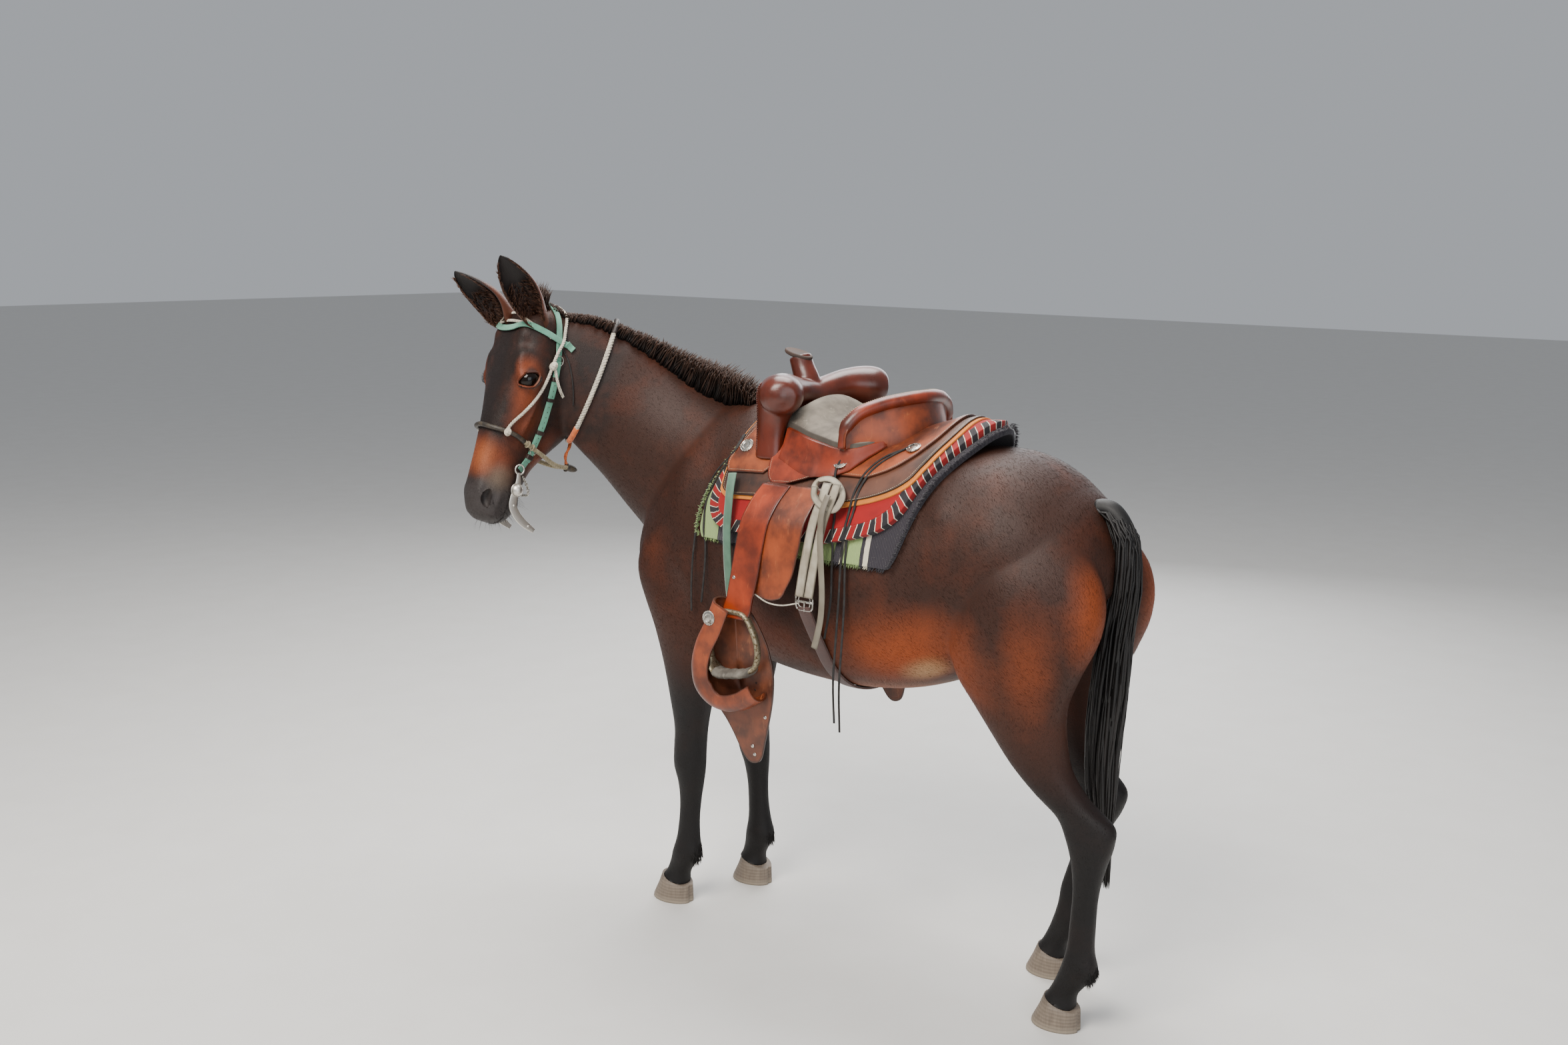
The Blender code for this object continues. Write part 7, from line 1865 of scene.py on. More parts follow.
def concho(name, spot, out, look):
    """A round metal plate: a scalloped dish with raised and sunk rings round a raised middle."""
    bpy.ops.object.select_all(action="DESELECT")
    bpy.ops.mesh.primitive_cylinder_add(vertices=72, radius=0.0185, depth=0.003, location=(0, 0, 0.0015))
    made = bpy.context.object
    made.name = name
    shape = bmesh.new()
    shape.from_mesh(made.data)
    top = max(shape.faces, key=lambda f: f.calc_center_median().z)
    for thickness, depth in ((0.0014, 0.0004), (0.0012, -0.0007), (0.0040, 0.0016), (0.0012, 0.0), (0.0012, -0.0009), (0.0050, 0.0010)):
        bmesh.ops.inset_region(shape, faces=[top], thickness=thickness, depth=depth, use_even_offset=True)
    for vert in shape.verts:
        reach = vert.co.xy.length
        if reach > 0.0150:
            turn = math.atan2(vert.co.y, vert.co.x)
            vert.co.xy *= 1 + 0.022 * math.cos(turn * 18)
    shape.to_mesh(made.data)
    shape.free()
    shaped(made, "BEVEL", width=0.0003, segments=2, limit_method="ANGLE", angle_limit=math.radians(35))
    turn = out.to_track_quat("Z", "Y").to_matrix().to_4x4()
    made.data.transform(Matrix.Translation(spot) @ turn)
    made.data.polygons.foreach_set("use_smooth", np.full(len(made.data.polygons), True))
    made.data.materials.append(look.material)
    return made


CONCHOS = {"front": (-0.234, 32.5, 0.0480), "mid": (0.074, 39.5, 0.0640), "rear": (0.235, 25.0, 0.0500)}


def closed_curve(points, count):
    """Even places on a smooth closed line through the points."""
    points = np.asarray(points, float)
    at = np.arange(count) / count * len(points)
    i = at.astype(int) % len(points)
    t = (at - at.astype(int))[:, None]
    p = [points[(i + k) % len(points)] for k in (-1, 0, 1, 2)]
    return 0.5 * (2 * p[1] + (p[2] - p[0]) * t + (2 * p[0] - 5 * p[1] + 4 * p[2] - p[3]) * t * t
                  + (3 * p[1] - p[0] - 3 * p[2] + p[3]) * t**3)


STIRRUP = ((-0.135, 0.932), (-0.100, 0.928), (-0.080, 0.905), (-0.062, 0.868), (-0.057, 0.832), (-0.066, 0.803), (-0.090, 0.785),
           (-0.130, 0.776), (-0.170, 0.772), (-0.192, 0.790), (-0.202, 0.828), (-0.198, 0.868), (-0.182, 0.905), (-0.165, 0.928))


def stirrup(look):
    """A bow of worn metal, round in section above and wide under the foot."""
    line = closed_curve(STIRRUP, 96)
    middle = np.array((-0.130, 0.852))
    away = line - middle
    away /= np.linalg.norm(away, axis=1)[:, None]
    low = np.clip((0.803 - line[:, 1]) / 0.02, 0, 1)
    wide = 0.010 + 0.015 * low
    rings = []
    for place, way, half in zip(line, away, wide):
        ring = []
        for k in range(16):
            turn = 2 * math.pi * k / 16
            deep, across = 0.0066 * math.cos(turn), half * math.copysign(abs(math.sin(turn)) ** 0.8, math.sin(turn))
            ring.append((0.361 + across, place[0] + way[0] * deep, place[1] + way[1] * deep))
        rings.append(ring)
    points = np.asarray(rings).reshape(-1, 3)
    i, k = np.meshgrid(np.arange(96), np.arange(16), indexing="ij")
    a, b, j = i * 16, ((i + 1) % 96) * 16, (k + 1) % 16
    return mesh_object("stirrup", points, np.stack([a + k, a + j, b + j, b + k], -1).reshape(-1, 4).tolist(), look)


def tread(look):
    """The grey leather wrapped round the foot of the stirrup, with its frayed lip."""
    line = closed_curve(STIRRUP, 96)
    pick = [p for p in line if p[1] < 0.796 and -0.180 < p[0] < -0.072]
    pick.sort(key=lambda p: p[0])
    rings = []
    for n, place in enumerate(along_points([(0, *p) for p in pick], 30)):
        ring = []
        for k in range(28):
            turn = 2 * math.pi * k / 28
            wave = 0.0006 * math.sin(n * 2.1) + 0.0004 * math.sin(n * 5.3 + k)
            ring.append((0.361 + (0.0272 + wave) * math.sin(turn), place[1], place[2] + (0.0112 + 2 * wave) * math.cos(turn)))
        rings.append(ring)
    return lofted("stirrup tread", rings, look)


OUTLINE = (
    (-0.150, 0.950), (-0.110, 0.938), (-0.084, 0.911), (-0.049, 0.853), (-0.030, 0.789), (-0.028, 0.740), (-0.034, 0.689),
    (-0.050, 0.610), (-0.060, 0.566), (-0.074, 0.551), (-0.096, 0.550), (-0.118, 0.570), (-0.152, 0.622), (-0.190, 0.672), (-0.226, 0.725),
    (-0.246, 0.777), (-0.236, 0.840), (-0.205, 0.905), (-0.180, 0.945),
)


def hood_sheet(look):
    """The big inner leather of the hood, down to its point."""
    line = closed_curve(OUTLINE, 120)
    middle = np.array((-0.135, 0.770))
    outer, inner = [], []
    for share in (0.02, 0.25, 0.5, 0.72, 0.88, 0.96, 0.985, 1.0):
        ring_in, ring_out = [], []
        for place in np.vstack([line, line[:1]]):
            y, z = middle + (place - middle) * share
            bend = 0.018 * max(0.0, (-0.17 - y) / 0.075) * min(1.0, max(0.0, (z - 0.60) / 0.08))
            ring_in.append((0.3300 + bend, y, z))
            ring_out.append((0.3348 + bend, y, z))
        inner.append(ring_in)
        outer.append(ring_out)
    made = slab("hood sheet", outer, inner, None)
    reach = np.tile(np.repeat(np.array((0.98, 0.75, 0.5, 0.28, 0.12, 0.04, 0.015, 0.0)) * 0.11, 121), 2)
    made.data.attributes["rim"].data.foreach_set("value", reach.astype(np.float32))
    shape = bmesh.new()
    shape.from_mesh(made.data)
    bmesh.ops.remove_doubles(shape, verts=shape.verts, dist=0.00001)
    bmesh.ops.delete(shape, geom=[f for f in shape.faces if len({v.index for v in f.verts}) < 3], context="FACES")
    shape.to_mesh(made.data)
    shape.free()
    made.data.materials.append(look.material)
    return made


def hood_band(look):
    """The thick outer band of the hood, bent round its front and under the foot."""
    line = ((-0.172, 0.958), (-0.196, 0.900), (-0.226, 0.840), (-0.238, 0.780), (-0.226, 0.730), (-0.190, 0.700), (-0.140, 0.692), (-0.090, 0.706), (-0.045, 0.735))
    middle = Vector((-0.120, 0.840))
    path = along_points([(*p, 0) for p in line], 60)
    outer, inner = [], []
    for i, place in enumerate(path):
        place = Vector(place[:2])
        ahead = Vector(path[min(i + 1, 59)][:2] - path[max(i - 1, 0)][:2]).normalized()
        inward = Vector((-ahead.y, ahead.x))
        if inward.dot(middle - place) < 0:
            inward = -inward
        wide = 0.050 - 0.016 * min(1.0, max(0.0, (i - 36) / 8))
        profile = np.array(((0.3355, 0.004), (0.345, -0.008), (0.365, -0.013), (0.383, -0.007), (0.391, 0.004), (0.3925, 0.5 * wide), (0.392, wide)))
        fine = along_points([(*p, 0) for p in profile], 26)
        line_out, line_in = [], []
        for x, d, _ in fine.tolist():
            line_out.append((x, *(place + inward * d)))
            line_in.append((x - 0.0042 if x > 0.37 else x + 0.001, *(place + inward * (d + (0.0046 if d < 0.004 else 0.0)))))
        outer.append(line_out)
        inner.append(line_in)
    return slab("hood band", outer, inner, look, 0.0012)


# The bridle

def head_line(half):
    """Places of the head's left side after their mirror images, from the mid-line of the left back."""
    return [on_head(a, b, -c) for a, b, c in reversed(half) if c > 0.001] + [on_head(a, b, c) for a, b, c in half]


def webbing_strap(name, places, count, width, thick, lift, look):
    spots, outs = on_skin(HIDE, places, count, lift)
    return strip(name, spots, outs, width, thick, look, 0.0006, 0.0004)


def box_piece(name, centre, axes, sizes, look, bevel=0.0006):
    """A small eased block: a keeper, wrap or buckle bar. axes: three ways; sizes: full lengths."""
    bpy.ops.object.select_all(action="DESELECT")
    bpy.ops.mesh.primitive_cube_add(size=1.0)
    made = bpy.context.object
    made.name = name
    turn = Matrix([Vector(a).normalized() for a in axes]).transposed().to_4x4()
    made.data.transform(Matrix.Translation(Vector(centre)) @ turn @ Matrix.Diagonal((*sizes, 1.0)))
    shaped(made, "BEVEL", width=bevel, segments=3, limit_method="ANGLE")
    made.data.polygons.foreach_set("use_smooth", np.full(len(made.data.polygons), True))
    if look:
        made.data.materials.append(look.material)
    return made


def crown_path():
    half = ((-0.047, -0.046, 0.0), (-0.043, -0.058, 0.041), (-0.012, -0.071, 0.074), (0.031, -0.082, 0.088), (0.088, -0.098, 0.098),
            (0.149, -0.106, 0.102), (0.212, -0.119, 0.092), (0.271, -0.131, 0.072), (0.328, -0.132, 0.056), (0.371, -0.130, 0.050),
            (0.404, -0.116, 0.050))
    return head_line(half)


def brow_path():
    half = ((0.050, 0.022, 0.0), (0.046, 0.014, 0.045), (0.040, -0.008, 0.070), (0.045, -0.052, 0.090), (0.053, -0.122, 0.097))
    return head_line(half)


def part_of(path, start, end, count):
    """Even places on part of a line, given by shares of its length."""
    fine = along_points(path, 401)
    picks = np.linspace(start * 400, end * 400, count)
    return np.column_stack([np.interp(picks, np.arange(401), fine[:, k]) for k in range(3)])


def keeper_round(name, path, share, width, height, look, lift=0.003):
    """A dark loop round a strap at a share of its path."""
    fine = along_points(path, 401)
    i = int(share * 400)
    spot, normal = HIDE.near(Vector(fine[i]), lift)
    ahead = Vector(fine[min(400, i + 4)] - fine[max(0, i - 4)]).normalized()
    across = ahead.cross(normal).normalized()
    return box_piece(name, spot, (across, ahead, normal), (width, height, 0.0115), look, 0.0016)


def headstall(look):
    """The green webbing: crownpiece, doubled cheekpieces with their line of holes, and the browband."""
    crown = crown_path()
    pieces = [webbing_strap("crown", crown, 120, 0.018, 0.0030, 0.0008, None)]
    for low, high in ((0.03, 0.30), (0.70, 0.97)):
        pieces.append(webbing_strap("cheek", part_of(crown, low, high, 50), 60, 0.0165, 0.0026, 0.0041, None))
    brow = brow_path()
    pieces.append(webbing_strap("browband", brow, 70, 0.0165, 0.0030, 0.0046, None))
    for side in (1, -1):
        spot, normal = HIDE.near(on_head(0.053, -0.122, side * 0.097), 0.006)
        down = head_way(0.45, -1.0, 0.0).normalized()
        path = [spot + down * 0.014 * t + normal * 0.004 * t * t for t in np.linspace(-0.6, 1.4, 8)]
        pieces.append(strip("free end", path, [normal] * 8, 0.0165, 0.0028, None, 0.0005))
    return joined("headstall dressed", pieces, look)


def headstall_holes(look):
    """The dark eyelets down both cheekpieces."""
    crown, pieces = crown_path(), []
    for low, high in ((0.05, 0.26), (0.74, 0.95)):
        spots, outs = on_skin(HIDE, part_of(crown, low, high, 30), 60, 0.0069)
        for i in range(2, 58, 4):
            turn = turn_to(outs[i], spots[i + 1] - spots[i])
            pieces.append(ball("eyelet", spots[i], (0.0020, 0.0013, 0.0007), None, 12, 8, turn))
    return joined("headstall holes", pieces, look)


def wire_hook(centre, side, size, look):
    """A bent wire buckle lying on the cheekpiece."""
    spot, normal = HIDE.near(centre, 0.0085)
    ahead = head_way(1, -0.15, 0).normalized()
    across = ahead.cross(normal).normalized()
    path = []
    for a, b in ((-0.5, 1.0), (-0.9, 0.35), (-0.9, -0.5), (-0.4, -1.0), (0.4, -1.0), (0.9, -0.5), (0.9, 0.35), (0.5, 1.0)):
        path.append(spot + across * a * size + ahead * b * size)
    return tube("hook", along_points(path, 50), 0.0011, look, 8)


def bit(side, look):
    """One cheek of the bit: ring, silver boss, and the curved flat shank with its small studs."""
    line = ((0.413, -0.108), (0.432, -0.114), (0.458, -0.117), (0.478, -0.116), (0.500, -0.119), (0.519, -0.136), (0.534, -0.162), (0.547, -0.203))
    wide = (0.010, 0.016, 0.022, 0.023, 0.023, 0.022, 0.019, 0.013)
    path = along_points([(*p, 0) for p in line], 40)
    widths = np.interp(np.linspace(0, 1, 40), np.linspace(0, 1, 8), wide)
    outer, inner = [], []
    for i, place in enumerate(path):
        ahead = Vector(path[min(i + 1, 39)] - path[max(i - 1, 0)]).normalized()
        across = Vector((-ahead.y, ahead.x, 0)) * float(widths[i]) / 2
        line_out, line_in = [], []
        for share in (-1.0, -0.8, 0.0, 0.8, 1.0):
            spot = Vector(place) + across * share
            line_out.append(on_head(spot.x, spot.y, side * (0.0640 + 0.0010 * (1 - share * share))))
            line_in.append(on_head(spot.x, spot.y, side * 0.0605))
        outer.append(line_out)
        inner.append(line_in)
    pieces = [slab(f"plate {side}", outer, inner, None, 0.0008)]
    turn = turn_to(head_way(0, 0, side), head_way(1, 0, 0))
    pieces.append(ball("boss", on_head(0.458, -0.117, side * 0.0645), (0.0165, 0.0165, 0.0150), None, 40, 24, turn))
    ring = [on_head(0.458 + 0.0176 * math.cos(t), -0.117 + 0.0176 * math.sin(t), side * 0.0652) for t in np.linspace(0, 2 * math.pi, 48, endpoint=False)]
    pieces.append(tube("boss ring", ring, 0.0012, None, 10, True))
    loop = [on_head(0.404 + 0.0130 * math.cos(t), -0.108 + 0.0130 * math.sin(t), side * 0.0625) for t in np.linspace(0, 2 * math.pi, 48, endpoint=False)]
    pieces.append(tube("cheek ring", loop, 0.0022, None, 12, True))
    for a, b in ((0.500, -0.122), (0.540, -0.182)):
        pieces.append(ball("stud", on_head(a, b, side * 0.0655), (0.0032, 0.0032, 0.0016), None, 16, 10, turn))
    return joined("bit " + ("left" if side > 0 else "right"), pieces, look)


def curb_chain(look):
    """Flat twisted links from one bit ring, under the chin, to the other."""
    curb = [on_head(0.420, -0.125, 0.0615), on_head(0.440, -0.148, 0.057), on_head(0.455, -0.166, 0.040), on_head(0.460, -0.174, 0.0)]
    curb += [on_head(0.455, -0.166, -0.040), on_head(0.440, -0.148, -0.057), on_head(0.420, -0.125, -0.0615)]
    fine = along_points(curb, 61)
    pieces = []
    for n in range(30):
        spot = Vector(fine[2 * n + 1])
        ahead = Vector(fine[2 * n + 2] - fine[2 * n]).normalized()
        side = ahead.cross(Vector((0.3, 0.2, 1.0))).normalized()
        if n % 2:
            side = ahead.cross(side).normalized()
        link_path = [spot + ahead * 0.0068 * math.cos(t) + side * 0.0034 * math.sin(t) for t in np.linspace(0, 2 * math.pi, 16, endpoint=False)]
        pieces.append(tube("link", link_path, 0.0010, None, 8, True))
    return joined("curb chain dressed", pieces, look)


def nose_path():
    """The noseband's line: over the nose on the hide, then down free to the heel knot."""
    near = ((0.316, -0.002, 0.0), (0.318, -0.006, 0.024), (0.319, -0.016, 0.046), (0.319, -0.034, 0.060), (0.321, -0.060, 0.066),
            (0.330, -0.095, 0.064), (0.338, -0.130, 0.058))
    free = ((0.346, -0.175, 0.046), (0.353, -0.215, 0.030), (0.353, -0.250, 0.016), (0.346, -0.283, 0.004))
    snapped = []
    for place in near:
        spot, _ = HIDE.near(on_head(*place), 0.0062)
        snapped.append(tuple(TO_HEAD @ spot))
    half = [(a, b, -c) for a, b, c in snapped] + list(free)
    half[0] = (half[0][0], half[0][1], 0.0)
    return head_line([(a, b, abs(c)) for a, b, c in half])


def bosal(dark, pale):
    """The dark noseband, its pale wrapped cheeks, and the heel knot."""
    fine = along_points(nose_path(), 241)
    nose = tube("noseband", fine[70:171], 0.0066, None, 16)
    pieces = [nose]
    wraps = []
    for low, high in ((0, 72), (169, 241)):
        wraps.append(rope("bosal cheek", fine[low:high], 0.0062, None, 4, 0.030, False, 10))
    heel = ball("heel", on_head(0.344, -0.294, 0.0), (0.0105, 0.0105, 0.0220), None, 32, 20, turn_to(head_way(-0.05, -1, 0), head_way(1, 0, 0)))
    collar = [on_head(0.346 + 0.0095 * math.cos(t), -0.281, 0.0095 * math.sin(t)) for t in np.linspace(0, 2 * math.pi, 32, endpoint=False)]
    pieces += [heel, tube("collar", collar, 0.0036, None, 10, True)]
    bands = []
    for i in (66, 60, 175, 181):
        ring = []
        ahead = Vector(fine[min(240, i + 2)] - fine[i - 2]).normalized()
        first = ahead.orthogonal().normalized()
        second = ahead.cross(first)
        for t in np.linspace(0, 2 * math.pi, 24, endpoint=False):
            ring.append(Vector(fine[i]) + (first * math.cos(t) + second * math.sin(t)) * 0.0082)
        bands.append(tube("wrap", ring, 0.0022, None, 8, True))
    return joined("noseband dressed", pieces, dark), joined("noseband wraps", wraps + bands, pale)


def knot(name, centre, size, look, turn=0.0):
    """A cord knot: three crossing turns pulled tight."""
    pieces = []
    for n in range(3):
        first = Vector((math.cos(turn + n * 1.1), math.sin(turn + n * 1.1), 0.35 * (n - 1))).normalized()
        second = Vector((-first.y * 0.4, first.x * 0.4, 1.0)).normalized()
        ring = [Vector(centre) + (first * math.cos(t) + second * math.sin(t)) * size * 0.62 for t in np.linspace(0, 2 * math.pi, 26, endpoint=False)]
        pieces.append(tube("turn", ring, size * 0.42, None, 10, True))
    return joined(name, pieces, look)


def hanger(look):
    """The white cord that holds the noseband up: over the poll, down both cheeks, with its knots and free ends."""
    half = [(-0.056, -0.070, 0.0), (-0.050, -0.088, 0.040), (-0.027, -0.100, 0.064), (0.021, -0.100, 0.087), (0.048, -0.099, 0.095),
            (0.085, -0.086, 0.104), (0.118, -0.084, 0.108), (0.150, -0.084, 0.108), (0.219, -0.074, 0.092), (0.258, -0.059, 0.079),
            (0.300, -0.041, 0.066), (0.322, -0.034, 0.066)]
    lifts = (0.0035, 0.0035, 0.0035, 0.0045, 0.0105, 0.0115, 0.0080, 0.0045, 0.0035, 0.0035, 0.0035, 0.0060)
    path = []
    for lift, place in zip(lifts, half):
        spot, _ = HIDE.near(on_head(*place), lift)
        path.append(tuple(TO_HEAD @ spot))
    path[0] = (path[0][0], path[0][1], 0.0)
    whole = head_line([(a, b, abs(c)) for a, b, c in path])
    pieces = [rope("hanger", along_points(whole, 160), 0.0044, None, 3, 0.020)]
    for side in (1, -1):
        pieces.append(knot("knot", on_head(0.120, -0.086, side * 0.113), 0.0118, None))
        pieces.append(knot("knot", on_head(0.322, -0.036, side * 0.072), 0.0104, None, 0.6))
        end = [on_head(0.122, -0.092, side * 0.112), on_head(0.145, -0.104, side * 0.114), on_head(0.168, -0.122, side * 0.112), on_head(0.186, -0.146, side * 0.104)]
        pieces.append(rope("end", along_points(end, 40), 0.0042, None, 3, 0.018))
    return joined("hanger cord dressed", pieces, look)


def brow_cords(look):
    """Two loose pale cords over the forehead, above the browband."""
    loop = ((0.052, -0.060, 0.091), (0.034, -0.012, 0.071), (0.004, 0.010, 0.020), (0.004, 0.018, -0.030), (0.014, 0.020, -0.062),
            (0.030, 0.018, -0.058), (0.028, 0.016, -0.020), (0.030, 0.012, 0.030), (0.038, -0.006, 0.066))
    spots, outs = on_skin(HIDE, [on_head(*p) for p in loop], 110, 0.0045)
    return joined("brow cord dressed", [tube("brow", spots, 0.0040, None, 12, False, 0.62, outs)], look)


def neck_rope_path(count):
    middle = Vector((0.151, -0.789, 1.431))
    first, second = Vector((-0.2825, 0.251, 0.9256)), Vector((0.66, 0.742, 0.0))
    path = []
    for k in range(count):
        turn = 2 * math.pi * k / count
        way = first * math.cos(turn) + second * math.sin(turn)
        spot, _, _, _ = HIDE.tree.ray_cast(middle + way * 0.5, -way)
        crest = math.exp(-((min(turn, 2 * math.pi - turn) / 0.28) ** 2))
        path.append(tuple(spot + way * (0.0055 + 0.022 * crest)))
    return np.asarray(path)


def orange_cords(look):
    """The frayed orange cords that tie the neck rope to the noseband's heel."""
    pieces = []
    for shift in (-0.0035, 0.0, 0.0035):
        tie = [on_head(0.262, -0.240, 0.004 + shift), on_head(0.268, -0.262, 0.004 + shift), on_head(0.290, -0.266, 0.008 + shift),
               on_head(0.318, -0.264, 0.006 - shift), on_head(0.338, -0.276, 0.001 + shift)]
        pieces.append(rope("tie", along_points(tie, 60), 0.0032, None, 3, 0.014))
    return joined("orange cords", pieces, look)


# Putting it together

FENDER = ((1.246, -0.106, 0.058, 0.262), (1.215, -0.115, 0.056, 0.291), (1.17, -0.124, 0.048, 0.320), (1.10, -0.130, 0.040, 0.334),
          (1.03, -0.125, 0.022, 0.338), (1.003, -0.108, 0.008, 0.339), (0.988, -0.092, 0.000, 0.339), (0.978, -0.072, -0.012, 0.339), (0.973, -0.052, -0.028, 0.339))
STRAP = ((1.244, -0.112, -0.030, 0.2685), (1.215, -0.120, -0.038, 0.2965), (1.17, -0.130, -0.048, 0.3255), (1.10, -0.139, -0.058, 0.3405),
         (1.03, -0.148, -0.067, 0.3465), (0.97, -0.156, -0.078, 0.352), (0.925, -0.162, -0.087, 0.357), (0.916, -0.156, -0.093, 0.358))
LATIGO_FRONT = ((1.262, 0.060, 0.084, 0.262), (1.235, 0.062, 0.086, 0.284), (1.18, 0.052, 0.076, 0.305), (1.10, 0.043, 0.067, 0.321),
                (0.990, 0.026, 0.050, 0.3235))
LATIGO_REAR = ((1.262, 0.088, 0.110, 0.262), (1.235, 0.089, 0.112, 0.282), (1.18, 0.079, 0.102, 0.303), (1.10, 0.070, 0.093, 0.3195),
               (0.990, 0.052, 0.077, 0.3235))


def buckle(side, look):
    """The cinch's double-framed roller buckle with its tongue."""
    centre = Vector((side * 0.3205, 0.050, 0.978))
    pieces = []
    for size in (0.0245, 0.0165):
        path = []
        for t in np.linspace(0, 2 * math.pi, 64, endpoint=False):
            y = size * math.copysign(abs(math.cos(t)) ** 0.5, math.cos(t))
            z = 0.86 * size * math.copysign(abs(math.sin(t)) ** 0.5, math.sin(t))
            path.append(centre + Vector((0, y, z)))
        pieces.append(tube("frame", path, 0.0024 if size > 0.02 else 0.0018, None, 12, True))
    bar = [centre + Vector((0, y, 0.0)) for y in np.linspace(-0.024, 0.024, 12)]
    pieces.append(tube("roller", bar, 0.0034, None, 16))
    tongue = [centre + Vector((side * 0.003, 0.002, z)) for z in np.linspace(0.0, -0.0235, 10)]
    pieces.append(tube("tongue", tongue, np.linspace(0.0022, 0.0014, 10), None, 12))
    return joined("buckle " + ("left" if side > 0 else "right"), pieces, look)


def cinch(look):
    places, outs = [], []
    for k in range(81):
        degrees = 106.5 + (253.5 - 106.5) * k / 80
        spot = HIDE.over(0.050 + 0.027 * math.sin(math.pi * k / 80), degrees, 0.0010)
        spot.x += math.copysign(0.036, spot.x) * max(0.0, (spot.z - 0.84) / 0.125) ** 1.4
        turn = math.radians(degrees)
        places.append(spot)
        outs.append(Vector((math.sin(turn), 0, math.cos(turn))))
    return strip("cinch dressed", places, outs, 0.036, 0.0055, look, 0.0008, 0.0008)


def rivets(name, spots, outs, size, look):
    pieces = [ball("rivet", spot, (size, size, size * 0.45), None, 20, 12, turn_to(out, (0.1, 0.9, 0.3))) for spot, out in zip(spots, outs)]
    return joined(name, pieces, look)


def soft_string(name, points, radius, look, count=80):
    return tube(name, along_points(points, count), radius, look, 10)


LAYERS = ("blanket", "pad", "skirt", "rear_jockey", "seat_jockey_left_look", "front_jockey_left_look", "fender_left_look")


def over_layers(points, lift, count):
    """A line of places pushed out of the saddle's layers on the left side, with the way out at each."""
    if "tree" not in OVER:
        SKIN.data.calc_loop_triangles()
        verts = point_array(SKIN.data).tolist()
        faces = [tuple(t.vertices) for t in SKIN.data.loop_triangles]
        for name in LAYERS:
            mesh = bpy.data.objects[name].data
            mesh.calc_loop_triangles()
            base = len(verts)
            verts += (point_array(mesh) - np.array(SHIFT)).tolist()
            faces += [tuple(base + i for i in t.vertices) for t in mesh.loop_triangles]
        OVER["tree"] = BVHTree.FromPolygons(verts, faces)
    spots, outs = [], []
    for place in along_points(points, count):
        place = Vector(place)
        middle = Vector((0.0, place.y, 1.05))
        way = (place - middle).normalized()
        hit, _, _, _ = OVER["tree"].ray_cast(middle + way * 0.8, -way)
        far = (place - middle).length
        if hit is not None:
            far = max(far, (hit - middle).length + lift)
        spots.append(middle + way * far)
        outs.append(way)
    return spots, outs


OVER = {}


def lace(name, points, radius, look, slot, squash=0.6):
    """A string or narrow strap that starts on the saddle and hangs free, on both sides of the mule."""
    path, outs = over_layers(points, radius * squash + 0.0006, 70)
    path = np.asarray([tuple(p) for p in path])
    for _ in range(4):
        path[1:-1] = (path[:-2] + 2 * path[1:-1] + path[2:]) / 4
    outs = np.asarray([tuple(o) for o in outs])
    for word, side in (("left", 1), ("right", -1)):
        line = path * (side, 1, 1)
        made = tube(f"{name} {word}", line, radius, look, 10, False, squash, outs * (side, 1, 1))
        placed(made, slot)
        line = [tuple(Vector(p) + SHIFT) for p in line]


STRINGS = (
    ("rear string", ((0.133, 0.229, 1.357), (0.162, 0.189, 1.329), (0.197, 0.162, 1.302), (0.235, 0.145, 1.255), (0.262, 0.146, 1.200),
                     (0.278, 0.140, 1.130), (0.290, 0.143, 1.060), (0.296, 0.148, 0.993), (0.298, 0.145, 0.885), (0.298, 0.140, 0.775),
                     (0.298, 0.145, 0.666))),
    ("rear string b", ((0.133, 0.236, 1.352), (0.160, 0.176, 1.325), (0.213, 0.142, 1.283), (0.245, 0.134, 1.241), (0.270, 0.134, 1.174),
                       (0.288, 0.131, 1.089), (0.299, 0.134, 1.000), (0.300, 0.129, 0.890), (0.300, 0.124, 0.787), (0.300, 0.130, 0.686))),
    ("middle string", ((0.209, 0.080, 1.325), (0.222, 0.068, 1.295), (0.250, 0.085, 1.235), (0.274, 0.100, 1.170), (0.290, 0.106, 1.068),
                       (0.300, 0.112, 0.988), (0.301, 0.097, 0.891))),
    ("front string", ((0.149, -0.263, 1.337), (0.186, -0.262, 1.300), (0.188, -0.305, 1.262), (0.176, -0.345, 1.222),
                      (0.200, -0.371, 1.130), (0.216, -0.372, 1.060), (0.222, -0.377, 0.938), (0.222, -0.376, 0.871))),
    ("front string b", ((0.149, -0.268, 1.335), (0.190, -0.275, 1.285), (0.196, -0.310, 1.235), (0.198, -0.340, 1.180),
                        (0.214, -0.338, 1.100), (0.224, -0.330, 1.020), (0.226, -0.340, 0.900))),
)
GREEN_STRAP = ((0.240, -0.232, 1.252), (0.258, -0.226, 1.215), (0.268, -0.223, 1.170), (0.275, -0.222, 1.120), (0.278, -0.218, 1.060),
               (0.279, -0.212, 0.990), (0.279, -0.200, 0.903))
LOOP = ((0.282, 0.052, 1.244), (0.266, 0.036, 1.250), (0.246, 0.032, 1.259), (0.240, 0.058, 1.266), (0.250, 0.098, 1.252), (0.276, 0.120, 1.226),
        (0.290, 0.110, 1.205), (0.300, 0.078, 1.214), (0.302, 0.060, 1.236), (0.296, 0.058, 1.256))
LATIGO_TAIL = ((0.300, 0.098, 1.240), (0.316, 0.092, 1.202), (0.324, 0.094, 1.146), (0.333, 0.104, 1.076), (0.335, 0.110, 1.005),
               (0.333, 0.106, 0.946), (0.330, 0.096, 0.905), (0.328, 0.086, 0.871))


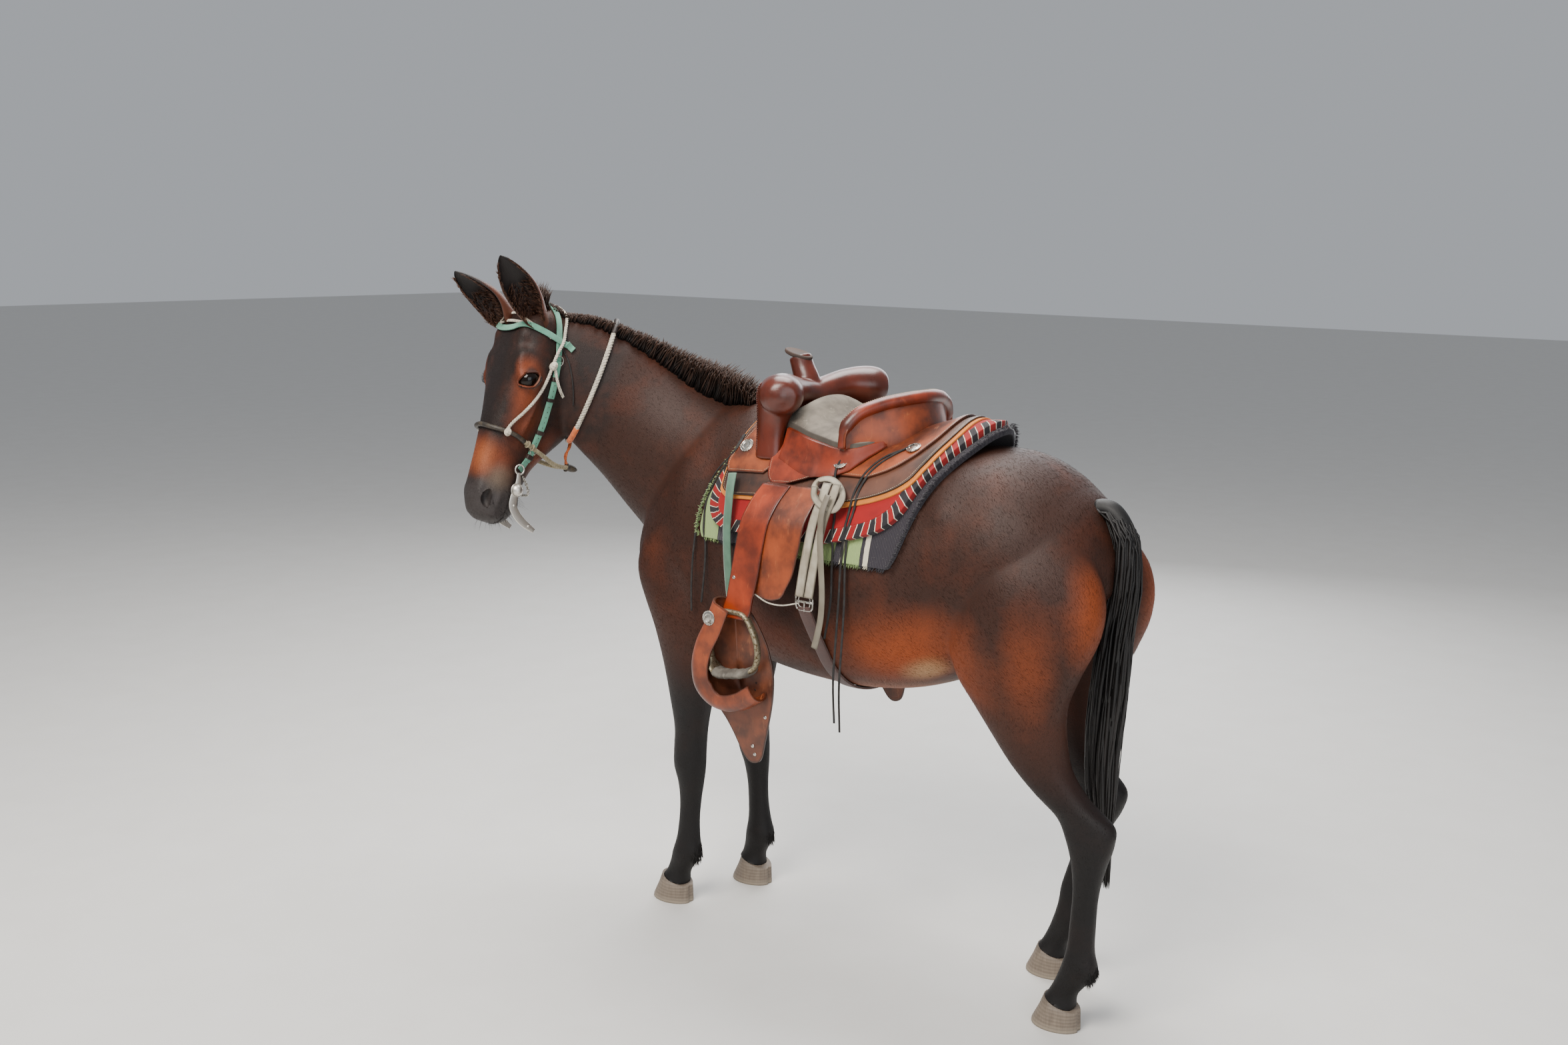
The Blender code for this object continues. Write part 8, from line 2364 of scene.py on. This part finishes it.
def latigo_loop(side, look):
    """The white leather half hitch at the top of the latigo."""
    path = along_points([(side * x, y, z) for x, y, z in LOOP], 70)
    outs = path - np.array((side * 0.12, 0.075, 1.15))
    return strip("latigo loop " + ("left" if side > 0 else "right"), path, outs, 0.0165, 0.0038, look, 0.0006)


def seat_side(side, hide, look):
    """The leather that edges the seat and curves down onto the jockey beside it."""
    rows = (
        (-0.120, 1.438, 0.128, 1.380), (-0.080, 1.430, 0.140, 1.376), (-0.045, 1.402, 0.150, 1.369), (0.010, 1.392, 0.161, 1.360),
        (0.070, 1.394, 0.173, 1.354), (0.110, 1.403, 0.166, 1.354), (0.140, 1.408, 0.136, 1.359), (0.160, 1.410, 0.112, 1.362),
    )
    rear_start, rear_end, least = 0.0, 0.115, 0.10
    outer, inner = [], []
    for y, top, half, edge in curve_through(rows, 40).tolist():
        line, under = [], []
        for share in (0.74, 0.78, 0.84, 0.90, 0.96, 1.0):
            height = top - (top - edge) * share**2.0
            line.append((side * half * share, y, height + 0.0014))
            under.append((side * half * share * 0.995, y, height - 0.0020))
        drop = line[-1][2]
        narrow = 1.0 - (1.0 - least) * min(1.0, max(0.0, (y - rear_start) / (rear_end - rear_start)))
        for reach, share in ((0.006, 0.28), (0.012, 0.62), (0.019, 0.88), (0.027, 0.98), (0.034, 1.0)):
            x = side * (half + reach * narrow)
            spot, normal, _, _ = hide.tree.ray_cast(Vector((x, y, 2.0)), Vector((0.0, 0.0, -1.0)))
            low = spot + normal * (0.0556 - 0.0022 * (share == 1.0) + tent(y, 30))
            line.append((low.x, low.y, drop + (low.z - drop) * share))
            under.append((low.x - side * 0.003, low.y, drop + (low.z - drop) * share - 0.0022))
        outer.append(line)
        inner.append(under)
    return slab("seat side " + ("left" if side > 0 else "right"), outer, inner, look, 0.0008)


def cantle_roll(look, pale):
    """The dark rolled binding along the cantle's rim, with a pale line of stitches on top."""
    rim = along_points(list(CANTLE_RIM) + [(-x, y, z) for x, y, z in reversed(CANTLE_RIM[:-1])], 91)
    foot = along_points(list(CANTLE_FOOT) + [(-x, y, z) for x, y, z in reversed(CANTLE_FOOT[:-1])], 91)
    path, outs = [], []
    for top, low in zip(rim, foot):
        top, low = Vector(top), Vector(low)
        back = Vector((top.x * 0.45, 0.20, 0.02)).normalized()
        path.append(tuple(low + (top - low) * 0.950 - back * 0.002))
        outs.append(tuple((top - low).normalized()))
    taper = np.clip(np.minimum(np.arange(91), np.arange(91)[::-1]) / 9, 0.55, 1.0)
    roll = tube("cantle roll", path, 0.0188 * taper, look, 24, False, 0.86, np.asarray(outs))
    line = np.asarray(path) + np.asarray(outs) * (0.0164 * taper)[:, None]
    seam = dashes("cantle seam", [(line, np.asarray(outs))], pale, 0.0060, 0.0044, 0.0013)
    turn = Matrix.Rotation(math.radians(-6.0), 4, "Z")
    roll.data.transform(turn)
    seam.data.transform(turn)
    return roll, seam


SEED = 41
NODE_SETS = {
    "skin": ("head", "neck", "torso", "leg_front_left", "leg_front_right", "leg_hind_left", "leg_hind_right"),
}

camera_and_stage()
chance = np.random.default_rng(SEED)

SKIN = full_skin()
HIDE = Hide(SKIN)

# Looks
coat = coat_look("coat")
tuft_coat = coat_look("coat tufts", True)
ear_coat = ear_look()
mane_hair = hair_look("mane hair", rgb(14, 10, 9), rgb(60, 40, 30), 0.5)
tail_hair = hair_look("tail hair", rgb(8, 6, 6), rgb(20, 14, 12), 0.52)
dark_hair = hair_look("dark hair", rgb(14, 10, 10), rgb(30, 21, 18), 0.45)
ear_tuft = hair_look("ear tuft hair", rgb(46, 27, 19), rgb(84, 52, 34), 0.55)
chestnut = leather_look("chestnut leather", rgb(142, 48, 16), rgb(82, 27, 11), rgb(176, 84, 40), 0.40, True, 0.12, 0.35)
tan_leather = leather_look("tan leather", rgb(146, 68, 30), rgb(62, 27, 13), rgb(188, 110, 58), 0.44, True, 0.1, 0.4)
orange_leather = leather_look("orange leather", rgb(142, 62, 24), rgb(74, 31, 13), rgb(180, 106, 58), 0.42, True, 0.12, 0.4)
skirt_leather = leather_look("skirt leather", rgb(88, 50, 32), rgb(42, 25, 18), rgb(136, 92, 64), 0.5, True, 0.1, 0.4)
oiled = leather_look("oiled leather", rgb(148, 52, 17), rgb(86, 29, 11), rgb(178, 84, 38), 0.36, True, 0.2, 0.35)
dark_leather = leather_look("dark leather", rgb(50, 33, 26), rgb(24, 17, 15), rgb(104, 80, 66), 0.5, False, 0.0)
inner_leather = leather_look("hood inner leather", rgb(116, 62, 38), rgb(62, 34, 24), rgb(160, 108, 74), 0.46, True, 0.1, 0.4)
suede = leather_look("suede", rgb(122, 114, 102), rgb(80, 73, 65), rgb(160, 152, 138), 0.92, True, 0.0)
wrap_leather = leather_look("wrap leather", rgb(128, 122, 112), rgb(72, 66, 60), rgb(168, 160, 148), 0.85, False, 0.0)
white_leather = leather_look("white latigo", rgb(184, 176, 158), rgb(132, 122, 104), rgb(208, 200, 184), 0.6, True, 0.0)
chestnut_plain = leather_look("plain chestnut leather", rgb(130, 44, 15), rgb(66, 23, 10), rgb(170, 80, 38), 0.40, False, 0.14, 0.3)
cap_leather = leather_look("cap leather", rgb(66, 48, 39), rgb(38, 28, 24), rgb(104, 84, 70), 0.78, False, 0.0, 0.4)
bright = metal_look("bit silver", rgb(206, 202, 194), rgb(150, 142, 128), 0.42, 0.62)
silver = metal_look("worn silver", rgb(196, 192, 184), rgb(96, 86, 74), 0.26)
iron = metal_look("worn iron", rgb(150, 140, 118), rgb(92, 74, 48), 0.5)
green = cloth_look("green webbing", rgb(92, 150, 126), rgb(62, 112, 94), 0.0016, 0.72, 0.0004)
rust = cloth_look("rust strap", rgb(66, 33, 24), rgb(42, 22, 18), 0.0018, 0.8, 0.0004)
pale_cord = cord_look("white cord", rgb(196, 188, 172), rgb(150, 140, 122))
orange = cord_look("orange cord", rgb(206, 104, 48), rgb(150, 70, 34))
khaki = cord_look("khaki rope", rgb(150, 138, 108), rgb(104, 92, 68))
black_cord = plain_cord_look("black string", rgb(22, 20, 20), rgb(40, 36, 34))
thread = plain_cord_look("pale thread", rgb(206, 190, 160), rgb(160, 140, 110))
rawhide = plain_cord_look("dark rawhide", rgb(40, 34, 28), rgb(70, 60, 46), 0.5)
felt, blanket_cloth, horny = felt_look(), blanket_look(), horn_look()
lining_felt = cloth_look("yellow lining felt", rgb(214, 122, 0), rgb(186, 98, 0), 0.0030, 0.92, 0.0010)
nylon = cloth_look("green nylon strap", rgb(78, 112, 92), rgb(54, 84, 68), 0.0016, 0.6, 0.0004)

# The saddle and its cloths
blanket = draped("blanket", HIDE, both_sides(BLANKET), 84, 66, -0.003, 0.0120, blanket_cloth, tent,
                 0.003, lambda y, d: 0.0012 * math.sin(y * 34 + d * 0.11) * min(1.0, abs(d) / 30))
placed(blanket, "blanket", "saddle_blanket")
pad = draped("pad", HIDE, both_sides(PAD), 78, 66, 0.0123, 0.0300, felt, tent, 0.004,
             lambda y, d: 0.0010 * math.sin(y * 21 + d * 0.17) * min(1.0, abs(d) / 30))
placed(pad, "felt", "saddle_pad")
wider = [(0, SKIRT[0][1] - 0.008, SKIRT[0][2] + 0.010)] + [(a + 1.9 * a / 57.5, f - 0.008, r + 0.010) for a, f, r in SKIRT[1:]]
lining = draped("skirt_lining", HIDE, both_sides(wider), 64, 60, 0.0303, 0.0354, lining_felt, tent, 0.0012)
placed(lining, "felt")
skirt = draped("skirt", HIDE, both_sides(SKIRT), 64, 60, 0.0356, 0.0405, skirt_leather, tent, 0.0012)
placed(skirt, "leather", "saddle_skirt")
rear_jockey = draped("rear_jockey", HIDE, both_sides(REAR_JOCKEY), 46, 40, 0.0413, 0.0478, tan_leather, tent, 0.0012)
placed(rear_jockey, "leather", "rear_jockey")
stitches = []
for name, edges in (("skirt", ("left", "right", "first", "last")), ("rear_jockey", ("right", "first", "last"))):
    for edge in edges:
        stitches.append(grid_line(name, edge))
for word, side in (("left", 1), ("right", -1)):
    for name, rows, low, high, look in (("seat_jockey", SEAT_JOCKEY, 0.0483, 0.0530, chestnut), ("front_jockey", FRONT_JOCKEY, 0.0413, 0.0470, tan_leather)):
        sheet_rows = sorted((side * r[0], *r[1:]) for r in rows)
        made = draped(f"{name}_{word}_look", HIDE, sheet_rows, 40, 36, low, high, look, tent, 0.0012)
        placed(made, "leather", f"{name}_{word}")
        for edge in ("last" if side > 0 else "first", "left", "right"):
            stitches.append(grid_line(f"{name}_{word}_look", edge))
    fender = hanging(f"fender_{word}_look", side, FENDER, 0.0048, 60, 30, orange_leather, 0.002, 0.0012)
    placed(fender, "leather", f"fender_{word}")
    strap = hanging(f"strap_{word}_look", side, STRAP, 0.0066, 60, 14, oiled, 0.0008, 0.0014)
    placed(strap, "oiled_leather", f"stirrup_strap_{word}")
    for part, rows in (("front", LATIGO_FRONT), ("rear", LATIGO_REAR)):
        made = hanging(f"latigo_{part}_{word}_look", side, rows, 0.0038, 50, 8, white_leather, 0.0004, 0.0008)
        placed(made, "white_strap", f"latigo_{part}_{word}")
    placed(buckle(side, silver), "steel", f"cinch_buckle_{word}")
FORK = saddle_fork(chestnut)
laces = lacing(oiled)
placed(FORK, "leather", "saddle_fork")
placed(laces, "oiled_leather")
placed(horn_cap(cap_leather), "leather")
placed(saddle_seat(HIDE, suede), "suede", "saddle_seat")
placed(saddle_cantle(orange_leather), "leather", "saddle_cantle")
for made in cantle_roll(chestnut_plain, thread):
    placed(made, "leather")
for side in (1, -1):
    made = placed(seat_side(side, HIDE, chestnut_plain), "leather")
    stitches.append(grid_line("seat side " + ("left" if side > 0 else "right"), "left"))
    placed(latigo_loop(side, white_leather), "white_strap")
for word, side in (("left", 1), ("right", -1)):
    for name, (y, degrees, lift) in CONCHOS.items():
        spot = HIDE.over(y, side * degrees, lift)
        ahead = HIDE.over(y + 0.02, side * degrees, lift) - HIDE.over(y - 0.02, side * degrees, lift)
        down = HIDE.over(y, side * (degrees + 3), lift) - HIDE.over(y, side * (degrees - 3), lift)
        out = ahead.cross(down)
        if out.z < 0:
            out = -out
        placed(concho(f"concho_{name}_{word} dressed", spot + out.normalized() * tent(y, degrees), out, silver), "steel", f"concho_{name}_{word}")
STITCHES = dashes("saddle stitches", stitches, thread)
placed(STITCHES, "white_cord")

# Worn fringe along the blanket's edges
roots, ways, outs = [], [], []
for edge, amount in (("first", 700), ("last", 700), ("left", 900), ("right", 900)):
    path, away = grid_line("blanket", edge, 0)
    inner, _ = grid_line("blanket", edge, 2)
    for pick in chance.integers(0, len(path) - 1, amount):
        share = chance.random()
        roots.append(path[pick] * (1 - share) + path[pick + 1] * share - away[pick] * chance.uniform(0.001, 0.013))
        ways.append(path[pick] - inner[pick])
        outs.append(away[pick])
placed(brushes("blanket_fringe", blanket_cloth, chance, roots, ways, outs, 0.0095, 0.28, 0.0026, 0.1, 3), "blanket")

# Strings and straps that hang free
for name, points in STRINGS:
    lace(name.replace(" ", "_"), points, 0.0030, black_cord, "leather")
lace("latigo_tail", LATIGO_TAIL, 0.0085, white_leather, "white_strap", squash=0.26)
lace("green_strap", GREEN_STRAP, 0.0125, nylon, "green_webbing", squash=0.16)
placed(tube("hood_tie", [Vector(p) for p in along_points(((0.3440, -0.083, 0.983), (0.3450, -0.042, 0.967), (0.3440, 0.000, 0.966), (0.3330, 0.042, 0.976)), 30)],
            0.0018, pale_cord, 8), "white_cord")

# Stirrups and their hoods
bow = stirrup(iron)
foot = tread(wrap_leather)
inside_sheet, band = hood_sheet(inner_leather), hood_band(orange_leather)
for word, side in (("left", 1), ("right", -1)):
    for name, source, slot, nodes in (("stirrup", bow, "worn_iron", (f"stirrup_{word}",)), ("tread", foot, "hood_leather", ()),
                                      ("hood sheet", inside_sheet, "hood_leather", (f"tapadero_{word}",)), ("hood band", band, "hood_leather", ())):
        if side > 0:
            made = source.copy()
            made.data = source.data.copy()
            made.name = f"{name} {word}"
            bpy.context.scene.collection.objects.link(made)
        else:
            made = mirrored(source, f"{name} {word}")
        placed(made, slot, *nodes)
for source in (bow, foot, inside_sheet, band):
    bpy.data.objects.remove(source)
for word, side in (("left", 1), ("right", -1)):
    out = Vector((side, 0.0, 0.0))
    placed(concho(f"hood_concho_{word}", Vector((side * 0.3925, -0.184, 0.915)), out, silver), "steel")
    spots = [(side * 0.3355, -0.080, 0.572), (side * 0.3355, -0.087, 0.592), (side * 0.3355, -0.050, 0.673), (side * 0.3545, -0.137, 1.017)]
    placed(rivets(f"hood_rivets_{word}", spots, [out] * 4, 0.0048, silver), "steel")
    holes = [(side * 0.3352, -0.079, 0.756), (side * 0.3352, -0.082, 0.738)]
    placed(rivets(f"hood_holes_{word}", holes, [out] * 2, 0.0026, dark_leather), "leather")
placed(cinch(rust), "webbing", "cinch")

# The bridle and the ropes
placed(headstall(green), "green_webbing", "headstall")
placed(headstall_holes(dark_leather), "leather")
for word, side in (("left", 1), ("right", -1)):
    placed(bit(side, bright), "steel", f"bit_{word}")
placed(curb_chain(silver), "steel", "curb_chain")
keepers, hooks = [], []
for low, high, side in ((1, 0, 1), (0, 1, -1)):
    for share, tall in ((0.7475, 0.012), (0.80, 0.010), (0.89, 0.012), (0.9575, 0.013)):
        place = share if side > 0 else 1 - share
        keepers.append(keeper_round("keeper", crown_path(), place, 0.0215, tall, None))
    hooks.append(wire_hook(on_head(0.101, -0.100, side * 0.099), side, 0.0125, None))
    hooks.append(wire_hook(on_head(0.342, -0.131, side * 0.054), side, 0.0115, None))
placed(joined("keepers", keepers, dark_leather), "leather")
placed(joined("hooks", hooks, silver), "steel")
for word, side in (("left", 1), ("right", -1)):
    string = [(0.062, -0.100, 0.101), (0.086, -0.122, 0.109), (0.122, -0.146, 0.112), (0.160, -0.168, 0.108), (0.192, -0.186, 0.100)]
    spots, _ = on_skin(HIDE, [on_head(a, b, side * c) for a, b, c in string], 50, 0.0026)
    placed(tube(f"cheek_string_{word}", spots, 0.0019, black_cord, 8), "leather")
nose, nose_wraps = bosal(rawhide, khaki)
placed(nose, "rawhide", "bosal")
placed(nose_wraps, "rawhide")
placed(hanger(pale_cord), "white_cord", "hanger_cord")
placed(brow_cords(pale_cord), "white_cord", "brow_cord")
neck_loop = rope("neck rope dressed", neck_rope_path(120), 0.0068, pale_cord, 3, 0.026, True)
placed(neck_loop, "white_cord", "neck_rope")
loop = neck_rope_path(240)
for name, low, high, look, slot in (("rope_wrap_top", 0, 12, dark_leather, "leather"), ("rope_wrap_low", 102, 117, orange, "orange_cord")):
    placed(tube(name, loop[low:high], 0.0079, look, 16), slot)
placed(orange_cords(orange), "orange_cord", "fiador")

# The animal
placed(mane(HIDE, mane_hair, chance), "hair", "mane")
strands, dock = tail(tail_hair, chance)
placed(strands, "hair", "tail")
placed(dock, "hair")
for word, side in (("left", 1), ("right", -1)):
    placed(ear(side, ear_coat), "coat", f"ear_{word}")
    placed(ear_hair(side, ear_tuft, chance), "coat")
    placed(ball(f"eyeball {word}", eye_place(side), (EYE_RADIUS * 1.12, EYE_RADIUS, EYE_RADIUS), eye_look(side), 64, 40, eye_turn(side)), "eye", f"eye_{word}")
    placed(lids(side, coat), "coat")
    placed(lashes(side, dark_hair, chance), "hair")
for word in HOOVES:
    placed(hoof(word, horny), "horn", f"hoof_{word}")
roots, ways, outs = [], [], []
for _ in range(620):
    spot, normal = HIDE.near(on_head(-0.040 + chance.normal(0, 0.010), -0.040, chance.normal(0.018, 0.018)), -0.002)
    roots.append(spot)
    ways.append(0.6 * normal + Vector((0.0, 0.30, 0.75)))
    outs.append(normal)
placed(brushes("poll_tuft", mane_hair, chance, roots, ways, outs, 0.052, 0.15, 0.0056, 0.15), "hair")
roots, ways, outs = [], [], []
for _ in range(150):
    side = chance.choice((1, -1))
    spot, normal = HIDE.near(on_head(chance.uniform(0.470, 0.560), chance.uniform(-0.165, -0.070), side * chance.uniform(0.010, 0.060)), -0.0015)
    roots.append(spot)
    ways.append(normal + 0.5 * head_way(1, -0.4, 0))
    outs.append(normal)
placed(brushes("whiskers", dark_hair, chance, roots, ways, outs, 0.026, 0.14, 0.0008, 0.2), "hair")
roots, ways, outs = [], [], []
for toe, heel, x in HOOVES.values():
    for _ in range(220):
        spot, normal = HIDE.near(Vector((x + chance.normal(0, 0.018), heel + 0.05, chance.uniform(0.105, 0.185))), -0.002)
        roots.append(spot)
        ways.append(Vector((0.0, 0.16, -1.0)) + 0.15 * normal)
        outs.append(normal)
placed(brushes("feather", tail_hair, chance, roots, ways, outs, 0.018, 0.07, 0.0022, 0.1), "hair")
dressed_skin(SKIN, HIDE, coat)


def uncovered(centres):
    """Where tufts may grow: not under the saddle's cloths and not within 0.10 of the floor."""
    y, z = centres[:, 1], centres[:, 2]
    angle = np.degrees(np.arctan2(np.abs(centres[:, 0]), z - 1.05))
    covered = (y > -0.26) & (y < 0.26) & (angle < 76)
    return ~covered & (z > 0.10)


def on_the_head(centres):
    local = centres @ np.asarray(TO_HEAD)[:3, :3].T + np.asarray(TO_HEAD)[:3, 3]
    return (local[:, 0] > -0.08) & (local[:, 1] > -0.26) & (np.abs(local[:, 2]) < 0.17) & (centres[:, 2] > 1.0)


def front_coat(centres):
    return uncovered(centres) & (centres[:, 1] < -0.20) & (centres[:, 2] > 0.75) & ~on_the_head(centres)


def rear_coat(centres):
    return uncovered(centres) & (centres[:, 1] > -0.20) & (centres[:, 2] > 0.75)


coats = []
for name, count, long, keep, rise, wide in (
    ("coat tufts head", 42000, 0.0085, on_the_head, 0.035, 0.0008),
    ("coat tufts front", 44000, 0.015, front_coat, 0.035, 0.0011),
    ("coat tufts rear", 48000, 0.016, rear_coat, 0.035, 0.0011),
    ("coat tufts legs", 40000, 0.011, lambda c: uncovered(c) & (c[:, 2] < 0.75), 0.035, 0.0009),
):
    coats.append(coat_tufts(name, SKIN, count, long, tuft_coat, chance, keep, rise, wide))
placed(SKIN, "coat", *NODE_SETS["skin"])
for made in coats:
    placed(made, "coat")
